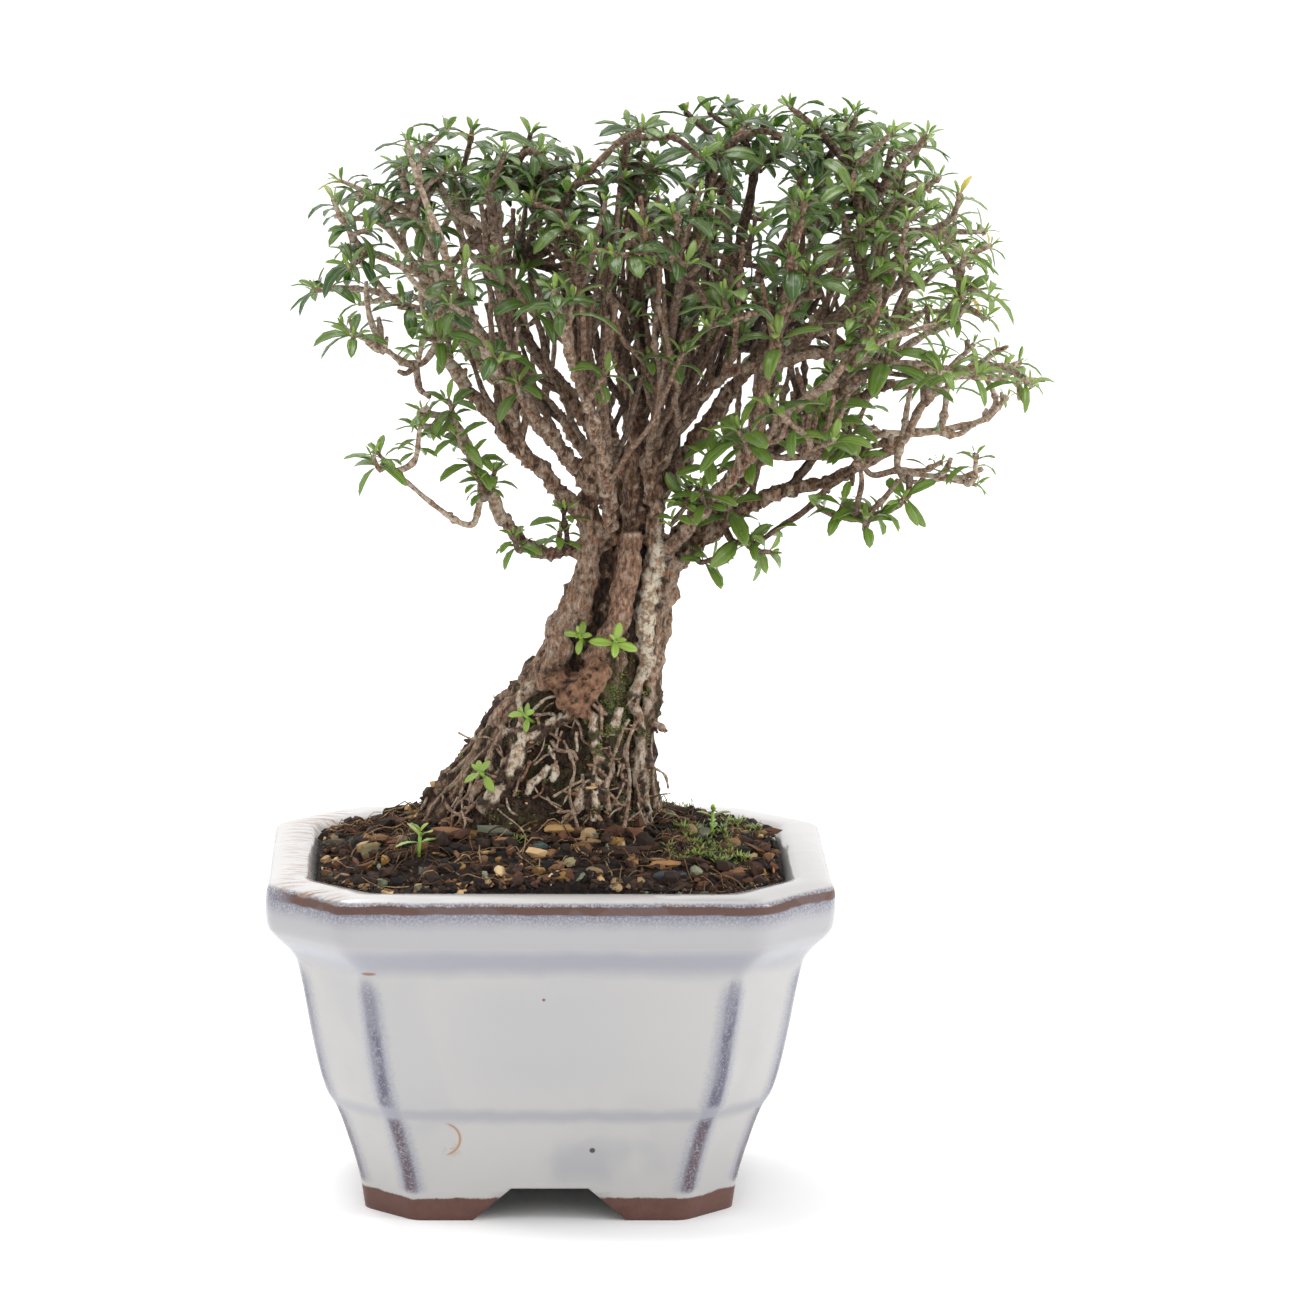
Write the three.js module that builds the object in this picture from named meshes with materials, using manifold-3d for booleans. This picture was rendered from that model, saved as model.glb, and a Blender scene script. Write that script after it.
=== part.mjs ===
// Serissa bonsai in a glazed pot with cut corners. Millimetres, +Z up.
// The tree is laid out round the middle of the pot's foot; the whole is then moved so that
// the origin is on the ground, under the middle of its extent.
import * as THREE from "three";
import { mergeVertices } from "three/addons/utils/BufferGeometryUtils.js";
import Module from "manifold-3d";

const wasm = await Module();
wasm.setup();

// ---------- driving dimensions ----------
const GAP = 0.35; // clear space between two pieces that touch
const SEED = 7;

// The pot's own heights are above the ground; the tree and the soil are laid out from a level
// this much higher.
const LAYOUT_LEVEL = 1.8;
const POT_HEIGHT = 79.8;
const POT_DEPTH_RATIO = 0.8; // depth of the pot over its width
const CORNER_CUT = 0.27; // cut corner over half the width
// Half the width of the outside at each height: feet, waist, ledge, flare, rim band, rounded lip.
const POT_OUTSIDE = [
  [0, 42.8],
  [8.5, 44],
  [19.5, 47.4],
  [25, 49.3],
  [29, 52],
  [40.8, 54.8],
  [59.8, 57.9],
  [63.3, 60],
  [67.3, 64],
  [69.8, 65.5],
  [77.3, 65.5],
  [79.2, 64.7],
  [POT_HEIGHT, 63],
];
const POT_FLOOR = 15.8;
// The inside, from the lip down to the floor.
const POT_INSIDE = [
  [POT_HEIGHT, 56],
  [77.8, 54],
  [67.8, 52.5],
  [31.8, 46],
  [POT_FLOOR, 38],
];
const ARCH_WIDTH = 35.5; // gap between two feet, at the ground
const ARCH_TOP_WIDTH = 17.8;
const ARCH_HEIGHT = 7.9;
const FOOT_RECESS = [31, 24, 7.4]; // half width, half depth and height of the hollow under the pot
const DRAIN_RADIUS = 7;
const DRAIN_SIDES = 16;
const CUT_LENGTH = 160; // longer than the pot is wide

const SCREEN_THICK = 1.2;
const SCREEN_MESH = 6; // one opening of the screen
const SCREEN_BAR = 1.8;
const SCREEN_SIZE = 3 * SCREEN_MESH + 4 * SCREEN_BAR;
const WIRE_RADIUS = 0.7;

const SOIL_EDGE = 76.3; // height of the soil at the pot's wall
const MOUND_RISE = 11.7; // rise of the mound round the trunk
const MOUND_REACH = [60, 48];

// The trunk's foot and body: height, left edge, right edge, half depth.
const TRUNK_SECTIONS = [
  [79, -31, 29, 25],
  [90, -27.5, 24.5, 22],
  [98, -21.5, 23, 18],
  [105, -16, 23, 15.5],
  [112, -11, 24, 13.5],
  [119, -6, 24.5, 12],
  [126, -2, 25, 10.5],
  [133, 0.5, 26, 9],
  [140, 4, 27.5, 8],
  [147, 6.5, 28, 7],
  [152, 9, 26.5, 5.5],
];
const TRUNK_SIDES = 14;
const TRUNK_FLUTES = 5;
const TRUNK_FLUTE_DEPTH = 0.09;

// Surface roots, as [side, height] down the trunk. The side runs from -1 at its left edge to 1 at
// its right edge, on the front or the back, and a root sinks into the soil at its end.
const ROOTS = [
  {
    front: true, radius: 2.2,
    path: [
      [0.55, 146], [0.5, 136], [0.72, 127], [0.66, 116], [0.8, 99], [0.9, 82],
    ],
  },
  {
    front: true, radius: 2.6,
    path: [
      [0.1, 124], [-0.25, 112], [-0.5, 103], [-0.48, 95], [-0.5, 82],
    ],
  },
  { front: true, radius: 1.8, path: [[0.3, 118], [0.16, 106], [0.28, 96], [0.2, 82]] },
  { front: true, radius: 1.4, path: [[-0.1, 110], [0.02, 102], [-0.1, 94], [-0.2, 82]] },
  { front: true, radius: 1.9, path: [[-0.6, 120], [-0.75, 108], [-0.72, 96], [-0.85, 82]] },
  { front: false, radius: 2.4, path: [[0.4, 140], [0.3, 124], [0.5, 108], [0.55, 94], [0.7, 82]] },
  { front: false, radius: 2.6, path: [[0, 132], [-0.1, 116], [0.1, 102], [0, 82]] },
  { front: false, radius: 2.2, path: [[-0.4, 126], [-0.5, 110], [-0.6, 96], [-0.7, 82]] },
];
const ROOT_SIDES = 4;

// Burls and knobs on the trunk: side, height, whether at the front, half width, height and depth.
const BURLS = [
  [0.12, 117.5, true, 6.3, 6, 3.4],
  [-0.9, 130.5, true, 3, 3, 3],
  [0.92, 137, true, 3, 2.8, 3],
  [0.95, 106, true, 3, 2.4, 3],
  [0.3, 130, false, 4, 4, 3],
];

// Upright stems above the trunk's body.
const STEMS = [
  {
    radii: [3.4, 2.6],
    route: [
      [6, -2, 136], [8.5, -3, 147], [9.7, -4, 152], [8.5, -4, 158], [9, -6, 166], [10, -8, 174],
    ],
  },
  {
    radii: [4.2, 3],
    route: [
      [14, 0, 138], [18, 0, 147], [19.6, 0, 155], [19.2, 0, 165], [19.6, 1, 172], [20, 3, 180],
    ],
  },
  { radii: [3.6, 2.8], route: [[14, 6, 140], [15, 9, 151], [16, 11, 162], [15, 14, 172]] },
  { radii: [3.2, 2.6], route: [[22, 3, 140], [24, 5, 152], [25, 6, 163], [26, 6, 174]] },
  { radii: [2.6, 2.2], route: [[22, -3, 140], [24, -4, 150], [24, -4, 160], [23, -5, 170]] },
];

// The limbs. bare is the number of the limb's joints that belong to the trunk, and the rest is a
// leafy branch. A twig names the limb that it grows on and takes that limb's node.
const LIMBS = [
  {
    name: "left_low", bare: 2, radii: [2, 1.1],
    route: [
      [8, -4, 150], [-4, -8, 151], [-11, -11, 159], [-16, -13, 168], [-19, -14, 176],
      [-23, -16, 182], [-30, -19, 185],
    ],
  },
  {
    name: "left_long", bare: 4, radii: [2.4, 1.1],
    route: [
      [15, -3, 152], [5, -8, 162], [-1, -9, 168], [-11, -9, 179], [-20, -7, 189],
      [-26, -5, 199], [-26, -6, 212], [-31, -9, 226], [-35, -10, 240],
    ],
  },
  {
    name: "left_mid", bare: 3, radii: [2.1, 1.1],
    route: [
      [17, 0, 168], [4.8, 4, 184], [-2.7, 6, 194], [-9, 8, 204], [-15, 8, 217], [-20, 7, 226],
      [-24, 8, 240],
    ],
  },
  {
    name: "left_rear", bare: 3, radii: [1.8, 1],
    route: [
      [12, 6, 166], [4, 12, 177], [-5, 17, 184], [-17, 21, 190], [-25, 25, 201], [-34, 27, 216],
      [-41, 27, 229],
    ],
  },
  {
    name: "left_front", bare: 2, radii: [1.7, 0.9],
    route: [
      [6, -7, 170], [-3, -17, 183], [-12, -26, 195], [-20, -33, 209], [-24, -38, 221],
      [-28, -38, 232],
    ],
  },
  {
    name: "left_upright", bare: 2, radii: [1.6, 0.9],
    route: [
      [-6, -9, 173], [-10, -14, 187], [-11, -19, 201], [-12, -24, 215], [-15, -26, 237],
    ],
  },
  {
    name: "left_back", bare: 3, radii: [2, 1],
    route: [
      [13, 8, 158], [4, 20, 168], [-6, 30, 178], [-15, 38, 189], [-24, 44, 201], [-29, 46, 223],
    ],
  },
  {
    name: "centre_front", bare: 2, radii: [1.7, 0.9],
    route: [
      [10, -6, 168], [9, -10, 182], [7, -14, 198], [6, -18, 212], [3, -23, 236],
    ],
  },
  {
    name: "centre_up", bare: 2, radii: [2, 1],
    route: [
      [19, 1, 176], [16, -1, 192], [13, -3, 204], [14, -4, 218], [17, -4, 245],
    ],
  },
  {
    name: "centre_back", bare: 2, radii: [1.9, 1],
    route: [
      [20, 3, 174], [21, 9, 190], [20, 15, 204], [20, 19, 218], [24, 21, 238],
    ],
  },
  {
    name: "middle_front", bare: 2, radii: [1.8, 0.9],
    route: [
      [22, -4, 168], [25, -12, 185], [26, -19, 200], [29, -27, 216], [33, -34, 233],
    ],
  },
  {
    name: "back_left", bare: 2, radii: [2.1, 1],
    route: [
      [16, 12, 164], [13, 26, 178], [9, 38, 191], [4, 47, 206], [3, 50, 226],
    ],
  },
  {
    name: "back_right", bare: 2, radii: [2.1, 1],
    route: [
      [23, 10, 160], [30, 26, 176], [36, 40, 190], [41, 48, 206], [43, 50, 228],
    ],
  },
  {
    name: "low_front", bare: 3, radii: [2, 0.9],
    route: [
      [14, -7, 156], [12, -20, 172], [8, -33, 188], [3, -44, 202], [0, -50, 217],
    ],
  },
  {
    name: "right_low", bare: 5, radii: [2.6, 0.9],
    route: [
      [24, -1, 140], [29, -1, 147], [38, -2, 154.5], [50, -4, 163], [61, -6, 166],
      [72, -8, 171], [81, -9, 177.5], [86, -9, 186], [92, -9, 190],
    ],
  },
  {
    name: "right_mid", bare: 5, radii: [2.4, 0.9],
    route: [
      [27, 3, 146], [38, 5, 156], [45, 7, 165], [56, 8, 177], [68, 7, 183], [80, 5, 188],
      [92, 4, 190], [106, 3, 190],
    ],
  },
  {
    name: "right_front_high", bare: 3, radii: [1.6, 0.9],
    route: [
      [24, -5, 168], [31, -10, 183], [40, -14, 193], [51, -19, 196], [63, -23, 199],
      [76, -25, 197], [88, -26, 198],
    ],
  },
  {
    name: "right_rear_mid", bare: 2, radii: [1.4, 0.8],
    route: [
      [56, 8, 177], [66, 14, 177], [79, 21, 174], [92, 25, 174], [103, 27, 177], [108, 27, 182],
    ],
  },
  {
    name: "right_long", bare: 5, radii: [2.4, 1],
    route: [
      [24, 3, 160], [35, 4, 177], [45, 4, 191], [54, 3, 202], [58, 2, 211], [64, 1, 219],
      [71, 0, 225], [76, -2, 234], [86, -3, 247],
    ],
  },
  {
    name: "right_front_up", bare: 2, radii: [1.5, 0.8],
    route: [
      [46, 3, 192], [56, -10, 200], [63, -18, 206], [71, -24, 213], [74, -27, 225],
    ],
  },
  {
    name: "right_rear_up", bare: 2, radii: [1.5, 0.8],
    route: [
      [50, 4, 197], [61, 13, 200], [72, 19, 201], [82, 23, 209], [94, 22, 214],
    ],
  },
  {
    name: "right_tip", bare: 2, radii: [1.4, 0.8],
    route: [
      [60, 8, 179.5], [66, -4, 187], [75, -10, 194], [86, -13, 203], [94, -14, 209],
    ],
  },
  {
    name: "back_far_right", bare: 3, radii: [2, 0.9],
    route: [
      [26, 8, 148], [39, 21, 160], [52, 33, 171], [64, 41, 181], [77, 45, 191], [86, 44, 206],
    ],
  },
  {
    name: "front_far_right", bare: 3, radii: [1.9, 0.9],
    route: [
      [27, -4, 150], [36, -16, 163], [45, -28, 176], [54, -37, 188], [65, -43, 199],
      [73, -43, 211],
    ],
  },
  {
    name: "top_middle", bare: 3, radii: [2, 1],
    route: [
      [25, 6, 172], [33, 9, 188], [40, 11, 203], [44, 11, 220], [49, 9, 250],
    ],
  },
  {
    name: "top_left", bare: 2, radii: [1.7, 0.9],
    route: [
      [26, -2, 170], [29, -3, 188], [31, -5, 206], [33, -7, 221], [38, -8, 244],
    ],
  },
  {
    name: "top_rear", bare: 1, radii: [1.5, 0.9],
    route: [
      [38, 11, 200], [49, 20, 212], [59, 27, 224], [68, 30, 244],
    ],
  },
  {
    name: "back_high", bare: 1, radii: [1.5, 0.9],
    route: [
      [45, 27, 166], [53, 38, 182], [58, 46, 198], [62, 48, 214], [64, 47, 230],
    ],
  },
  {
    name: "front_high", bare: 1, radii: [1.5, 0.9],
    route: [
      [42, -24, 172], [47, -34, 188], [50, -40, 205], [53, -42, 222], [56, -40, 236],
    ],
  },
  {
    name: "right_shoulder", bare: 1, radii: [1.5, 0.9],
    route: [
      [58, 2, 211], [67, 9, 219], [77, 12, 226], [90, 11, 236],
    ],
  },
];
const TWIGS = [
  {
    on: "left_low", radii: [0.9, 0.6],
    route: [
      [-10, -11, 157], [-18, -14, 158], [-26, -16, 162], [-33, -17, 168], [-40, -16, 175],
    ],
  },
  {
    on: "left_long", radii: [0.9, 0.6],
    route: [
      [-26, -6, 210], [-20, -5, 221], [-14, -4, 228], [-11, -3, 240],
    ],
  },
  {
    on: "left_long", radii: [0.9, 0.6],
    route: [
      [-24, -6, 196], [-31, -8, 194], [-39, -9, 198], [-48, -9, 203],
    ],
  },
  { on: "left_long", radii: [0.9, 0.6], route: [[-29, -8, 218], [-38, -12, 219], [-47, -13, 221]] },
  { on: "left_long", radii: [0.8, 0.6], route: [[-32, -9, 229], [-42, -5, 233], [-49, -3, 236]] },
  {
    on: "left_mid", radii: [0.9, 0.6],
    route: [
      [-9, 8, 204], [-7, 7, 216], [-4, 6, 228], [-2, 5, 241],
    ],
  },
  {
    on: "right_low", radii: [1, 0.6],
    route: [
      [70, -8, 170], [80, -11, 170.5], [89, -12, 169], [98, -12, 167],
    ],
  },
  {
    on: "right_low", radii: [0.9, 0.6],
    route: [
      [54, -5, 164], [61, -10, 163], [69, -13, 159], [76, -14, 161],
    ],
  },
  { on: "right_low", radii: [0.9, 0.6], route: [[61, -6, 166], [62, -8, 173], [64, -9, 181]] },
  { on: "right_long", radii: [1, 0.6], route: [[66, 1, 221], [69, -3, 236], [67, -5, 251]] },
];

const LIMB_STEP = 14; // spacing of the joints along limbs and twigs
const TWIG_STEP = 11;
const TWIG_RADII = [0.9, 0.75];

// The crown: the height of its top and of its underside along X, and its half depth.
const CROWN_TOP = [
  [-56, 208], [-48, 236], [-36, 246], [-22, 250], [-5, 249], [8, 243], [20, 252], [35, 255],
  [50, 253], [70, 256], [84, 250], [93, 240], [103, 222], [111, 205], [118, 192],
];
const CROWN_UNDERSIDE = [
  [-56, 199], [-40, 180], [-28, 178], [-15, 196], [10, 204], [40, 196], [60, 176], [76, 164],
  [96, 164], [118, 184],
];
const CROWN_MIDDLE = 30;
const CROWN_HALF_WIDTH = 92;
const CROWN_HALF_DEPTH = 58;
const CROWN_SHOULDER = 0.8; // how squarely the top turns down to the front and back
// Seeded twigs end in whorls thrown into this box, each kept by a share that depends on how far
// up the crown it is: [least level, share].
const THROW_BOX = [
  [-56, 118],
  [-58, 58],
  [160, 256],
];
const KEEP_SHARES = [
  [0.72, 1],
  [0.4, 0.5],
  [0, 0.25],
];
const WHORL_SPACING = 15;
const WHORL_TRIES = 4000;
const WHORL_LIMIT = 50;
const TWIG_REACH = [6, 46]; // shortest and longest seeded twig
const TWIG_OPTIONS = 5; // joints tried for one twig
const TWIG_PULL = 0.45; // how far a twig keeps the limb's heading, over its length
const TWIG_SWAY = 0.08;
const TWIG_ROOM = 0.9; // least clear space round a seeded twig
const FAR_AWAY = 75; // wood farther than this from a twig's foot is left out of its clearance

const LEAF_LENGTH = 11.5;
const LEAF_WIDTH = 3.9;
const LEAF_THICK = 0.7;

// ---------- small vector helpers ----------
const add = (a, b) => [a[0] + b[0], a[1] + b[1], a[2] + b[2]];
const sub = (a, b) => [a[0] - b[0], a[1] - b[1], a[2] - b[2]];
const mul = (a, k) => [a[0] * k, a[1] * k, a[2] * k];
const dot = (a, b) => a[0] * b[0] + a[1] * b[1] + a[2] * b[2];
function cross([ax, ay, az], [bx, by, bz]) {
  return [ay * bz - az * by, az * bx - ax * bz, ax * by - ay * bx];
}

const size = (a) => Math.sqrt(dot(a, a));
const unit = (a) => mul(a, 1 / (size(a) || 1));
const mix = (a, b, t) => a + (b - a) * t;
const mixed = (a, b, t) => [mix(a[0], b[0], t), mix(a[1], b[1], t), mix(a[2], b[2], t)];
const clamp = (x, lo, hi) => Math.min(hi, Math.max(lo, x));

// A seeded stream of numbers from 0 to 1.
function random(seed) {
  let state = seed >>> 0;
  return () => {
    state = (state + 0x6d2b79f5) >>> 0;
    let t = state;
    t = Math.imul(t ^ (t >>> 15), t | 1);
    t ^= t + Math.imul(t ^ (t >>> 7), t | 61);
    return ((t ^ (t >>> 14)) >>> 0) / 4294967296;
  };
}

// The value at x of a line through rows of [x, value...].
function along(rows, x, column = 1) {
  let i = 1;
  while (i < rows.length - 1 && rows[i][0] < x) i++;
  const t = clamp((x - rows[i - 1][0]) / (rows[i][0] - rows[i - 1][0]), 0, 1);
  return mix(rows[i - 1][column], rows[i][column], t);
}

// ---------- closed surfaces ----------
// A skin over rings of points, all of one length; a ring of one point is a pole.
function skin(rings) {
  const points = rings.flat();
  const faces = [];
  let start = 0;
  for (let k = 0; k + 1 < rings.length; k++) {
    const a = rings[k].length;
    const b = rings[k + 1].length;
    const next = start + a;
    const n = Math.max(a, b);
    for (let i = 0; i < n; i++) {
      const j = (i + 1) % n;
      if (a === 1) faces.push([start, next + j, next + i]);
      else if (b === 1) faces.push([start + i, start + j, next]);
      else faces.push([start + i, start + j, next + j], [start + i, next + j, next + i]);
    }
    start = next;
  }
  const first = rings[0].length;
  const last = rings[rings.length - 1].length;
  for (let i = 1; i + 1 < first; i++) faces.push([0, i + 1, i]);
  for (let i = 1; i + 1 < last; i++) faces.push([start, start + i, start + i + 1]);
  return body(points, faces);
}

function body(points, faces) {
  let volume = 0;
  for (const [a, b, c] of faces) volume += dot(points[a], cross(points[b], points[c]));
  const turned = volume < 0 ? faces.map(([a, b, c]) => [a, c, b]) : faces;
  return new wasm.Manifold(
    new wasm.Mesh({
      numProp: 3,
      vertProperties: new Float32Array(points.flat()),
      triVerts: new Uint32Array(turned.flat()),
    }),
  );
}

// A three.js geometry as a solid.
function solid(geometry) {
  const bare = geometry.index ? geometry.toNonIndexed() : geometry.clone();
  bare.deleteAttribute("normal");
  bare.deleteAttribute("uv");
  const merged = mergeVertices(bare, 1e-4);
  return new wasm.Manifold(
    new wasm.Mesh({
      numProp: 3,
      vertProperties: merged.attributes.position.array,
      triVerts: new Uint32Array(merged.index.array),
    }),
  );
}

const joined = (solids) => wasm.Manifold.union(solids);

// The largest of a solid's separate bodies.
function largest(shape) {
  const bodies = shape.decompose();
  return bodies.reduce((a, b) => (a.volume() > b.volume() ? a : b));
}

// A round stick through points, with one radius for each, flat at both ends.
function stick(points, radii, sides) {
  const rings = [];
  let side = null;
  for (let i = 0; i < points.length; i++) {
    const before = points[Math.max(0, i - 1)];
    const after = points[Math.min(points.length - 1, i + 1)];
    const forward = unit(sub(after, before));
    const old = side || (Math.abs(forward[2]) < 0.9 ? [0, 0, 1] : [1, 0, 0]);
    side = unit(sub(old, mul(forward, dot(old, forward))));
    const up = cross(forward, side);
    rings.push(circle(points[i], side, up, radii[i], sides));
  }
  return skin(rings);
}

function circle(centre, side, up, radius, sides) {
  const ring = [];
  for (let k = 0; k < sides; k++) {
    const angle = (2 * Math.PI * k) / sides;
    ring.push(add(centre, add(mul(side, radius * Math.cos(angle)), mul(up, radius * Math.sin(angle)))));
  }
  return ring;
}

// ---------- pot ----------
// The pot's cut-corner outline at one height, with each edge split into a number of pieces.
function outline(half, z, pieces = 1, cut = CORNER_CUT * half) {
  const w = half;
  const d = half * POT_DEPTH_RATIO;
  const corners = [
    [w, -d + cut],
    [w, d - cut],
    [w - cut, d],
    [-w + cut, d],
    [-w, d - cut],
    [-w, -d + cut],
    [-w + cut, -d],
    [w - cut, -d],
  ];
  const ring = [];
  corners.forEach((corner, i) => {
    const next = corners[(i + 1) % corners.length];
    for (let k = 0; k < pieces; k++) {
      const t = k / pieces;
      ring.push([mix(corner[0], next[0], t), mix(corner[1], next[1], t), z]);
    }
  });
  return ring;
}

function prism(points, depth) {
  const shape = new THREE.Shape(points.map(([x, y]) => new THREE.Vector2(x, y)));
  return new THREE.ExtrudeGeometry(shape, { depth, bevelEnabled: false });
}

// The gap between two feet, right through under the pot.
function archCut(turn) {
  const half = ARCH_WIDTH / 2;
  const top = ARCH_TOP_WIDTH / 2;
  const slope = (half - top) / ARCH_HEIGHT;
  const low = half + slope;
  const shape = prism([[-low, -1], [low, -1], [top, ARCH_HEIGHT], [-top, ARCH_HEIGHT]], CUT_LENGTH);
  shape.translate(0, 0, -CUT_LENGTH / 2);
  shape.rotateX(Math.PI / 2);
  shape.rotateZ(turn);
  return solid(shape);
}

function makePot() {
  const outside = POT_OUTSIDE.map(([z, half]) => outline(half, z));
  const inside = POT_INSIDE.map(([z, half]) => outline(half, z));
  let pot = skin([...outside, ...inside]);
  const [w, d, h] = FOOT_RECESS;
  const recess = new THREE.BoxGeometry(2 * w, 2 * d, h + 1).translate(0, 0, (h - 1) / 2);
  const drain = new THREE.CylinderGeometry(DRAIN_RADIUS, DRAIN_RADIUS, 3 * POT_FLOOR, DRAIN_SIDES);
  drain.rotateX(Math.PI / 2);
  for (const cut of [archCut(0), archCut(Math.PI / 2), solid(recess), solid(drain)]) {
    pot = pot.subtract(cut);
  }
  return pot;
}

// ---------- drain screen and its wire ----------
const SCREEN_BASE = POT_FLOOR + GAP;
const WIRE_TOP = SCREEN_BASE + SCREEN_THICK + GAP + WIRE_RADIUS;

// A square net of flat bars, three openings a side.
function makeScreen() {
  const bars = [];
  for (const i of [-1.5, -0.5, 0.5, 1.5]) {
    const place = i * (SCREEN_MESH + SCREEN_BAR);
    const bar = new THREE.BoxGeometry(SCREEN_BAR, SCREEN_SIZE, SCREEN_THICK);
    const level = SCREEN_BASE + SCREEN_THICK / 2;
    bars.push(solid(bar.clone().translate(place, 0, level)));
    bars.push(solid(bar.rotateZ(Math.PI / 2).translate(0, place, level)));
  }
  return joined(bars);
}

// A staple: over the screen, down through two of its openings and the drain hole, and bent out.
const WIRE_LEG = 5.6;
const WIRE_END = 3.6; // height of the wire's bent ends under the floor
const WIRE_SIDES = 6;

function makeWire() {
  const half = [
    [WIRE_LEG - 0.8, 0, WIRE_TOP],
    [WIRE_LEG, 0, WIRE_TOP - 0.9],
    [WIRE_LEG, 0, WIRE_END + 2.2],
    [WIRE_LEG + 1.2, -0.6, WIRE_END + 0.8],
    [WIRE_LEG + 7, -3, WIRE_END],
  ];
  const mirrored = [...half].reverse().map(([x, y, z]) => [-x, y, z]);
  const points = [...mirrored, ...half];
  return stick(points, points.map(() => WIRE_RADIUS), WIRE_SIDES);
}

// ---------- trunk ----------
const trunkAt = (z, column) => along(TRUNK_SECTIONS, z, column);

// A point on the trunk's body at a turn round it, pushed out by a distance.
function onTrunk(angle, z, out = 0) {
  const left = trunkAt(z, 1);
  const right = trunkAt(z, 2);
  const depth = trunkAt(z, 3);
  const flute = 1 + TRUNK_FLUTE_DEPTH * Math.cos(TRUNK_FLUTES * angle + z * 0.05);
  const x = (left + right) / 2 + Math.cos(angle) * ((right - left) / 2 * flute + out);
  const y = Math.sin(angle) * (depth * flute + out);
  return [x, y, z];
}

const sideAngle = (side, front) => (front ? -1 : 1) * Math.acos(clamp(side, -0.99, 0.99));

function trunkBody(grow) {
  const rings = TRUNK_SECTIONS.map(([z], row) => {
    const ring = [];
    const shift = row === 0 ? -grow : row === TRUNK_SECTIONS.length - 1 ? grow : 0;
    for (let k = 0; k < TRUNK_SIDES; k++) {
      const [x, y] = onTrunk((2 * Math.PI * k) / TRUNK_SIDES, z, grow);
      ring.push([x, y, z + shift]);
    }
    return ring;
  });
  return skin(rings);
}

function rootSolid({ front, radius, path }, grow) {
  const points = path.map(([side, z]) => onTrunk(sideAngle(side, front), z, radius * 0.35));
  const radii = path.map((_, i) => mix(radius, radius * 0.6, i / (path.length - 1)) + grow);
  return stick(points, radii, ROOT_SIDES);
}

function burlSolid([side, z, front, width, height, depth], grow) {
  const lump = new THREE.IcosahedronGeometry(1, 0);
  lump.scale(width + grow, depth + grow, height + grow);
  return solid(lump.translate(...onTrunk(sideAngle(side, front), z)));
}

// ---------- the tree's joints ----------
// A smooth curve through route points, as points about one step apart.
function smooth(route, step) {
  const points = [route[0]];
  for (let i = 0; i + 1 < route.length; i++) {
    const p0 = route[Math.max(0, i - 1)];
    const p1 = route[i];
    const p2 = route[i + 1];
    const p3 = route[Math.min(route.length - 1, i + 2)];
    const count = Math.max(1, Math.round(size(sub(p2, p1)) / step));
    for (let k = 1; k <= count; k++) {
      const t = k / count;
      points.push(p1.map((v, c) => {
        const a = 2 * v;
        const b = (p2[c] - p0[c]) * t;
        const d = (2 * p0[c] - 5 * v + 4 * p2[c] - p3[c]) * t * t;
        const e = (3 * v - p0[c] - 3 * p2[c] + p3[c]) * t * t * t;
        return (a + b + d + e) / 2;
      }));
    }
  }
  return points;
}

// Every stick of the tree: its points, radii, node and number of bare joints.
const sticks = [];

function addStick(points, radii, node, bare) {
  const last = points.length - 1;
  sticks.push({ points, radii: points.map((_, i) => mix(radii[0], radii[1], i / last)), node, bare });
}

for (const { route, radii } of STEMS) {
  const points = smooth(route, LIMB_STEP);
  addStick(points, radii, "trunk", points.length - 1);
}
for (const { name, route, radii, bare } of LIMBS) {
  const points = smooth(route, LIMB_STEP);
  // The bare joints are counted in route points and end on one of them.
  const cut = points.findIndex((p) => size(sub(p, route[bare])) < 1e-6);
  addStick(points, radii, name, cut);
}
for (const { on, route, radii } of TWIGS) {
  const limb = sticks.find((s) => s.node === on);
  const grown = limb.points.slice(limb.bare + 1);
  const near = grown.reduce((a, b) => (size(sub(a, route[0])) < size(sub(b, route[0])) ? a : b));
  addStick(smooth([near, ...route.slice(1)], TWIG_STEP), radii, on, 0);
}

// The shortest distance between two straight pieces.
function pieceDistance(p1, q1, p2, q2) {
  const d1 = sub(q1, p1);
  const d2 = sub(q2, p2);
  const r = sub(p1, p2);
  const a = dot(d1, d1);
  const e = dot(d2, d2);
  const f = dot(d2, r);
  const c = dot(d1, r);
  const b = dot(d1, d2);
  const denominator = a * e - b * b;
  let s = denominator > 1e-9 ? clamp((b * f - c * e) / denominator, 0, 1) : 0;
  let t = (b * s + f) / e;
  if (t < 0) {
    t = 0;
    s = clamp(-c / a, 0, 1);
  } else if (t > 1) {
    t = 1;
    s = clamp((b - c) / a, 0, 1);
  }
  return size(sub(add(p1, mul(d1, s)), add(p2, mul(d2, t))));
}

// The clear space from a run of points to all wood that belongs to other nodes.
function clearance(points, node) {
  let least = Infinity;
  for (const other of sticks) {
    for (let i = 0; i + 1 < other.points.length; i++) {
      const owner = i < other.bare ? "trunk" : other.node;
      if (owner === node) continue;
      const reach = size(sub(other.points[i], points[0]));
      if (reach > FAR_AWAY) continue;
      for (let k = 0; k + 1 < points.length; k++) {
        const gap = pieceDistance(points[k], points[k + 1], other.points[i], other.points[i + 1]);
        least = Math.min(least, gap - other.radii[i]);
      }
    }
  }
  return least;
}

// ---------- whorls: the ends of the twigs ----------
const draw = random(SEED);
const whorls = [];
for (const { points, node } of sticks) {
  if (node === "trunk") continue;
  const end = points[points.length - 1];
  whorls.push({ at: end, axis: unit(sub(end, points[points.length - 2])), node });
}

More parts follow.
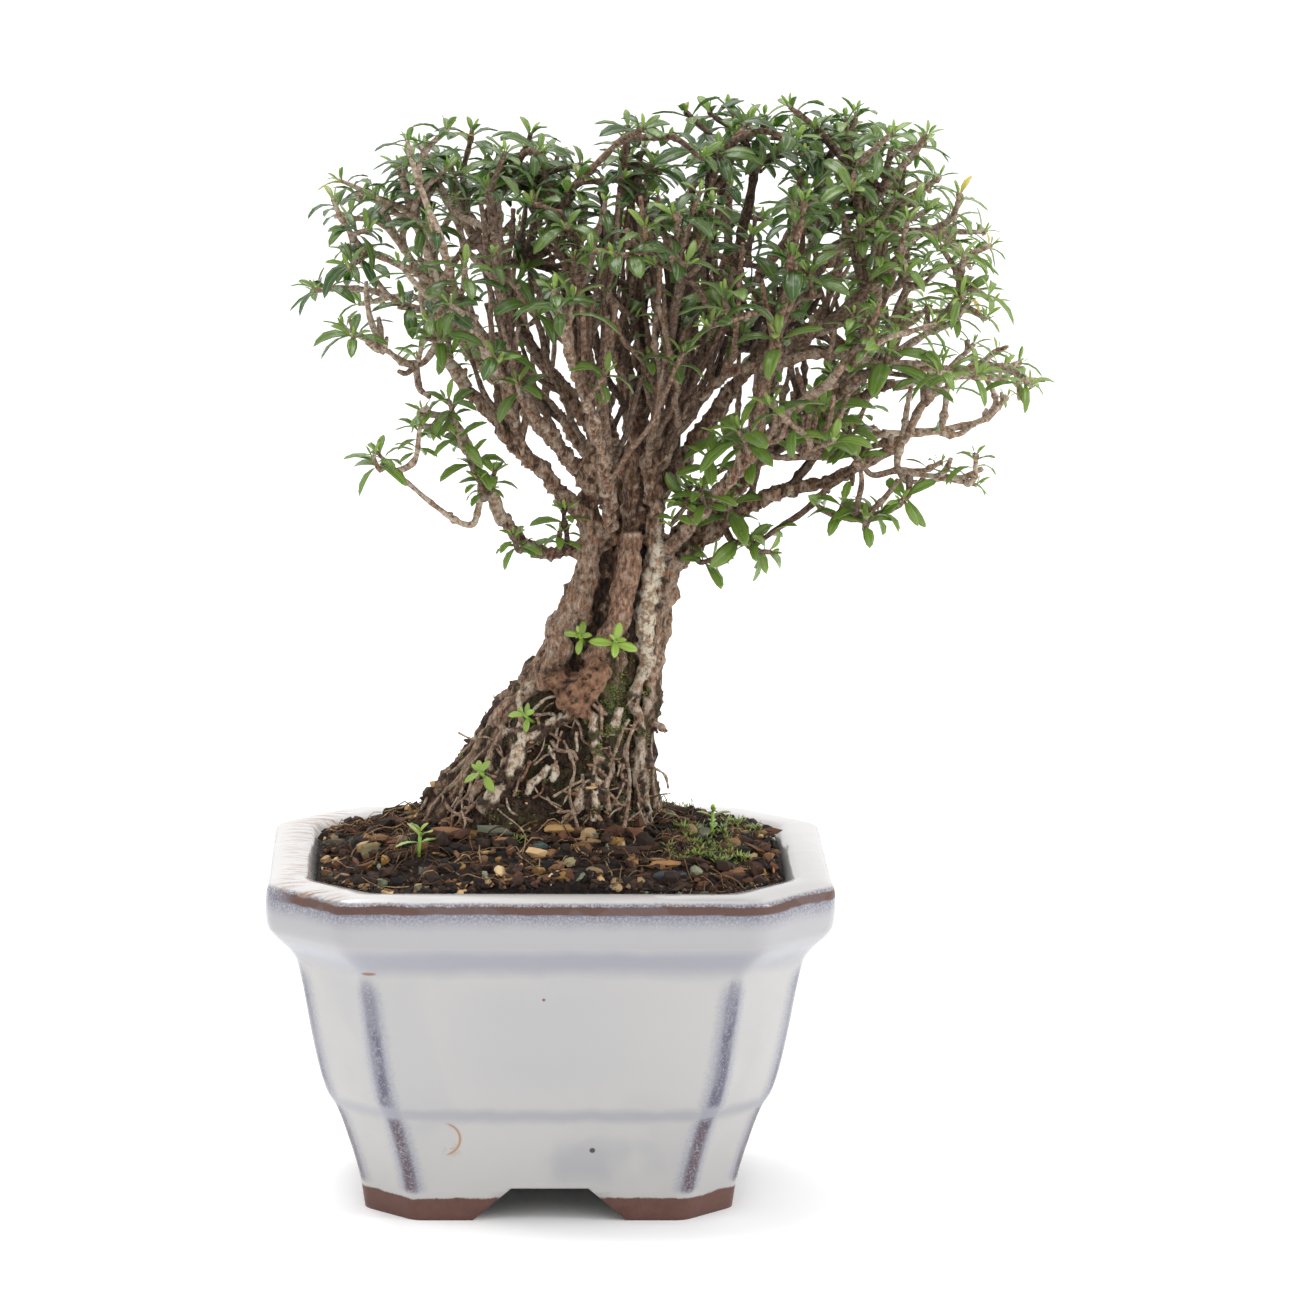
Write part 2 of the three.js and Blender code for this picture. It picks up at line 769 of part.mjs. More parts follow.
// How far up the leafy part of the crown a point is: 0 at its underside, 1 on its top.
function crownLevel([x, y, z]) {
  const across = (x - CROWN_MIDDLE) / CROWN_HALF_WIDTH;
  const depth = CROWN_HALF_DEPTH * Math.sqrt(Math.max(0, 1 - across * across));
  const round = Math.sqrt(Math.max(0, 1 - (y / (depth + 1e-6)) ** 2));
  if (Math.abs(y) >= depth) return -1;
  const low = along(CROWN_UNDERSIDE, x);
  const top = along(CROWN_TOP, x) - low;
  return (z - low) / (top * (1 - CROWN_SHOULDER + CROWN_SHOULDER * round));
}

// A twig from the best joint on the leafy limbs to a whorl's place.
function reachFor(target) {
  const options = [];
  for (const from of sticks) {
    if (from.node === "trunk") continue;
    for (let i = Math.max(1, from.bare + 1); i < from.points.length - 1; i++) {
      const way = sub(target, from.points[i]);
      const distance = size(way);
      if (distance < TWIG_REACH[0] || distance > TWIG_REACH[1]) continue;
      const heading = unit(sub(from.points[i], from.points[i - 1]));
      const turn = dot(heading, way) / distance;
      const drop = Math.max(0, -way[2]);
      options.push({ from, i, heading, distance, cost: distance * (1.7 - 0.7 * turn) + drop });
    }
  }
  options.sort((a, b) => a.cost - b.cost);
  return options.slice(0, TWIG_OPTIONS);
}

function growTwig(target) {
  const bends = [draw(), draw(), draw()];
  for (const { from, i, heading, distance } of reachFor(target)) {
    const start = from.points[i];
    const pull = add(start, mul(heading, distance * TWIG_PULL));
    const count = Math.max(2, Math.round(distance / TWIG_STEP));
    const points = [start];
    for (let k = 1; k <= count; k++) {
      const t = k / count;
      const point = mixed(mixed(start, pull, t), mixed(pull, target, t), t);
      const bend = k < count ? TWIG_SWAY * distance : 0;
      points.push(point.map((v, c) => v + (bends[(c + k) % 3] - 0.5) * bend));
    }
    if (clearance(points, from.node) < TWIG_RADII[0] + TWIG_ROOM) continue;
    addStick(points, TWIG_RADII, from.node, 0);
    const axis = unit(sub(target, points[count - 1]));
    whorls.push({ at: target, axis, node: from.node });
    return;
  }
}

// Whorls thrown one by one into the crown, thickest near its surface.
for (let n = 0, grown = 0; n < WHORL_TRIES && grown < WHORL_LIMIT; n++) {
  const target = THROW_BOX.map(([low, high]) => mix(low, high, draw()));
  const keep = draw();
  const level = crownLevel(target);
  if (level < 0 || level > 1) continue;
  if (keep > KEEP_SHARES.find(([least]) => level > least || least === 0)[1]) continue;
  if (whorls.some(({ at }) => size(sub(at, target)) < WHORL_SPACING)) continue;
  const before = whorls.length;
  growTwig(target);
  grown += whorls.length - before;
}

// ---------- leaves ----------
// A leaf is a thin arched blade that grows out of one face of a four-sided twig. Its stations are
// the share of its length, the arch over that length and the share of its width.
const LONG_LEAF = { stations: [[0.32, 0.07, 0.85], [0.66, 0.07, 1]], tip: -0.08 };
const SHORT_LEAF = { stations: [[0.5, 0.08, 1]], tip: -0.02 };

// The rings of a leaf beyond its root, whose four corners run from the face's lower left round.
function leafRings(root, axis, out, { form, rise, length, width }, grow = 0) {
  const side = cross(axis, out);
  const way = unit(add(out, mul(axis, rise)));
  const lift = cross(way, side);
  const at = (t, arch) => add(root, add(mul(way, (length + grow) * t), mul(lift, length * arch)));
  const rings = form.stations.map(([t, arch, share]) => {
    const w = mul(side, (width * share + grow) / 2);
    const h = mul(lift, (LEAF_THICK + grow) / 2);
    const middle = at(t, arch);
    const low = sub(middle, h);
    const high = add(middle, h);
    return [sub(low, w), add(low, w), add(high, w), sub(high, w)];
  });
  return [...rings, [at(1, form.tip)]];
}

// The two crossed pairs of a whorl, from the lower one: where it starts and ends, back from the
// twig's end, and its leaves.
const WHORL_PAIRS = [
  { from: 3.3, to: 1.7, rise: 0.35, scale: 1, form: LONG_LEAF },
  { from: 1.7, to: 0.3, rise: 1, scale: 0.78, form: SHORT_LEAF },
];
const TURN_TRIES = [0, 0.35, -0.35, 0.7];

const placed = []; // { shape, centre, reach, node } of all wood and leaves so far

function place(shape, centre, reach, node) {
  placed.push({ shape, centre, reach, node });
}

function meetsOthers(shape, centre, reach, node) {
  return placed.some(
    (other) =>
      other.node !== node &&
      size(sub(other.centre, centre)) < other.reach + reach &&
      !other.shape.intersect(shape).isEmpty(),
  );
}

function woodSides(radius) {
  return radius > 2.3 ? 5 : 4;
}

// The bare wood of a stick from one joint to another.
function woodSolid(points, radii, grow = 0) {
  const last = points.length - 1;
  const ends = [...points];
  if (grow) ends[last] = add(ends[last], mul(unit(sub(ends[last], ends[last - 1])), grow));
  return stick(ends, radii.map((r) => r + grow), woodSides(radii[0]));
}

function placePieces(points, radii, node) {
  for (let i = 0; i + 1 < points.length; i++) {
    const centre = mixed(points[i], points[i + 1], 0.5);
    const reach = size(sub(points[i + 1], points[i])) / 2 + radii[i];
    place(woodSolid(points.slice(i, i + 2), radii.slice(i, i + 2), GAP), centre, reach + GAP, node);
  }
}

// A four-sided twig with its whorl, as one closed skin. The corners turn with the leaves.
function leafyTwig(points, radii, node) {
  const last = points.length - 1;
  const end = points[last];
  const axis = unit(sub(end, points[last - 1]));
  const levels = [...WHORL_PAIRS.map((pair) => pair.from), WHORL_PAIRS[1].to];
  const centres = [...points.slice(0, last), ...levels.map((back) => sub(end, mul(axis, back)))];
  const widths = [...radii.slice(0, last), ...levels.map(() => radii[last])];
  const turn = draw() * Math.PI;
  const vary = WHORL_PAIRS.map(() => mix(0.85, 1.15, draw()));
  let best = null;
  for (const twist of TURN_TRIES) {
    const rings = squareRings(centres, widths, turn + twist);
    const leaves = whorlLeaves(rings, axis, vary, node);
    if (!best || leaves.length > best.leaves.length) best = { rings, leaves };
    if (leaves.length === 4) break;
  }
  for (const { fat, centre, reach } of best.leaves) place(fat, centre, reach, node);
  return leafySkin(best.rings, best.leaves);
}

function squareRings(centres, radii, turn) {
  let side = null;
  return centres.map((centre, i) => {
    const before = centres[Math.max(0, i - 1)];
    const after = centres[Math.min(centres.length - 1, i + 1)];
    const forward = unit(sub(after, before));
    if (!side) {
      const level = Math.abs(forward[2]) < 0.9 ? [0, 0, 1] : [1, 0, 0];
      const across = unit(cross(level, forward));
      const up = cross(forward, across);
      side = add(mul(across, Math.cos(turn)), mul(up, Math.sin(turn)));
    }
    side = unit(sub(side, mul(forward, dot(side, forward))));
    return circle(centre, side, cross(forward, side), radii[i], 4);
  });
}

// Face k between one square ring and the next: its corners, middle and outward direction.
function faceOf(rings, low, k, axis) {
  const j = (k + 1) % 4;
  const corners = [rings[low][k], rings[low][j], rings[low + 1][j], rings[low + 1][k]];
  const root = mixed(mixed(corners[0], corners[2], 0.5), mixed(corners[1], corners[3], 0.5), 0.5);
  return { corners, root, out: cross(unit(sub(corners[1], corners[0])), axis) };
}

// The leaves that a whorl has room for: on faces 0 and 2 below, and on faces 1 and 3 above.
function whorlLeaves(rings, axis, vary, node) {
  const found = [];
  WHORL_PAIRS.forEach(({ rise, scale, form }, level) => {
    const low = rings.length - 1 - WHORL_PAIRS.length + level;
    for (const k of [level, level + 2]) {
      const { corners, root, out } = faceOf(rings, low, k, axis);
      const grown = { form, rise, length: LEAF_LENGTH * scale * vary[level], width: LEAF_WIDTH * scale };
      for (const shrink of [1, 0.75]) {
        const leaf = { ...grown, length: grown.length * shrink };
        const fat = skin([corners, ...leafRings(root, axis, out, leaf, 2 * GAP)]);
        const centre = add(root, mul(out, leaf.length / 2));
        const reach = leaf.length * 0.75;
        if (meetsOthers(fat, centre, reach, node)) continue;
        found.push({ low, k, rings: leafRings(root, axis, out, leaf), fat, centre, reach });
        break;
      }
    }
  });
  return found;
}

// The skin over square rings, with each leaf's rings in place of the face that it grows from.
function leafySkin(rings, leaves) {
  const points = rings.flat();
  const faces = [];
  const quad = (a, b, c, d) => faces.push([a, b, c], [a, c, d]);
  for (let i = 0; i + 1 < rings.length; i++) {
    for (let k = 0; k < 4; k++) {
      const j = (k + 1) % 4;
      let corners = [4 * i + k, 4 * i + j, 4 * i + 4 + j, 4 * i + 4 + k];
      const leaf = leaves.find((l) => l.low === i && l.k === k);
      if (!leaf) {
        quad(...corners);
        continue;
      }
      for (const ring of leaf.rings) {
        const start = points.length;
        points.push(...ring);
        for (let m = 0; m < 4; m++) {
          const n = (m + 1) % 4;
          if (ring.length === 1) faces.push([corners[m], corners[n], start]);
          else quad(corners[m], corners[n], start + n, start + m);
        }
        corners = [start, start + 1, start + 2, start + 3];
      }
    }
  }
  const top = 4 * (rings.length - 1);
  quad(3, 2, 1, 0);
  quad(top, top + 1, top + 2, top + 3);
  return body(points, faces);
}

// ---------- building the tree's solids ----------
const nodes = new Map([["trunk", []]]);
function trunkShapes(grow) {
  const roots = ROOTS.map((root) => rootSolid(root, grow));
  const burls = BURLS.map((burl) => burlSolid(burl, grow));
  return [trunkBody(grow), ...roots, ...burls];
}

const fatTrunk = trunkShapes(GAP);
nodes.get("trunk").push(...trunkShapes(0));

for (const { points, radii, node, bare } of sticks) {
  if (bare > 0) {
    const inner = points.slice(0, bare + 1);
    nodes.get("trunk").push(woodSolid(inner, radii));
    fatTrunk.push(woodSolid(inner, radii, GAP));
    placePieces(inner, radii, "trunk");
  }
  if (node !== "trunk") placePieces(points.slice(bare), radii.slice(bare), node);
}
for (const { points, radii, node, bare } of sticks) {
  if (node === "trunk") continue;
  if (!nodes.has(node)) nodes.set(node, []);
  nodes.get(node).push(leafyTwig(points.slice(bare), radii.slice(bare), node));
}
const trunkClearance = joined(fatTrunk);

// ---------- soil ----------
function soilHeight(x, y) {
  const away = Math.sqrt((x / MOUND_REACH[0]) ** 2 + (y / MOUND_REACH[1]) ** 2);
  const rise = clamp(1 - away, 0, 1);
  return SOIL_EDGE + MOUND_RISE * rise * (2 - rise);
}

const SOIL_RINGS = [0.94, 0.82, 0.68, 0.52, 0.36];
const SOIL_PIECES = 3; // points along each edge of the soil's outline
const CRUMB = 1.3; // height of the crumbs that roughen the soil

// The pot's inside below the soil's edge, from the floor up, as [height in the layout, half width].
function soilWall() {
  const inside = [...POT_INSIDE].reverse().map(([z, half]) => [z - LAYOUT_LEVEL, half]);
  const below = inside.filter(([z]) => z < SOIL_EDGE);
  return [...below, [SOIL_EDGE, along(inside, SOIL_EDGE)]];
}

function makeSoil() {
  const crumb = random(SEED + 1);
  const rings = soilWall().map(([z, half], row) => {
    const lift = row === 0 ? GAP : 0;
    return outline(half - GAP, z + lift, SOIL_PIECES, CORNER_CUT * half);
  });
  const edge = rings[rings.length - 1];
  for (const scale of SOIL_RINGS) {
    rings.push(edge.map(([x, y]) => {
      const px = x * scale + (crumb() - 0.5) * 2.4;
      const py = y * scale + (crumb() - 0.5) * 2.4;
      return [px, py, soilHeight(px, py) + (crumb() - 0.4) * 2 * CRUMB];
    }));
  }
  rings.push([[0, 0, soilHeight(0, 0)]]);
  return skin(rings);
}

// Larger pebbles lying half sunk in the soil: x, y, half width.
const PEBBLES = [
  [-36, -6, 3.4],
  [-5, -28, 3.2],
  [4, -34, 4],
  [31, -18, 3.2],
  [35, -26, 3.4],
  [-22, -31, 3],
  [20, 33, 3.4],
  [-24, 31, 3.2],
];

function pebbleSolid([x, y, half]) {
  const stone = new THREE.IcosahedronGeometry(1, 0);
  stone.scale(half, half * 0.8, half * 0.55).rotateZ(x);
  return solid(stone.translate(x, y, soilHeight(x, y) + half * 0.2));
}

function makeGround() {
  const half = SCREEN_SIZE / 2 + GAP;
  const top = WIRE_TOP + WIRE_RADIUS + GAP;
  const pocket = new THREE.BoxGeometry(2 * half, 2 * half, 2 * (top - POT_FLOOR));
  pocket.translate(0, 0, POT_FLOOR - LAYOUT_LEVEL);
  const soil = joined([makeSoil(), ...PEBBLES.map(pebbleSolid)]);
  const holes = joined([solid(pocket), trunkClearance, ...SEEDLINGS.map(seedlingHole)]);
  return largest(soil.subtract(holes));
}

// ---------- sprouts and seedlings ----------
const SPROUT_STALK = 0.8;
const SPROUT_RISE = 6;
const SEEDLING_RISE = 9;
const SEEDLING_DEPTH = 3; // how deep a seedling's stalk stands in its hole
// Small bright shoots on the trunk's front: side, height and leaf length.
const SPROUTS = [
  [0.16, 128, 6.5],
  [-0.35, 129, 4.5],
  [-0.54, 111, 4.5],
  [-0.6, 98, 5],
];
// Seedlings in the soil: x, y and leaf length.
const SEEDLINGS = [
  [-30, -25, 7],
  [38, -8, 5],
];

function makeSprout(foot, up, leaf, rise) {
  const end = add(foot, mul(up, rise));
  const backs = [...WHORL_PAIRS.map((pair) => pair.from), WHORL_PAIRS[1].to];
  const centres = [foot, ...backs.map((back) => sub(end, mul(up, back)))];
  const rings = squareRings(centres, centres.map(() => SPROUT_STALK), leaf);
  const leaves = WHORL_PAIRS.flatMap(({ rise: lift, scale, form }, level) =>
    [level, level + 2].map((k) => {
      const low = level + 1;
      const { root, out } = faceOf(rings, low, k, up);
      const shape = { form, rise: lift, length: leaf * scale, width: leaf * 0.42 };
      return { low, k, rings: leafRings(root, up, out, shape) };
    }),
  );
  return leafySkin(rings, leaves);
}

function sproutOnTrunk([side, z, leaf]) {
  const angle = sideAngle(side, true);
  const up = unit([Math.cos(angle), Math.sin(angle), 0.6]);
  return makeSprout(onTrunk(angle, z, -0.5), up, leaf, SPROUT_RISE).subtract(trunkClearance);
}

const seedlingFoot = ([x, y]) => [x, y, soilHeight(x, y) - SEEDLING_DEPTH];

function seedlingInSoil(seedling) {
  return makeSprout(seedlingFoot(seedling), [0, 0, 1], seedling[2], SEEDLING_RISE);
}

function seedlingHole(seedling) {
  const foot = add(seedlingFoot(seedling), [0, 0, -GAP]);
  const radius = SPROUT_STALK + 2 * GAP;
  return stick([foot, add(foot, [0, 0, 2 * SEEDLING_DEPTH])], [radius, radius], 6);
}

// ---------- the whole ----------
const finish = (color, roughness) => new THREE.MeshStandardMaterial({ color, roughness, metalness: 0 });
const GLAZE = finish(0xe2ded6, 0.18);
const EARTH = finish(0x3d2e22, 0.95);
const BARK = finish(0x735a4c, 0.9);
const LEAF = finish(0x4c7038, 0.4);
const YOUNG_LEAF = finish(0x86b040, 0.45);
const SCREEN_PLASTIC = finish(0x1c1c1c, 0.6);
const WIRE_METAL = finish(0x3a3a3c, 0.5);

const tree = new THREE.Group();

function addMesh(name, shape, material) {
  const { vertProperties, triVerts } = shape.getMesh();
  const geometry = new THREE.BufferGeometry();
  geometry.setAttribute("position", new THREE.BufferAttribute(vertProperties, 3));
  geometry.setIndex(new THREE.BufferAttribute(triVerts, 1));
  const mesh = new THREE.Mesh(geometry, material);
  mesh.name = name;
  tree.add(mesh);
}

const fromGround = (shape) => shape.translate([0, 0, -LAYOUT_LEVEL]);
addMesh("pot", fromGround(makePot()), GLAZE);
addMesh("soil", makeGround(), EARTH);
addMesh("drain_screen", fromGround(makeScreen()), SCREEN_PLASTIC);
addMesh("screen_wire", fromGround(makeWire()), WIRE_METAL);
for (const [name, pieces] of nodes) {
  const whole = joined(pieces);
  if (name === "trunk") addMesh(name, largest(whole), BARK);
  else addMesh("branch_" + name, largest(whole.subtract(trunkClearance)), LEAF);
}
SPROUTS.forEach((sprout, i) => {
  addMesh("sprout_" + (i + 1), largest(sproutOnTrunk(sprout)), YOUNG_LEAF);
});
SEEDLINGS.forEach((seedling, i) => {
  addMesh("seedling_" + (i + 1), seedlingInSoil(seedling), YOUNG_LEAF);
});

const extent = new THREE.Box3().setFromObject(tree);
const middle = extent.getCenter(new THREE.Vector3());
tree.position.set(-middle.x, -middle.y, -extent.min.z);

const bonsai = new THREE.Group();
bonsai.add(tree);
export default bonsai;
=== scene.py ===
# Serissa bonsai in a glazed pot with cut corners: looks, light and camera.
# Everything is laid out in millimetres round the middle of the pot's foot, +X right, +Y away and
# +Z up, and is moved to the part's own origin, in metres, as it becomes a mesh.
import math

import bmesh
import bpy
import numpy as np
from mathutils import Matrix, Vector, kdtree, noise
from mathutils.bvhtree import BVHTree


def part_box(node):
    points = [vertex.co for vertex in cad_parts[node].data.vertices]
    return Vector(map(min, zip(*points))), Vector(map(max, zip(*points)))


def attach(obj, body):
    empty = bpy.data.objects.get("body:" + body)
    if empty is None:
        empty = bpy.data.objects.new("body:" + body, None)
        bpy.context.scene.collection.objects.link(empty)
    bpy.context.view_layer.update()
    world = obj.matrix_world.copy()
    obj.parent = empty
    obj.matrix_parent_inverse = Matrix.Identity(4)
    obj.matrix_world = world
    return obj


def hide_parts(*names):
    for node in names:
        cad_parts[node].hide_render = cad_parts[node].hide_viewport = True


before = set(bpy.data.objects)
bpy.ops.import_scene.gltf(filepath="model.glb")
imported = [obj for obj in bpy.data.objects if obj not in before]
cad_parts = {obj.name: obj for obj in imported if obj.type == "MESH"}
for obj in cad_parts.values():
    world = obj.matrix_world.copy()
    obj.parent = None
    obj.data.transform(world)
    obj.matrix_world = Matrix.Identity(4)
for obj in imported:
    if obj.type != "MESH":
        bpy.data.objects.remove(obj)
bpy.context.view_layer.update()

POT_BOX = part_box("pot")
MM = 0.001
LAYOUT_LEVEL = 1.8  # height of the layout's zero above the ground
OFFSET = np.array([(POT_BOX[0][c] + POT_BOX[1][c]) / 2 / MM for c in (0, 1)] + [LAYOUT_LEVEL])
SEED = 7

# ---------- camera ----------
AIM = (23.26, 0.0, 126.04)
AZIMUTH, ELEVATION, ROLL = math.radians(-1.66), math.radians(10.64), math.radians(0.43)
DISTANCE = 1527.3
LENS, SENSOR = 181.6, 36.0


def in_part(points):
    """Layout millimetres as the part's metres."""
    return (np.asarray(points, float) + OFFSET) * MM


def put(name, data):
    """A new object in the scene."""
    placed = bpy.data.objects.new(name, data)
    bpy.context.scene.collection.objects.link(placed)
    return placed


def make_camera():
    """The photo's camera; gives its eye and its three directions in layout millimetres."""
    back = Vector((
        math.sin(AZIMUTH) * math.cos(ELEVATION),
        -math.cos(AZIMUTH) * math.cos(ELEVATION),
        math.sin(ELEVATION),
    ))
    right = (-back).cross(Vector((0, 0, 1))).normalized()
    up = right.cross(-back)
    x_axis = right * math.cos(ROLL) + up * math.sin(ROLL)
    y_axis = up * math.cos(ROLL) - right * math.sin(ROLL)
    place = Vector(in_part(AIM)) + back * DISTANCE * MM
    matrix = Matrix((x_axis, y_axis, back)).transposed().to_4x4()
    matrix.translation = place
    data = bpy.data.cameras.new("camera")
    data.lens = LENS
    data.sensor_width = SENSOR
    data.sensor_fit = "HORIZONTAL"
    data.clip_start = 0.05
    data.clip_end = 20
    camera = put("camera", data)
    camera.matrix_world = matrix
    bpy.context.scene.camera = camera
    return np.array(AIM) + np.array(back) * DISTANCE, np.array((x_axis, y_axis, back))


EYE, VIEW = make_camera()


def sight(across, seen):
    """The way from the eye to a place across and a height as seen, in the plane of the aim."""
    flat = np.array([across - AIM[0], seen - AIM[2], -DISTANCE])
    way = flat @ VIEW
    return way / np.linalg.norm(way)


# ---------- meshes ----------
class Pile:
    """Points, faces and values of many small closed shapes that become one mesh."""

    def __init__(self):
        self.points = []
        self.faces = {}
        self.values = {}
        self.count = 0

    def add(self, points, faces, **values):
        points = np.asarray(points, float)
        for block in faces:
            block = np.asarray(block, int)
            self.faces.setdefault(block.shape[1], []).append(block + self.count)
        for key, value in values.items():
            value = np.asarray(value, float)
            if value.ndim == 0 or (value.ndim == 1 and len(value) != len(points)):
                value = np.broadcast_to(value, (len(points),) + value.shape)
            self.values.setdefault(key, []).append(value)
        self.points.append(points)
        self.count += len(points)

    def mesh(self, name):
        points = np.concatenate(self.points)
        values = {key: np.concatenate(parts) for key, parts in self.values.items()}
        faces = [np.concatenate(blocks) for blocks in self.faces.values()]
        return new_mesh(name, points, faces, values)


def new_mesh(name, points, faces, values):
    mesh = bpy.data.meshes.new(name)
    mesh.vertices.add(len(points))
    mesh.vertices.foreach_set("co", in_part(points).ravel())
    loops = np.concatenate([block.ravel() for block in faces])
    sizes = np.concatenate([np.full(len(block), block.shape[1]) for block in faces])
    mesh.loops.add(len(loops))
    mesh.loops.foreach_set("vertex_index", loops.astype(np.int32))
    mesh.polygons.add(len(sizes))
    mesh.polygons.foreach_set("loop_start", (np.cumsum(sizes) - sizes).astype(np.int32))
    mesh.update(calc_edges=True)
    mesh.validate()
    for key, value in values.items():
        set_value(mesh, key, value)
    return mesh


def set_value(mesh, key, value):
    """Gives each point of a mesh a number or a vector that the materials read."""
    value = np.asarray(value, float)
    kind = "FLOAT" if value.ndim == 1 else "FLOAT_VECTOR"
    layer = mesh.attributes.new(key, kind, "POINT")
    layer.data.foreach_set("value" if value.ndim == 1 else "vector", value.astype(np.float32).ravel())


def new_piece(mesh, material, slot, *nodes):
    """A visible piece that rides on the part and replaces the nodes that are named."""
    piece = put(mesh.name, mesh)
    mesh.materials.clear()
    mesh.materials.append(material)
    mesh.shade_smooth()
    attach(piece, "root")
    if nodes:
        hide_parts(*nodes)
    return piece


def ring_faces(rings, sides):
    """The faces of a capped skin over rings that run counterclockwise about the way forward."""
    low = np.arange(rings - 1)[:, None] * sides
    j = np.arange(sides)[None, :]
    k = (j + 1) % sides
    quads = np.stack([low + j, low + k, low + sides + k, low + sides + j], -1).reshape(-1, 4)
    first = np.arange(sides)[::-1][None, :]
    last = (rings - 1) * sides + np.arange(sides)[None, :]
    return [quads, first, last]


# ---------- small vector helpers ----------
def unit(vector):
    vector = np.asarray(vector, float)
    return vector / max(np.linalg.norm(vector), 1e-12)


def mix(a, b, t):
    return a + (b - a) * t


def clamp(x, low, high):
    return min(high, max(low, x))


def smoothstep(x, low, high):
    t = np.clip((x - low) / (high - low), 0, 1)
    return t * t * (3 - 2 * t)


def nearest_whole(x):
    return math.floor(x + 0.5)


def jitter(chance):
    """Three draws round zero, as a vector."""
    return np.array([next(chance) - 0.5 for _ in range(3)])


def run_along(path):
    """How far along a path each of its points lies."""
    return np.concatenate([[0], np.cumsum(np.linalg.norm(np.diff(path, axis=0), axis=1))])


def crosswise(axis, hint):
    """Two directions across an axis, square to each other."""
    across = unit(np.cross(axis, hint))
    return across, np.cross(axis, across)


def turned_from(across, other, angle):
    return across * math.cos(angle) + other * math.sin(angle)


def along(rows, x, column=1):
    """The value at x of a line through rows of (x, value...)."""
    i = 1
    while i < len(rows) - 1 and rows[i][0] < x:
        i += 1
    t = clamp((x - rows[i - 1][0]) / (rows[i][0] - rows[i - 1][0]), 0, 1)
    return mix(rows[i - 1][column], rows[i][column], t)


def stream(seed):
    """A seeded stream of numbers from 0 to 1, the same one that lays out the solids."""
    state = seed & 0xFFFFFFFF
    while True:
        state = (state + 0x6D2B79F5) & 0xFFFFFFFF
        t = state
        t = ((t ^ (t >> 15)) * (t | 1)) & 0xFFFFFFFF
        t ^= (t + (((t ^ (t >> 7)) * (t | 61)) & 0xFFFFFFFF)) & 0xFFFFFFFF
        yield ((t ^ (t >> 14)) & 0xFFFFFFFF) / 4294967296


# ---------- the tree's joints, as in the solids ----------
# Sections of the trunk's body: height, left and right edge, and half depth.
TRUNK_SECTIONS = [
    (79, -31, 29, 25),
    (90, -27.5, 24.5, 22),
    (98, -21.5, 23, 18),
    (105, -16, 23, 15.5),
    (112, -11, 24, 13.5),
    (119, -6, 24.5, 12),
    (126, -2, 25, 10.5),
    (133, 0.5, 26, 9),
    (140, 4, 27.5, 8),
    (147, 6.5, 28, 7),
    (152, 9, 26.5, 5.5),
]
TRUNK_FLUTES = 5
TRUNK_FLUTE_DEPTH = 0.09
SOIL_EDGE = 76.3  # height of the soil at the pot's wall
MOUND_RISE = 11.7
MOUND_REACH = (60, 48)  # across and away


def on_trunk(angle, z, out=0.0):
    """A point on the trunk's body at a turn round it, pushed out by a distance."""
    left, right, depth = (along(TRUNK_SECTIONS, z, c) for c in (1, 2, 3))
    flute = 1 + TRUNK_FLUTE_DEPTH * math.cos(TRUNK_FLUTES * angle + z * 0.05)
    x = (left + right) / 2 + math.cos(angle) * ((right - left) / 2 * flute + out)
    return np.array([x, math.sin(angle) * (depth * flute + out), z])


def side_angle(side, front):
    """The turn round the trunk of a place at a share of its half width, in front or behind."""
    return (-1 if front else 1) * math.acos(clamp(side, -0.99, 0.99))


def soil_height(x, y):
    """The height of the solid's mound at a place."""
    rise = clamp(1 - math.hypot(x / MOUND_REACH[0], y / MOUND_REACH[1]), 0, 1)
    return SOIL_EDGE + MOUND_RISE * rise * (2 - rise)


def smooth(route, step):
    """Points about one step apart on a smooth curve through route points."""
    route = np.asarray(route, float)
    points = [route[0]]
    for i in range(len(route) - 1):
        p0, p1, p2 = route[max(0, i - 1)], route[i], route[i + 1]
        p3 = route[min(len(route) - 1, i + 2)]
        count = max(1, nearest_whole(np.linalg.norm(p2 - p1) / step))
        for k in range(1, count + 1):
            t = k / count
            bend = 2 * p0 - 5 * p1 + 4 * p2 - p3
            turn = 3 * p1 - p0 - 3 * p2 + p3
            points.append((2 * p1 + (p2 - p0) * t + bend * t * t + turn * t**3) / 2)
    return np.array(points)


# Stems of the trunk: radii at the foot and the end, and route.
STEMS = [
    ((3.4, 2.6), [
        (6, -2, 136), (8.5, -3, 147), (9.7, -4, 152), (8.5, -4, 158), (9, -6, 166),
        (10, -8, 174),
    ]),
    ((4.2, 3), [
        (14, 0, 138), (18, 0, 147), (19.6, 0, 155), (19.2, 0, 165), (19.6, 1, 172),
        (20, 3, 180),
    ]),
    ((3.6, 2.8), [
        (14, 6, 140), (15, 9, 151), (16, 11, 162), (15, 14, 172),
    ]),
    ((3.2, 2.6), [
        (22, 3, 140), (24, 5, 152), (25, 6, 163), (26, 6, 174),
    ]),
    ((2.6, 2.2), [
        (22, -3, 140), (24, -4, 150), (24, -4, 160), (23, -5, 170),
    ]),
]
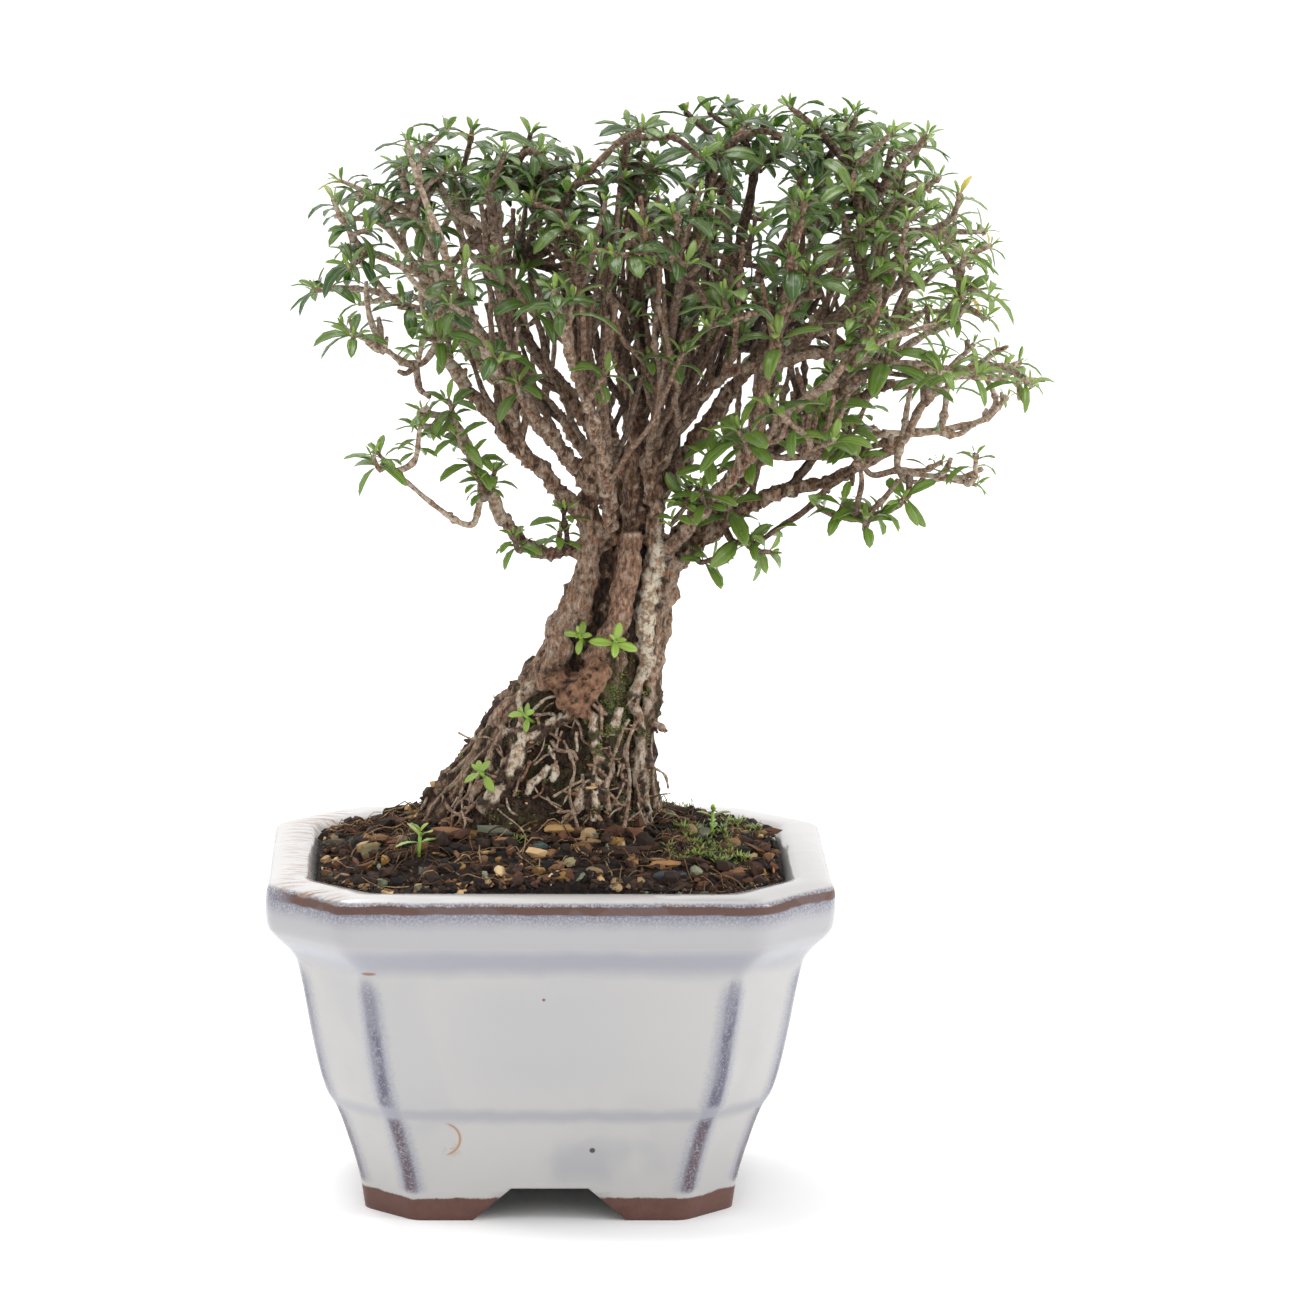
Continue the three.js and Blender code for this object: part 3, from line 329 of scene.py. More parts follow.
# Limbs: name, the route point at which the leafy branch begins, radii and route.
LIMBS = [
    ("left_low", 2, (2, 1.1), [
        (8, -4, 150), (-4, -8, 151), (-11, -11, 159), (-16, -13, 168), (-19, -14, 176),
        (-23, -16, 182), (-30, -19, 185),
    ]),
    ("left_long", 4, (2.4, 1.1), [
        (15, -3, 152), (5, -8, 162), (-1, -9, 168), (-11, -9, 179), (-20, -7, 189),
        (-26, -5, 199), (-26, -6, 212), (-31, -9, 226), (-35, -10, 240),
    ]),
    ("left_mid", 3, (2.1, 1.1), [
        (17, 0, 168), (4.8, 4, 184), (-2.7, 6, 194), (-9, 8, 204), (-15, 8, 217), (-20, 7, 226),
        (-24, 8, 240),
    ]),
    ("left_rear", 3, (1.8, 1), [
        (12, 6, 166), (4, 12, 177), (-5, 17, 184), (-17, 21, 190), (-25, 25, 201),
        (-34, 27, 216), (-41, 27, 229),
    ]),
    ("left_front", 2, (1.7, 0.9), [
        (6, -7, 170), (-3, -17, 183), (-12, -26, 195), (-20, -33, 209), (-24, -38, 221),
        (-28, -38, 232),
    ]),
    ("left_upright", 2, (1.6, 0.9), [
        (-6, -9, 173), (-10, -14, 187), (-11, -19, 201), (-12, -24, 215), (-15, -26, 237),
    ]),
    ("left_back", 3, (2, 1), [
        (13, 8, 158), (4, 20, 168), (-6, 30, 178), (-15, 38, 189), (-24, 44, 201),
        (-29, 46, 223),
    ]),
    ("centre_front", 2, (1.7, 0.9), [
        (10, -6, 168), (9, -10, 182), (7, -14, 198), (6, -18, 212), (3, -23, 236),
    ]),
    ("centre_up", 2, (2, 1), [
        (19, 1, 176), (16, -1, 192), (13, -3, 204), (14, -4, 218), (17, -4, 245),
    ]),
    ("centre_back", 2, (1.9, 1), [
        (20, 3, 174), (21, 9, 190), (20, 15, 204), (20, 19, 218), (24, 21, 238),
    ]),
    ("middle_front", 2, (1.8, 0.9), [
        (22, -4, 168), (25, -12, 185), (26, -19, 200), (29, -27, 216), (33, -34, 233),
    ]),
    ("back_left", 2, (2.1, 1), [
        (16, 12, 164), (13, 26, 178), (9, 38, 191), (4, 47, 206), (3, 50, 226),
    ]),
    ("back_right", 2, (2.1, 1), [
        (23, 10, 160), (30, 26, 176), (36, 40, 190), (41, 48, 206), (43, 50, 228),
    ]),
    ("low_front", 3, (2, 0.9), [
        (14, -7, 156), (12, -20, 172), (8, -33, 188), (3, -44, 202), (0, -50, 217),
    ]),
    ("right_low", 5, (2.6, 0.9), [
        (24, -1, 140), (29, -1, 147), (38, -2, 154.5), (50, -4, 163), (61, -6, 166),
        (72, -8, 171), (81, -9, 177.5), (86, -9, 186), (92, -9, 190),
    ]),
    ("right_mid", 5, (2.4, 0.9), [
        (27, 3, 146), (38, 5, 156), (45, 7, 165), (56, 8, 177), (68, 7, 183), (80, 5, 188),
        (92, 4, 190), (106, 3, 190),
    ]),
    ("right_front_high", 3, (1.6, 0.9), [
        (24, -5, 168), (31, -10, 183), (40, -14, 193), (51, -19, 196), (63, -23, 199),
        (76, -25, 197), (88, -26, 198),
    ]),
    ("right_rear_mid", 2, (1.4, 0.8), [
        (56, 8, 177), (66, 14, 177), (79, 21, 174), (92, 25, 174), (103, 27, 177),
        (108, 27, 182),
    ]),
    ("right_long", 5, (2.4, 1), [
        (24, 3, 160), (35, 4, 177), (45, 4, 191), (54, 3, 202), (58, 2, 211), (64, 1, 219),
        (71, 0, 225), (76, -2, 234), (86, -3, 247),
    ]),
    ("right_front_up", 2, (1.5, 0.8), [
        (46, 3, 192), (56, -10, 200), (63, -18, 206), (71, -24, 213), (74, -27, 225),
    ]),
    ("right_rear_up", 2, (1.5, 0.8), [
        (50, 4, 197), (61, 13, 200), (72, 19, 201), (82, 23, 209), (94, 22, 214),
    ]),
    ("right_tip", 2, (1.4, 0.8), [
        (60, 8, 179.5), (66, -4, 187), (75, -10, 194), (86, -13, 203), (94, -14, 209),
    ]),
    ("back_far_right", 3, (2, 0.9), [
        (26, 8, 148), (39, 21, 160), (52, 33, 171), (64, 41, 181), (77, 45, 191), (86, 44, 206),
    ]),
    ("front_far_right", 3, (1.9, 0.9), [
        (27, -4, 150), (36, -16, 163), (45, -28, 176), (54, -37, 188), (65, -43, 199),
        (73, -43, 211),
    ]),
    ("top_middle", 3, (2, 1), [
        (25, 6, 172), (33, 9, 188), (40, 11, 203), (44, 11, 220), (49, 9, 250),
    ]),
    ("top_left", 2, (1.7, 0.9), [
        (26, -2, 170), (29, -3, 188), (31, -5, 206), (33, -7, 221), (38, -8, 244),
    ]),
    ("top_rear", 1, (1.5, 0.9), [
        (38, 11, 200), (49, 20, 212), (59, 27, 224), (68, 30, 244),
    ]),
    ("back_high", 1, (1.5, 0.9), [
        (45, 27, 166), (53, 38, 182), (58, 46, 198), (62, 48, 214), (64, 47, 230),
    ]),
    ("front_high", 1, (1.5, 0.9), [
        (42, -24, 172), (47, -34, 188), (50, -40, 205), (53, -42, 222), (56, -40, 236),
    ]),
    ("right_shoulder", 1, (1.5, 0.9), [
        (58, 2, 211), (67, 9, 219), (77, 12, 226), (90, 11, 236),
    ]),
]
# Twigs that the photo shows: their limb, radii and route.
TWIGS = [
    ("left_low", (0.9, 0.6), [
        (-10, -11, 157), (-18, -14, 158), (-26, -16, 162), (-33, -17, 168), (-40, -16, 175),
    ]),
    ("left_long", (0.9, 0.6), [
        (-26, -6, 210), (-20, -5, 221), (-14, -4, 228), (-11, -3, 240),
    ]),
    ("left_long", (0.9, 0.6), [
        (-24, -6, 196), (-31, -8, 194), (-39, -9, 198), (-48, -9, 203),
    ]),
    ("left_long", (0.9, 0.6), [
        (-29, -8, 218), (-38, -12, 219), (-47, -13, 221),
    ]),
    ("left_long", (0.8, 0.6), [
        (-32, -9, 229), (-42, -5, 233), (-49, -3, 236),
    ]),
    ("left_mid", (0.9, 0.6), [
        (-9, 8, 204), (-7, 7, 216), (-4, 6, 228), (-2, 5, 241),
    ]),
    ("right_low", (1, 0.6), [
        (70, -8, 170), (80, -11, 170.5), (89, -12, 169), (98, -12, 167),
    ]),
    ("right_low", (0.9, 0.6), [
        (54, -5, 164), (61, -10, 163), (69, -13, 159), (76, -14, 161),
    ]),
    ("right_low", (0.9, 0.6), [
        (61, -6, 166), (62, -8, 173), (64, -9, 181),
    ]),
    ("right_long", (1, 0.6), [
        (66, 1, 221), (69, -3, 236), (67, -5, 251),
    ]),
]
# The crown's outline from the front, as (across, height).
CROWN_TOP = [
    (-56, 208), (-48, 236), (-36, 246), (-22, 250), (-5, 249), (8, 243), (20, 252), (35, 255),
    (50, 253), (70, 256), (84, 250), (93, 240), (103, 222), (111, 205), (118, 192),
]
CROWN_UNDERSIDE = [
    (-56, 199), (-40, 180), (-28, 178), (-15, 196), (10, 204), (40, 196), (60, 176), (76, 164),
    (96, 164), (118, 184),
]

UP = np.array([0, 0, 1.0])
CROWN_MIDDLE = 30
CROWN_HALF_WIDTH = 92
CROWN_HALF_DEPTH = 58
CROWN_SHOULDER = 0.8
LIMB_STEP = 14
TWIG_STEP = 11
TWIG_RADII = (0.9, 0.75)
TWIG_REACH = (6, 46)
TWIG_ROOM = 0.9  # least clear space round a seeded twig
CROWN_BOX = ((-56, 118), (-58, 58), (160, 256))  # across, away and up, for the throws
SURFACE_LEVEL = 0.72  # from this level up, every throw is tried
INNER_LEVEL = 0.66  # below this level the crown is more open
THIN_BELOW = 12  # throws with a closer spacing are for twigs that only this script draws
AIRY_FROM = (34, 68)  # distance from the crown's middle over which it grows airy
TWIG_ENDS = (-48, 106)  # the finer twigs end between these
BARE_SIDE = 52  # to the right of this, few of the finer tufts grow low in the crown
FIRST_THROWS = {"tries": 4000, "limit": 50, "spacing": 15}
FINE_THROWS = {"tries": 12000, "limit": 78, "spacing": 7.8, "inside": 0.12}
FAR_AWAY = 75  # wood farther than this from a twig's foot is left out of its clearance
LEAF_LENGTH = 11.5


class Stick:
    """A run of wood through joints, whose first bare pieces belong to the trunk."""

    def __init__(self, points, radii, node, bare):
        self.points = np.asarray(points, float)
        self.radii = np.linspace(radii[0], radii[1], len(points))
        self.node = node
        self.bare = bare
        self.in_front = False


class Wood:
    """Every stick of the tree, and its straight pieces for the clearance of new ones."""

    def __init__(self):
        self.sticks = []
        self.starts = np.zeros((0, 3))
        self.ends = np.zeros((0, 3))
        self.radii = np.zeros(0)
        self.owners = np.zeros(0, dtype="U32")
        self.joints = np.zeros((0, 3))
        self.headings = np.zeros((0, 3))
        self.places = []
        self.far_side = math.inf  # no new twig passes this on the right

    def add(self, points, radii, node, bare):
        stick = Stick(points, radii, node, bare)
        self.sticks.append(stick)
        pieces = len(stick.points) - 1
        owners = ["trunk" if i < bare else node for i in range(pieces)]
        self.starts = np.concatenate([self.starts, stick.points[:-1]])
        self.ends = np.concatenate([self.ends, stick.points[1:]])
        self.radii = np.concatenate([self.radii, stick.radii[:-1]])
        self.owners = np.concatenate([self.owners, np.array(owners, dtype="U32")])
        if node != "trunk":
            self.add_joints(stick)
        return stick

    def add_joints(self, stick):
        """Keeps the joints that a new twig may grow from, with the way the wood runs into each."""
        inner = range(max(1, stick.bare + 1), len(stick.points) - 1)
        if not inner:
            return
        headings = [unit(stick.points[i] - stick.points[i - 1]) for i in inner]
        self.joints = np.concatenate([self.joints, stick.points[list(inner)]])
        self.headings = np.concatenate([self.headings, headings])
        self.places += [(stick, i) for i in inner]

    def clearance(self, points, node):
        """The clear space from a run of points to all wood of other nodes."""
        close = np.linalg.norm(self.starts - points[0], axis=1) <= FAR_AWAY
        keep = close & (self.owners != node)
        starts, ends, radii = self.starts[keep], self.ends[keep], self.radii[keep]
        gaps = [
            (piece_distances(points[k], points[k + 1], starts, ends) - radii).min(initial=1e9)
            for k in range(len(points) - 1)
        ]
        return min(gaps)


def piece_distances(p1, q1, p2, q2):
    """The shortest distances between one straight piece and many."""
    d1, d2, r = q1 - p1, q2 - p2, p1 - p2
    a, e, b = d1 @ d1, (d2 * d2).sum(1), d2 @ d1
    c, f = r @ d1, (d2 * r).sum(1)
    lower = a * e - b * b
    s = np.where(lower > 1e-9, np.clip((b * f - c * e) / np.where(lower > 1e-9, lower, 1), 0, 1), 0)
    t = (b * s + f) / e
    s = np.where(t < 0, np.clip(-c / a, 0, 1), np.where(t > 1, np.clip((b - c) / a, 0, 1), s))
    t = np.clip(t, 0, 1)
    return np.linalg.norm(p1 + d1 * s[:, None] - p2 - d2 * t[:, None], axis=1)


class Whorl:
    """A tuft of leaves at the end of a twig."""

    def __init__(self, at, axis, node, stick, big=1.0, fresh=0.0, lift=1.7):
        self.at = np.asarray(at, float)
        self.axis = axis
        self.node = node
        self.stick = stick
        self.big = big
        self.fresh = fresh
        self.lift = lift


wood = Wood()
whorls = []
draw = stream(SEED)


def lay_out_limbs():
    """The stems, limbs and twigs that are given, with a whorl at each end."""
    for radii, route in STEMS:
        points = smooth(route, LIMB_STEP)
        wood.add(points, radii, "trunk", len(points) - 1)
    for name, bare, radii, route in LIMBS:
        points = smooth(route, LIMB_STEP)
        cut = int(np.argmin(np.linalg.norm(points - np.array(route[bare], float), axis=1)))
        wood.add(points, radii, name, cut)
    for on, radii, route in TWIGS:
        limb = next(s for s in wood.sticks if s.node == on)
        grown = limb.points[limb.bare + 1 :]
        away = np.linalg.norm(grown - np.array(route[0], float), axis=1)
        near = grown[len(away) - 1 - int(np.argmin(away[::-1]))]
        wood.add(smooth([near, *route[1:]], TWIG_STEP), radii, on, 0)
    for stick in wood.sticks:
        if stick.node != "trunk":
            way = unit(stick.points[-1] - stick.points[-2])
            whorls.append(Whorl(stick.points[-1], way, stick.node, stick))


def crown_level(point):
    """How far up the leafy crown a point is: 0 at its underside, 1 on its top, -1 outside."""
    x, y, z = point
    across = (x - CROWN_MIDDLE) / CROWN_HALF_WIDTH
    depth = CROWN_HALF_DEPTH * math.sqrt(max(0, 1 - across * across))
    if abs(y) >= depth:
        return -1
    rounded = math.sqrt(max(0, 1 - (y / (depth + 1e-6)) ** 2))
    low = along(CROWN_UNDERSIDE, x)
    top = along(CROWN_TOP, x) - low
    return (z - low) / (top * (1 - CROWN_SHOULDER + CROWN_SHOULDER * rounded))


def airy(x):
    """How airy the crown is across: 0 in its middle, 1 at its two ends."""
    return float(smoothstep(np.array(abs(x - CROWN_MIDDLE)), *AIRY_FROM))


def reach_for(target, reach=TWIG_REACH):
    """The five best joints on the leafy limbs for a twig to a target."""
    ways = target - wood.joints
    distances = np.linalg.norm(ways, axis=1)
    turns = (wood.headings * ways).sum(1) / distances
    costs = distances * (1.7 - 0.7 * turns) + np.maximum(0, -ways[:, 2])
    costs[(distances < reach[0]) | (distances > reach[1])] = np.inf
    order = np.argsort(costs, kind="stable")[:5]
    return [(*wood.places[k], wood.headings[k], distances[k]) for k in order if costs[k] < np.inf]


def grow_twig(target, chance, reach=TWIG_REACH, big=1.0):
    """A bent twig with a whorl at the target, from the best joint that leaves it room."""
    bends = [next(chance), next(chance), next(chance)]
    for stick, i, heading, distance in reach_for(target, reach):
        start = stick.points[i]
        pull = start + heading * distance * 0.45
        count = max(2, nearest_whole(distance / TWIG_STEP))
        points = [start]
        for k in range(1, count + 1):
            t = k / count
            point = mix(mix(start, pull, t), mix(pull, target, t), t)
            bend = 0.08 * distance if k < count else 0
            points.append(point + np.array([(bends[(c + k) % 3] - 0.5) * bend for c in range(3)]))
        if max(point[0] for point in points) > wood.far_side:
            continue
        if wood.clearance(points, stick.node) < TWIG_RADII[0] + TWIG_ROOM:
            continue
        grown = wood.add(points, TWIG_RADII, stick.node, 0)
        whorls.append(Whorl(target, unit(target - points[count - 1]), stick.node, grown, big))
        return True
    return False


def throw_whorls(chance, tries, limit, spacing, inside=0.5):
    """Whorls thrown one by one into the crown, thickest near its surface."""
    grown, fine = 0, spacing < THIN_BELOW
    for _ in range(tries):
        if grown >= limit:
            return
        target = np.array([mix(*ends, next(chance)) for ends in CROWN_BOX])
        keep = next(chance)
        level = crown_level(target)
        if level < 0 or level > 1:
            continue
        if keep > (1 if level > SURFACE_LEVEL else inside if level > 0.4 else 0.25):
            continue
        if fine and next(chance) < airy(target[0]) * (0.3 if level > INNER_LEVEL else 1):
            continue
        if fine and target[0] > BARE_SIDE and level < 0.62 and keep > 0.14:
            continue
        if fine and target[0] > TWIG_ENDS[1]:
            continue
        room = spacing * (1.5 if fine and level < INNER_LEVEL else 1)
        if any(np.linalg.norm(w.at - target) < room for w in whorls):
            continue
        grown += grow_twig(target, chance)


# ---------- finer tufts than the solids carry ----------
# Tufts that show against the light or hang in front: across, height as seen, and leaf size.
SHOWN_TUFTS = [
    (-50, 233, 1), (-44, 234, 1), (-42, 226, 1), (-45, 221, 1), (-35, 241, 1), (-33, 245, 1),
    (-29, 246, 1), (-24, 248, 1), (-24, 240, 1), (-27, 236, 1), (-21, 240, 1), (-14, 240, 1),
    (-11, 243, 1), (-5, 249, 1), (-3, 244, 1), (-6, 239, 1), (1, 236, 1), (-1, 231, 1),
    (6, 238, 1), (17, 250, 1), (18, 245, 1), (16, 238, 1), (20, 248, 1), (26, 247, 1),
    (30, 254, 1), (36, 255, 1), (41, 257, 1), (45, 252, 1), (49, 253, 1), (55, 247, 1),
    (60, 250, 1), (66, 249, 1), (68, 252, 1), (70, 255, 1), (76, 247, 1), (80, 228, 1),
    (84, 234, 1), (86, 248, 1), (88, 223, 1), (93, 224, 1), (100, 223, 1), (97, 219, 1),
    (95, 213, 1), (92, 210, 1), (99, 206, 1), (104, 200, 1), (97, 201, 1), (103, 195, 1),
    (107, 196, 1), (108, 190, 1), (106, 187, 1), (40, 178, 1.5), (60, 181, 1.15),
    (38, 208, 1.35), (77, 195, 1.3), (57, 213, 1.2), (4, 207, 1.3), (27, 158, 0.7),
    (30, 163, 0.8), (36, 165, 1), (32, 168, 0.8), (46, 153, 1), (-30, 181, 0.8),
]
SEEN_TILT = 0.188  # rise of a point's height as seen, for each millimetre away
SHOWN_TOP = 253
DEPTH_TRIES = (-30, -18, -8, 4, -36, 16, 28)


def grow_shown_tufts(chance):
    """A twig to each shown tuft, at the first depth where one has room."""
    for x, seen, big in SHOWN_TUFTS:
        first = int(next(chance) * 4)
        for k in range(len(DEPTH_TRIES)):
            y = DEPTH_TRIES[(first + k) % len(DEPTH_TRIES)]
            target = np.array([x, y, seen - SEEN_TILT * y - 3])
            if target[2] > SHOWN_TOP or min(np.linalg.norm(w.at - target) for w in whorls) < 6:
                continue
            if grow_twig(target, chance, (4, 34 if seen > 215 else 52), big):
                break


# ---------- bare twigs inside the crown ----------
BARE_TWIGS, INNER_TWIGS = 230, 170
LEAFY_FROM = 0.6  # from this level up, limbs have no dead stubs and more bare twigs end in a tuft
BARE_RADII = (0.85, 0.5)
BARE_GAP = 0.9  # least clear space round a bare twig
SHORT_BEYOND = 45  # bare twigs that start farther from the crown's middle are shorter
INNER_BEYOND = 52  # inner twigs end no farther from it
INNER_FROM = 154  # lowest height at which an inner twig starts


class BareTwig:
    """A twig with a small tuft of the given size at its end, or with none for 0."""

    def __init__(self, points, node, tufted, in_front=False):
        self.in_front = in_front
        self.points = points
        self.node = node
        self.tufted = tufted


def grow_bare_twigs(chance):
    """Fine knobbly twigs that fill the inside of the crown, some of them with a small tuft."""
    found = []
    limbs = [s for s in wood.sticks if s.node != "trunk" and len(s.points) > 3]
    for _ in range(BARE_TWIGS * 3):
        if len(found) >= BARE_TWIGS:
            break
        limb = limbs[int(next(chance) * len(limbs))]
        i = 1 + int(next(chance) * (len(limb.points) - 2))
        start, heading = limb.points[i], unit(limb.points[i] - limb.points[i - 1])
        aside = jitter(chance) * 2.2
        way = unit(heading + aside + 0.5 * UP)
        length = mix(9, 30, next(chance) ** 1.3) * (1.35 if i <= limb.bare else 1)
        if abs(start[0] - CROWN_MIDDLE) > SHORT_BEYOND:
            length *= 0.6
        bend = unit(way + 0.7 * UP + 0.5 * jitter(chance))
        middle = start + way * length * 0.5
        points = np.array([start, middle, middle + bend * length * 0.5])
        tufted = mix(0.5, 0.8, next(chance)) * (next(chance) < 0.1)
        level = crown_level(points[-1])
        if not 0.02 < level < 0.92 or next(chance) < 0.6 * airy(start[0]):
            continue
        if level > LEAFY_FROM and next(chance) < 0.4:
            tufted = max(tufted, 0.7)
        if not TWIG_ENDS[0] < points[-1][0] < TWIG_ENDS[1]:
            continue
        if wood.clearance(points, limb.node) > BARE_GAP:
            found.append(BareTwig(points, limb.node, tufted))
    return found


def grow_inner_twigs(chance):
    """Twigs that rise from the bare limbs and make the crown's dark inside."""
    found = []
    limbs = [s for s in wood.sticks if s.bare > 1 and s.node != "trunk"]
    for _ in range(INNER_TWIGS * 4):
        if len(found) >= INNER_TWIGS:
            break
        limb = limbs[int(next(chance) * len(limbs))]
        i = 1 + int(next(chance) * limb.bare)
        start = mix(limb.points[i], limb.points[i - 1], next(chance))
        heading = unit(limb.points[i] - limb.points[i - 1])
        aside = jitter(chance) * 1.6
        way = unit(heading + aside + 0.6 * UP)
        length = mix(12, 44, next(chance))
        bend = unit(way + 0.8 * UP + 0.6 * jitter(chance))
        middle = start + way * length * 0.5
        end = middle + bend * length * 0.5
        kink = jitter(chance) * 2.4
        points = np.array([start, mix(start, middle, 0.5) + kink, middle, end])
        tufted = mix(0.5, 0.8, next(chance)) * (next(chance) < 0.12)
        if start[2] < INNER_FROM or not -0.12 < crown_level(end) < 0.8:
            continue
        if abs(end[0] - CROWN_MIDDLE) > INNER_BEYOND:
            continue
        found.append(BareTwig(points, limb.node, tufted))
    return found


# Tufts on the bare limbs' sides: across, height as seen, and leaf size.
LOW_TUFTS = [
    (42, 177, 1.5), (36, 171, 1.0), (61, 182, 1.25), (68, 178, 1.0), (34, 164, 0.95), (41, 161, 1.1),
    (46, 152, 1.1), (51, 149, 0.9), (38, 148, 0.8), (-9, 153, 0.7), (3, 159, 0.8), (2, 154, 0.7),
    (-30, 178, 0.8), (-24, 184, 0.9), (-22, 176, 0.9), (-18, 172, 0.9), (-13, 168, 0.8), (-17, 166, 0.7),
    (-41, 171, 0.9), (67, 161, 0.9), (72, 157, 0.9), (80, 161, 0.8), (97, 172, 0.8), (86, 190, 1.2),
    (76, 195, 1.3), (57, 213, 1.2), (38, 207, 1.4), (4, 206, 1.3), (12, 190, 0.9), (26, 196, 0.9),
    (-8, 188, 0.9), (50, 198, 1.1), (20, 222, 1.1), (45, 222, 1.2), (-20, 214, 1.1), (64, 232, 1.1),
]
LOW_TUFT_FRONT = -46  # the tufts reach no farther to the front


def grow_low_tufts(chance):
    """Short twigs that start from the limb seen nearest to each place, and reach to the front."""
    runs = [(smooth(s.points, 3.0), s) for s in wood.sticks if s.node != "trunk"]
    found = []
    for x, seen, big in LOW_TUFTS:
        best, least = None, 1e9
        for run, stick in runs:
            away = np.hypot(run[:, 0] - x, run[:, 2] + SEEN_TILT * run[:, 1] - seen + 5)
            away = away + 0.12 * np.maximum(run[:, 1] + 30, 0)
            k = int(np.argmin(away))
            if away[k] < least and k < len(run) - 1:
                best, least = (run[k], stick.node), away[k]
        start, node = best
        y = max(start[1] - mix(4, 8, next(chance)), LOW_TUFT_FRONT)
        end = np.array([x, y, seen - SEEN_TILT * y])
        bulge = np.array([next(chance) - 0.5, next(chance) - 0.5, -0.8]) * 3
        found.append(BareTwig(np.array([start, mix(start, end, 0.5) + bulge, end]), node, big, True))
    return found


# ---------- leaves ----------
LEAF_AT = np.array([0, 0.16, 0.4, 0.66, 0.88, 1.0])
LEAF_SHAPE = np.array([0.12, 0.42, 0.92, 1.0, 0.62, 0.03])
LEAF_ACROSS = np.array([-1, -0.5, 0, 0.5, 1])
LEAF_SIDES = 6
LEAF_FACES = ring_faces(len(LEAF_AT), LEAF_SIDES)
BLADE_THICK = 0.22
LEAF_SHARE = 0.78  # size of the finer leaves over the solids' leaves


def painted_leaf_light(foot):
    """Painted light on the leaves: how much lighter than the rest a leaf is, lighter low down and right,
    darker left and high.
    """
    right = 0.6 * smoothstep(foot[0], 50, 90) - 0.15 * smoothstep(-foot[0], -15, 25)
    return float(right + 0.8 * smoothstep(-foot[2], -215, -180) - 0.15 * smoothstep(foot[2], 215, 235))


def add_leaf(pile, foot, out, axis, length, width, start, bend, chance, youth=0.0):
    """An arched pointed leaf, folded a little along its midrib, with its values for colour."""
    # Each leaf's tone is its own random tone plus the painted light of its place.
    tone, fold = clamp(next(chance) + painted_leaf_light(foot), 0, 1), mix(0.15, 0.45, next(chance))
    sag, twist = mix(0.0, 0.22, next(chance)), mix(-0.35, 0.35, next(chance))
    turned = unit(out + 0.18 * (next(chance) - 0.5) * np.cross(axis, out))
    side0 = unit(np.cross(axis, turned))
    angles = start - bend * LEAF_AT**1.15
    ways = np.cos(angles)[:, None] * turned + np.sin(angles)[:, None] * axis
    ways[:, 2] -= sag * LEAF_AT
    ways /= np.linalg.norm(ways, axis=1)[:, None]
    steps = np.diff(LEAF_AT, prepend=0)[:, None] * length
    middle = foot + np.cumsum(ways * steps, axis=0)
    lifts = np.cross(ways, side0)
    roll = twist * LEAF_AT
    sides = np.cos(roll)[:, None] * side0 + np.sin(roll)[:, None] * lifts
    lifts = np.cross(ways, sides)
    half = (width / 2 * LEAF_SHAPE)[:, None]
    rings = np.zeros((len(LEAF_AT), LEAF_SIDES, 3))
    for column, share in enumerate(LEAF_ACROSS):
        rise = fold * abs(share) ** 1.4 - 0.12 * abs(share) ** 4
        rings[:, column] = middle + sides * half * share + lifts * half * rise
    rings[:, 5] = middle - lifts * np.minimum(BLADE_THICK, half * 0.4)
    rings = rings[:, ::-1]
    across = np.tile(np.append(LEAF_ACROSS, 0)[::-1], len(LEAF_AT))
    under = np.tile([1.0, 0, 0, 0, 0, 0], len(LEAF_AT))
    lengthwise = np.repeat(LEAF_AT, LEAF_SIDES)
    blade = np.stack([across, lengthwise, under], 1)
    look = np.array([tone, youth, next(chance)])
    pile.add(rings.reshape(-1, 3), LEAF_FACES, blade=blade, look=np.tile(look, (len(across), 1)))


# The crossed pairs of a whorl: distance back from the tip, start angle above the level across
# the twig, bend over the length, size, and youth.
WHORL_PAIRS = [
    (8.8, 0.2, 0.9, 0.78, 0.0),
    (6.0, 0.35, 1.05, 1.0, 0.0),
    (3.8, 0.5, 1.2, 1.12, 0.0),
    (1.9, 0.75, 1.2, 0.98, 0.1),
    (0.7, 1.15, 0.75, 0.62, 0.45),
    (0.1, 1.42, 0.4, 0.34, 1.0),
]
LEFT_OUT = (0.75, 0.4, 0)  # how often each of the three oldest pairs is missing


def add_whorl(pile, whorl, turn, vary, chance):
    """Crossed pairs of leaves round a twig's end; whorls inside the crown carry fewer."""
    points = whorl.stick.points
    axis = unit(whorl.axis + whorl.lift * UP)
    across, other = crosswise(axis, [0.3, 1, 0.1])
    run = np.linalg.norm(points[-1] - points[-2])
    end = airy(whorl.at[0])
    low = float(smoothstep(-whorl.at[2], -205, -175))
    fresh = max(whorl.fresh, (0.36 if whorl.at[0] > CROWN_MIDDLE else 0.04) * end, 0.36 * low)
    big = whorl.big * vary * (1 - 0.2 * float(smoothstep(whorl.at[0], 98, 108)))
    inner = crown_level(whorl.at) < INNER_LEVEL and not whorl.stick.in_front
    right = end if whorl.at[0] > CROWN_MIDDLE else 0.5 * end
    for level, (back, start, bend, scale, youth) in enumerate(WHORL_PAIRS):
        if level < 3 and next(chance) < LEFT_OUT[level] + 0.25 * end * (level < 2) + 0.35 * inner:
            continue
        angle = turn + level * math.pi / 2 + 0.25 * (next(chance) - 0.5)
        out = turned_from(across, other, angle)
        foot = whorl.at - whorl.axis * min(back, run * 0.8)
        for way in (out, -out):
            size = LEAF_LENGTH * LEAF_SHARE * scale * big * mix(0.78, 1.16, next(chance))
            width = size * mix(0.29, 0.39, next(chance)) * (1 - 0.4 * right)
            tilt = start + 0.3 * (next(chance) - 0.5)
            curl = bend * mix(0.6, 1.3, next(chance))
            young = min(1, youth + fresh)
            add_leaf(pile, foot + way * 0.4, way, axis, size, width, tilt, curl, chance, young)


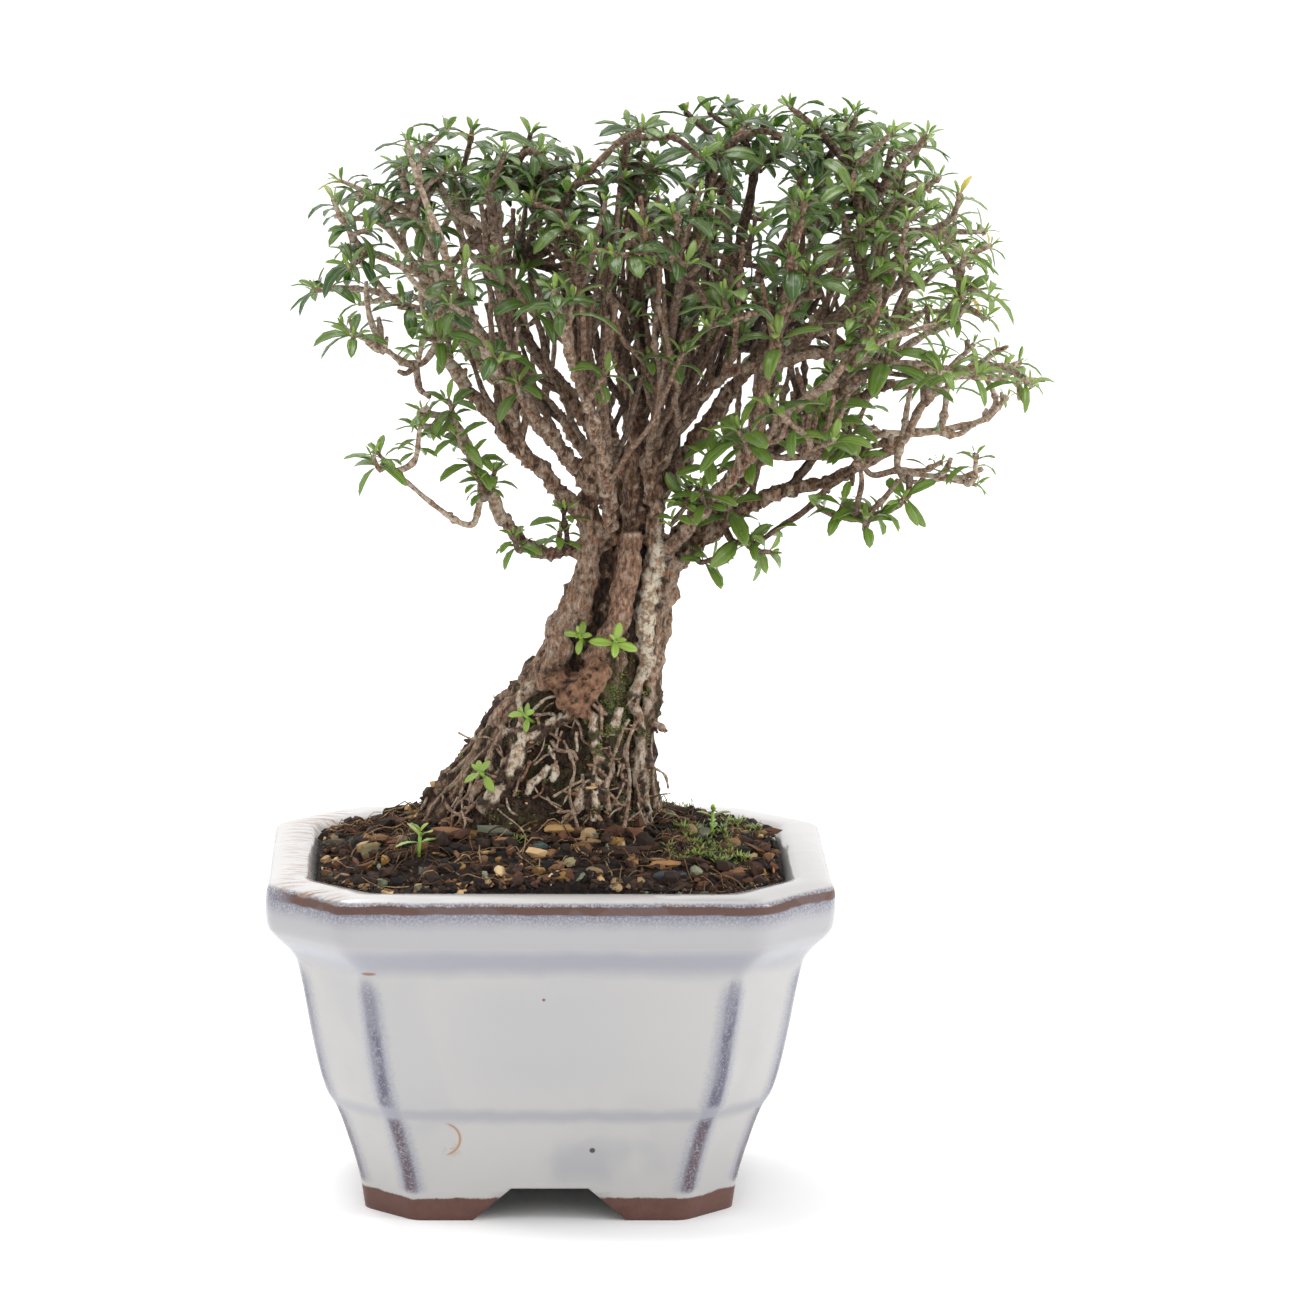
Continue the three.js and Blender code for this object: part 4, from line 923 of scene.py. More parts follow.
SIDE_LEAVES_FROM = 0.35  # share of a twig's length that stays bare


def add_side_leaves(pile, stick, chance):
    """Single and paired smaller leaves along the young part of a twig."""
    points = stick.points[stick.bare :]
    lengths = np.linalg.norm(np.diff(points, axis=0), axis=1)
    total = lengths.sum()
    at = max(total * SIDE_LEAVES_FROM, total - 26)
    while at < total - 7:
        if next(chance) < 0.46 + 0.36 * airy(points[-1][0]):
            at += 6
            continue
        ends = np.cumsum(lengths)
        i = min(int(np.searchsorted(ends, at)), len(lengths) - 1)
        t = (at - (ends[i] - lengths[i])) / lengths[i]
        foot = mix(points[i], points[i + 1], t)
        axis = unit(points[i + 1] - points[i])
        across, other = crosswise(axis, [0.2, 1, 0.3])
        angle = next(chance) * math.tau
        if next(chance) < 0.62:
            for side in (0, math.pi):
                if next(chance) < 0.2:
                    continue
                out = unit(turned_from(across, other, angle + side) + 0.25 * UP)
                size = mix(5, 9.5, next(chance))
                youth = 0.35 * next(chance)
                add_leaf(pile, foot + out * 0.6, out, axis, size, size * 0.36, 0.6, 1.3, chance, youth)
        at += mix(3.2, 7, next(chance))


# ---------- wood ----------
GRAIN_RUN = 1.9  # the bark of the branches breaks up in short grains


def frames(points):
    """Two crosswise directions at each point of a path, carried along without twisting."""
    ways = np.gradient(points, axis=0)
    ways /= np.linalg.norm(ways, axis=1)[:, None]
    side = UP if abs(ways[0][2]) < 0.9 else np.array([1.0, 0, 0])
    sides = []
    for way in ways:
        side = unit(side - way * (side @ way))
        sides.append(side)
    sides = np.array(sides)
    return ways, sides, np.cross(ways, sides)


def tube(path, radius, sides):
    """The points and faces of a plain round stick along a path."""
    path = np.asarray(path, float)
    _, side, up = frames(path)
    theta = np.arange(sides) * math.tau / sides
    ring = side[:, None] * np.cos(theta)[None, :, None] + up[:, None] * np.sin(theta)[None, :, None]
    return (path[:, None] + ring * radius).reshape(-1, 3), ring_faces(len(path), sides)


def add_wood(pile, joints, radii, chance, step=1.0, sides=10, rough=1.0, **values):
    """A knobbly stick through joints, with crossed pairs of bumps where leaves were."""
    joints = np.asarray(joints, float)
    path = smooth(joints, step)
    away, run = run_along(joints), run_along(path)
    radius = np.interp(run * away[-1] / run[-1], away, radii)
    _, side, up = frames(path)
    phase = [next(chance) * math.tau for _ in range(6)]
    wander = 0.22 * rough * np.minimum(radius, 1.5)
    path = path + side * (wander * np.sin(run / 2.9 + phase[0]))[:, None]
    path = path + up * (wander * np.sin(run / 2.3 + phase[1]))[:, None]
    turn = np.arange(sides) * math.tau / sides
    theta, s = np.meshgrid(turn, run)
    shape = 1 + 0.1 * rough * np.sin(s / 1.7 + theta + phase[2])
    shape += 0.08 * rough * np.sin(s / 0.9 + 2 * theta + phase[3])
    shape += 0.07 * rough * np.sin(s / 3.7 - theta + phase[4])
    shape = shape * radius[:, None]
    at, quarter = 1.5 * next(chance), phase[5]
    while at < run[-1]:
        height = rough * mix(0.12, 0.62, next(chance) ** 2)
        wide = mix(0.45, 0.8, next(chance))
        for turned in (quarter, quarter + math.pi):
            spread = (1 - np.cos(theta - turned)) * 2.6
            shape += height * np.exp(-(((s - at) / wide) ** 2) - spread)
        quarter += math.pi / 2 + 0.4 * (next(chance) - 0.5)
        at += mix(1.6, 4.2, next(chance))
    ring = side[:, None] * np.cos(theta)[..., None] + up[:, None] * np.sin(theta)[..., None]
    points = path[:, None] + ring * shape[..., None]
    round_it = radius[:, None]
    grain = np.stack([np.cos(theta) * round_it, np.sin(theta) * round_it, s * GRAIN_RUN], -1)
    shift = np.array([next(chance) * 50 for _ in range(3)])
    pile.add(
        points.reshape(-1, 3),
        ring_faces(len(path), sides),
        grain=(grain + shift).reshape(-1, 3),
        **values,
    )


def add_stub(pile, foot, way, radius, length, chance, **values):
    """A short dead stub, broken off at its end."""
    lean = unit(way + 0.5 * jitter(chance))
    points = [foot, foot + lean * length * 0.6, foot + lean * length]
    add_wood(pile, points, [radius, radius * 0.9, radius * 0.6], chance, 0.7, 7, 0.8, **values)


# ---------- materials ----------
def srgb(red, green, blue):
    def linear(v):
        v /= 255
        return v / 12.92 if v <= 0.04045 else ((v + 0.055) / 1.055) ** 2.4

    return (linear(red), linear(green), linear(blue), 1.0)


class Shader:
    """A material with one Principled shader, and short calls for its nodes."""

    def __init__(self, name, **settings):
        self.material = bpy.data.materials.new(name)
        self.material.use_nodes = True
        self.tree = self.material.node_tree
        self.shader = self.tree.nodes["Principled BSDF"]
        for key, value in settings.items():
            self.shader.inputs[key.replace("_", " ")].default_value = value

    def feed(self, socket, value):
        if isinstance(value, bpy.types.NodeSocket):
            self.tree.links.new(value, socket)
        else:
            socket.default_value = value

    def set(self, name, value):
        self.feed(self.shader.inputs[name], value)

    def read(self, name, output="Vector"):
        node = self.tree.nodes.new("ShaderNodeAttribute")
        node.attribute_name = name
        return node.outputs[output]

    def split(self, vector):
        node = self.tree.nodes.new("ShaderNodeSeparateXYZ")
        self.feed(node.inputs[0], vector)
        return node.outputs

    def math(self, operation, *values):
        node = self.tree.nodes.new("ShaderNodeMath")
        node.operation = operation
        for socket, value in zip(node.inputs, values):
            self.feed(socket, value)
        return node.outputs[0]

    def most(self, first, *others):
        for other in others:
            first = self.math("MAXIMUM", first, other)
        return first

    def times(self, first, *others):
        for other in others:
            first = self.math("MULTIPLY", first, other)
        return first

    def step(self, value, low, high, down=False):
        """0 below low and 1 above high, smoothly, or the other way round."""
        node = self.tree.nodes.new("ShaderNodeMapRange")
        node.interpolation_type = "SMOOTHSTEP"
        ends = (1.0, 0.0) if down else (0.0, 1.0)
        for socket, v in zip(node.inputs, (value, low, high, *ends)):
            self.feed(socket, v)
        return node.outputs[0]

    def near(self, value, middle, inner, outer):
        """1 within inner of a middle value, and 0 beyond outer."""
        away = self.math("ABSOLUTE", self.math("SUBTRACT", value, middle))
        return self.step(away, inner, outer, down=True)

    def scaled(self, vector, x, y, z):
        node = self.tree.nodes.new("ShaderNodeVectorMath")
        node.operation = "MULTIPLY"
        self.feed(node.inputs[0], vector)
        node.inputs[1].default_value = (x, y, z)
        return node.outputs[0]

    def away_from(self, vector, point):
        node = self.tree.nodes.new("ShaderNodeVectorMath")
        node.operation = "DISTANCE"
        self.feed(node.inputs[0], vector)
        node.inputs[1].default_value = point
        return node.outputs["Value"]

    def noise(self, vector, scale, detail=3.0, roughness=0.55):
        node = self.tree.nodes.new("ShaderNodeTexNoise")
        self.feed(node.inputs["Vector"], vector)
        node.inputs["Scale"].default_value = scale
        node.inputs["Detail"].default_value = detail
        node.inputs["Roughness"].default_value = roughness
        return node.outputs[0]

    def blend(self, factor, first, second, how="MIX"):
        node = self.tree.nodes.new("ShaderNodeMix")
        node.data_type = "RGBA"
        node.blend_type = how
        for index, value in ((0, factor), (6, first), (7, second)):
            self.feed(node.inputs[index], value)
        return node.outputs[2]

    def ramp(self, factor, *stops):
        node = self.tree.nodes.new("ShaderNodeValToRGB")
        while len(node.color_ramp.elements) < len(stops):
            node.color_ramp.elements.new(0.5)
        for element, (place, colour) in zip(node.color_ramp.elements, stops):
            element.position = place
            element.color = colour
        self.feed(node.inputs[0], factor)
        return node.outputs[0]

    def bump(self, height, distance, strength=1.0, under=None):
        node = self.tree.nodes.new("ShaderNodeBump")
        node.inputs["Strength"].default_value = strength
        node.inputs["Distance"].default_value = distance * MM
        self.feed(node.inputs["Height"], height)
        if under is not None:
            self.feed(node.inputs["Normal"], under)
        return node.outputs[0]


def make_leaf_material(name, dark, light):
    """A leaf between two greens, paler on its midrib, margin, foot and underside."""
    m = Shader(name, Roughness=0.28, Specular_IOR_Level=0.5)
    m.set("Subsurface Weight", 0.12)
    m.set("Subsurface Scale", 0.0012)
    m.shader.inputs["Subsurface Radius"].default_value = (0.4, 1.0, 0.2)
    across, lengthwise, under = m.split(m.read("blade"))
    tone, youth, odd = m.split(m.read("look"))
    # tone holds each leaf's random tone and the painted light of its place.
    colour = m.blend(tone, dark, light)
    colour = m.blend(m.step(youth, 0.05, 1.0), colour, srgb(128, 152, 62))
    colour = m.blend(m.times(m.step(odd, 0.992, 0.996), 0.8), colour, srgb(196, 168, 70))
    spread = m.math("ABSOLUTE", across)
    rib = m.step(spread, 0.05, 0.16, down=True)
    colour = m.blend(m.times(rib, 0.3), colour, srgb(140, 164, 104))
    margin = m.step(spread, 0.88, 0.99)
    colour = m.blend(m.times(margin, 0.3), colour, srgb(160, 178, 128))
    colour = m.blend(m.times(under, 0.45), colour, srgb(128, 152, 98))
    base = m.step(lengthwise, 0.0, 0.16, down=True)
    colour = m.blend(m.times(base, 0.55), colour, srgb(150, 175, 95))
    m.set("Base Color", colour)
    ribs = m.math("SINE", m.math("ADD", m.times(lengthwise, 42.0), m.times(spread, -9.0)))
    relief = m.math("ADD", m.times(ribs, 0.12), m.times(rib, -1.0))
    m.set("Normal", m.bump(relief, 0.12, 0.5))
    return m.material


SCAR_RED = 1.4  # value of "red" that marks the smooth bark of the scar


def make_bark_material():
    """Flaking brown bark with pale, mossy and dark parts, and the smoother bark of the scar. The pale
    parts are pale wood and roots with painted highlights; the dark parts are painted shade and bark
    darker low on the trunk.
    """
    m = Shader("bark", Roughness=0.88)
    grain = m.read("grain")
    pale, moss, dark = m.split(m.read("cover"))
    coarse = m.noise(m.scaled(grain, 1, 1, 0.4), 0.32, 5, 0.62)
    fine = m.noise(m.scaled(grain, 1, 1, 0.42), 1.3, 6, 0.72)
    colour = m.ramp(
        fine,
        (0.32, srgb(32, 19, 13)),
        (0.43, srgb(84, 54, 39)),
        (0.55, srgb(130, 97, 74)),
        (0.67, srgb(204, 178, 148)),
    )
    reddish = m.read("red", "Fac")
    red = m.most(m.times(m.step(coarse, 0.5, 0.68), 0.35), m.times(reddish, 0.6))
    colour = m.blend(red, colour, m.blend(m.step(fine, 0.3, 0.7), srgb(70, 40, 28), srgb(190, 134, 102)))
    whirl = m.step(m.noise(m.scaled(grain, 1, 1, 0.42), 0.34, 5, 0.62), 0.38, 0.62)
    burl = m.blend(whirl, srgb(74, 49, 34), srgb(164, 128, 98))
    colour = m.blend(m.times(m.step(reddish, SCAR_RED - 0.12, SCAR_RED - 0.02), 0.6), colour, burl)
    patch = m.step(m.noise(grain, 0.5, 4, 0.7), 0.42, 0.6)
    # Pale wood and roots, and painted highlights on ridges and at the crown's ends.
    pale_and_lit = m.blend(patch, srgb(222, 212, 192), srgb(158, 126, 98))
    colour = m.blend(m.times(pale, m.step(fine, 0.3, 0.5)), colour, pale_and_lit)
    # Painted shade: hollows and the inside of the crown, and the trunk's bark darker low down.
    shadow = m.blend(m.step(fine, 0.4, 0.66), srgb(24, 15, 11), srgb(94, 68, 50))
    colour = m.blend(dark, colour, shadow)
    green = m.times(moss, m.step(m.noise(grain, 0.9, 4, 0.7), 0.42, 0.6))
    colour = m.blend(green, colour, srgb(72, 82, 34))
    m.set("Base Color", colour)
    flakes = m.math("ADD", m.times(fine, 1.0), m.times(coarse, 0.6))
    m.set("Normal", m.bump(flakes, 0.8, 1.0))
    return m.material


# Heights on the glazed pot, above the ground.
FEET_LEVEL, LEDGE_LEVEL, BAND_LEVEL, RIM_LEVEL = 5.2, 26.4, 64.8, 78.6


def make_glaze_material():
    """Pale glaze, lighter on the lip's top as painted light, blue where it pooled or ran thin, blue-grey
    as painted shade on and under the rim band, on the ledge and mid front, worn at the corners, and bare
    clay feet, painted darkest underneath as shade.
    """
    m = Shader("glaze", IOR=1.5, Coat_Weight=0.3, Coat_Roughness=0.05)
    spot = m.read("spot")
    x, _, z = m.split(spot)
    crease, lip, outside = m.split(m.read("glaze_run"))
    wavy = m.noise(spot, 0.13, 3)
    speckle = m.noise(spot, 1.7, 5, 0.8)
    grit = m.math("SUBTRACT", speckle, 0.5)
    cloud = m.noise(m.scaled(spot, 1, 1, 0.7), 0.04, 3, 0.5)
    sway = m.math("SUBTRACT", wavy, 0.5)
    level = m.math("ADD", z, m.times(sway, 2.0))
    grainy = m.math("ADD", level, m.times(grit, 0.8))

    feet = m.step(grainy, FEET_LEVEL, FEET_LEVEL + 0.5, down=True)
    along_lip = m.math("ADD", lip, m.math("ADD", m.times(sway, 1.6), m.times(grit, 1.0)))
    patchy = m.step(m.noise(spot, 0.06, 2), 0.36, 0.5)
    fading = m.step(x, -64, -58)
    rim = m.times(m.near(along_lip, 0.75, 0.8, 1.2), m.most(patchy, 0.88), fading)
    # The underside, in the arches and the recess between the feet, is bare clay painted very dark as
    # shade.
    under = m.times(m.step(outside, 0.6, 0.95, down=True), m.step(z, 8.0, 9.0, down=True))
    bare = m.most(feet, rim, under)

    tall = m.times(m.step(z, 6, 8), m.step(z, 55, 63, down=True))
    gap = m.math("SUBTRACT", 1.0, m.near(level, LEDGE_LEVEL + 0.6, 0.8, 2.6))
    broken = m.step(m.noise(m.scaled(spot, 1, 1, 0.35), 0.16, 4, 0.7), 0.38, 0.55)
    ragged = m.math("ADD", crease, m.times(grit, 4.6))
    worn = m.times(m.step(ragged, 0.9, 2.4, down=True), tall, gap, outside)
    lower = m.most(m.step(z, 24, 30, down=True), 0.22)
    deep = m.times(worn, m.step(speckle, 0.45, 0.53), lower)
    halo = m.times(m.step(ragged, 1.2, 5.0, down=True), tall, outside)

    fringe = m.times(m.step(along_lip, 1.4, 6.2, down=True), m.step(along_lip, -1.6, -0.4))
    # Blue glaze and painted shade, mixed towards one blue-grey.
    blue = blue_and_painted_shade(m, x, z, level, cloud, halo)
    blue = m.times(blue, m.most(outside, 0.35))
    # Painted light: the lip's top, above the rim, is lighter than the rest of the glaze.
    colour = m.blend(m.step(z, RIM_LEVEL, RIM_LEVEL + 1), srgb(176, 174, 172), srgb(198, 195, 194))
    colour = m.blend(blue, colour, srgb(122, 126, 142))
    colour = m.blend(m.times(fringe, m.step(speckle, 0.3, 0.6), outside, 0.95), colour, srgb(88, 90, 110))
    streaked = m.times(worn, m.most(broken, 0.5), m.step(speckle, 0.32, 0.5), 0.9)
    colour = m.blend(streaked, colour, srgb(74, 74, 98))
    colour = m.blend(deep, colour, srgb(80, 52, 54))
    colour = m.blend(bare, colour, clay_colour(m, spot, speckle, rim, under))
    m.set("Base Color", stain(m, colour, spot, x, z))
    m.set("Roughness", m.math("ADD", 0.12, m.times(m.most(bare, m.times(deep, 0.6)), 0.65)))
    soft = m.times(m.noise(spot, 0.07, 2), 0.8)
    rough = m.times(m.noise(spot, 2.2, 4, 0.7), bare)
    step_down = m.times(bare, -0.35)
    relief = m.math("ADD", m.math("ADD", soft, step_down), m.times(rough, 0.25))
    m.set("Normal", m.bump(relief, 1.0, 0.3))
    return m.material


def blue_and_painted_shade(m, x, z, level, cloud, halo):
    """Where the glaze is blue-grey: blue by the corners and in soft clouds, pooled blue on the ledge with
    painted shade there, and painted shade under the rim band, on the rim band and in the middle of the
    front.
    """
    # Blue pooled on the ledge, darkened there as painted shade.
    ledge = m.times(m.near(level, LEDGE_LEVEL, 0.2, 3.0), 0.45)
    # Painted shade in the crease under the rim band.
    band = m.times(m.near(level, BAND_LEVEL, 0.6, 6.5), 0.62)
    # Painted shade: the middle of the front is greyer than its sides.
    middle = m.times(m.near(x, -2.0, 4, 50), m.near(z, 46, 6, 24), 0.2)
    # Painted shade on the rim band.
    upper = m.times(m.step(z, 65, 69), m.step(z, 77, 79, down=True), 0.36)
    low = m.times(m.near(x, 8.0, 6, 28), m.near(level, 15, 2, 9), m.step(cloud, 0.42, 0.6), 0.36)
    mottle = m.times(m.step(cloud, 0.45, 0.68), 0.16)
    return m.most(m.times(halo, 0.7), ledge, band, middle, upper, low, mottle)


def clay_colour(m, spot, speckle, rim, under):
    """The bare clay: darker on the rim, and darkest under the pot, where the dark is painted shade."""
    clay = m.blend(m.noise(spot, 0.5, 5, 0.7), srgb(78, 46, 38), srgb(102, 64, 53))
    clay = m.blend(rim, clay, m.blend(speckle, srgb(66, 42, 36), srgb(100, 68, 58)))
    return m.blend(under, clay, srgb(34, 24, 21))


# Marks on the pot's front: a pinhole, a chip, whose place is squeezed sideways and so looks long,
# the middle of a ringed hairline stain, and a dot.
PINHOLE = (9.75, -37.3, 17.6)
CHIP_SQUEEZE = 0.24
CHIP = (-41.7 * CHIP_SQUEEZE, -47.5 * CHIP_SQUEEZE, 61.5)
HAIRLINE = (-25.0, -38.0, 20.5)
DOT = (-1.7, -45.8, 55.2)


def stain(m, colour, spot, x, z):
    """Soil washed over the left lip, and the marks on the front."""
    streaks = m.step(m.noise(m.scaled(spot, 0.16, 1.6, 0.3), 0.5, 5, 0.75), 0.46, 0.62)
    left = m.times(m.near(x, -55, 3.5, 10.5), m.step(z, 77.5, 79.4))
    colour = m.blend(m.times(streaks, left, 0.85), colour, srgb(128, 88, 50))
    pinhole = m.step(m.away_from(spot, PINHOLE), 0.5, 0.85, down=True)
    colour = m.blend(pinhole, colour, srgb(62, 48, 40))
    squeezed = m.scaled(spot, CHIP_SQUEEZE, CHIP_SQUEEZE, 1)
    chip = m.step(m.away_from(squeezed, CHIP), 0.3, 0.55, down=True)
    colour = m.blend(m.times(chip, 0.85), colour, srgb(126, 84, 58))
    dot = m.step(m.away_from(spot, DOT), 0.25, 0.5, down=True)
    colour = m.blend(dot, colour, srgb(120, 76, 62))
    ring = m.near(m.away_from(spot, HAIRLINE), 4.3, 0.05, 0.5)
    part = m.times(ring, m.step(x, HAIRLINE[0] + 0.5, HAIRLINE[0] + 2.5))
    low_end = (HAIRLINE[0] + 2.4, HAIRLINE[1], HAIRLINE[2] - 3)
    smear = m.step(m.away_from(spot, low_end), 0.6, 3.2, down=True)
    faint = m.times(smear, m.step(m.noise(spot, 0.8, 4, 0.7), 0.42, 0.6), 0.4)
    return m.blend(m.most(m.times(part, 0.85), faint), colour, srgb(150, 108, 64))


def make_earth_material():
    """Soil, stones and fibres in their own hues, mottled and rusty in patches."""
    m = Shader("earth", Roughness=0.95)
    hue = m.read("hue")
    spot = m.read("spot")
    fine = m.noise(spot, 1.4, 5, 0.7)
    shade = m.ramp(
        fine,
        (0.32, (0.16, 0.15, 0.14, 1)),
        (0.48, (0.8, 0.8, 0.8, 1)),
        (0.66, (1.5, 1.45, 1.36, 1)),
    )
    rust = m.step(m.noise(spot, 0.7, 3, 0.6), 0.5, 0.6)
    earthy = m.blend(1.0, hue, shade, "MULTIPLY")
    m.set("Base Color", m.blend(m.times(rust, 0.5), earthy, srgb(72, 46, 32)))
    m.set("Normal", m.bump(m.noise(spot, 2.6, 4, 0.7), 0.7, 1.0))
    return m.material


LEAF_MATERIAL = make_leaf_material("leaf_green", srgb(40, 60, 21), srgb(90, 112, 44))
YOUNG_MATERIAL = make_leaf_material("young_leaf", srgb(112, 160, 44), srgb(160, 196, 76))
MOSS_MATERIAL = make_leaf_material("moss_green", srgb(66, 80, 28), srgb(156, 172, 68))
BARK_MATERIAL = make_bark_material()
GLAZE_MATERIAL = make_glaze_material()
EARTH_MATERIAL = make_earth_material()


# ---------- growing the tree ----------
def grow_tree():
    """The solids' sticks, whose number it gives, and then the finer twigs of this script."""
    lay_out_limbs()
    throw_whorls(draw, **FIRST_THROWS)
    solid_sticks = len(wood.sticks)
    wood.far_side = TWIG_ENDS[1] + 2
    grow_shown_tufts(late)
    throw_whorls(late, **FINE_THROWS)
    return solid_sticks, grow_bare_twigs(late) + grow_inner_twigs(late) + grow_low_tufts(late)


late = stream(SEED + 20)
SOLID_STICKS, BARE = grow_tree()


def bark_values(stick, chance):
    """Bark values of a stick, each with a random share: wood at the crown's ends is painted paler, a
    painted highlight as if lit from behind, and wood inside the crown is painted darker as shade.
    """
    end = airy(stick.points[-1][0])
    inside = (1 - end) * clamp(1.3 - abs(stick.points[-1][1]) / 40, 0, 1)
    pale = 0.12 + 0.25 * next(chance) + 0.35 * end
    dark = (0.12 + 0.9 * next(chance) ** 1.4) * inside
    return {"red": 0.35 * next(chance), "cover": (pale, 0.0, dark)}


WOOD_SHARE = 0.93  # the knobs bring the wood back to the solids' thickness
TIP_SHARE = 0.76  # thickness of a twig's tip over the solids' twigs
SEAM = 0.9  # how far a branch reaches back into the trunk's stick
# How young and how upright the small tufts are, in front of the crown and inside it.
FRONT_TUFT, INNER_TUFT = (0.16, 0.5), (0.2, 1.7)


def whorl_looks():
    """The turn and size of each whorl, in the order in which the solids draw them."""
    looks = {}
    for index, stick in enumerate(wood.sticks):
        if stick.node == "trunk":
            continue
        chance = draw if index < SOLID_STICKS else late
        turn = next(chance) * math.pi
        length, width = mix(0.85, 1.15, next(chance)), mix(0.85, 1.15, next(chance))
        looks[id(stick)] = (turn, mix(length, width, 0.5))
    return looks


def make_branches():
    """The wood and the leaves of each limb, which replace its node."""
    looks = whorl_looks()
    chance = stream(SEED + 30)
    for name, *_ in LIMBS:
        branch, leaves = Pile(), Pile()
        for stick in (s for s in wood.sticks if s.node == name):
            joints, radii = stick.points[stick.bare :], stick.radii[stick.bare :]
            if stick.bare:
                back = joints[0] - unit(joints[1] - joints[0]) * SEAM
                joints = np.concatenate([[back], joints[1:]])
            cover = bark_values(stick, chance)
            taper = np.linspace(1, TIP_SHARE, len(joints))
            add_wood(branch, joints, radii * WOOD_SHARE * taper, chance, 1.0, 9, **cover)
            add_branch_stubs(branch, stick, chance, cover)
            add_side_leaves(leaves, stick, chance)
        for twig in (t for t in BARE if t.node == name):
            radii = np.linspace(*BARE_RADII, len(twig.points))
            add_wood(branch, twig.points, radii, chance, 1.0, 6, 1.1, **bark_values(twig, chance))
            if twig.tufted:
                end = twig.points[-1]
                fresh, lift = FRONT_TUFT if twig.in_front else INNER_TUFT
                tuft = Whorl(end, unit(end - twig.points[-2]), name, twig, twig.tufted, fresh, lift)
                add_whorl(leaves, tuft, next(chance) * math.pi, 1.0, chance)
        for whorl in (w for w in whorls if w.node == name):
            turn, vary = looks[id(whorl.stick)]
            add_whorl(leaves, whorl, turn, vary, chance)
        node = "branch_" + name
        new_piece(branch.mesh("wood_" + name), BARK_MATERIAL, "bark", node)
        new_piece(leaves.mesh("leaves_" + name), LEAF_MATERIAL, "leaf", node)


def add_branch_stubs(pile, stick, chance, cover):
    """Short bare stubs where old side shoots died back."""
    points = stick.points
    for i in range(max(1, stick.bare), len(points) - 1):
        if crown_level(points[i + 1]) > LEAFY_FROM:
            break
        for _ in range(2):
            if next(chance) < 0.45:
                continue
            foot = mix(points[i], points[i + 1], next(chance))
            along_it = unit(points[i + 1] - points[i])
            across = unit(np.cross(along_it, [next(chance) - 0.5, next(chance) - 0.5, 0.7]))
            lean = unit(across * (1 if next(chance) < 0.5 else -1) + 0.5 * along_it + 0.3 * UP)
            length = mix(2.0, 5.5, next(chance) ** 1.5)
            thick = min(0.8, stick.radii[i] * 0.75)
            add_stub(pile, foot, lean, thick, length, chance, **cover)


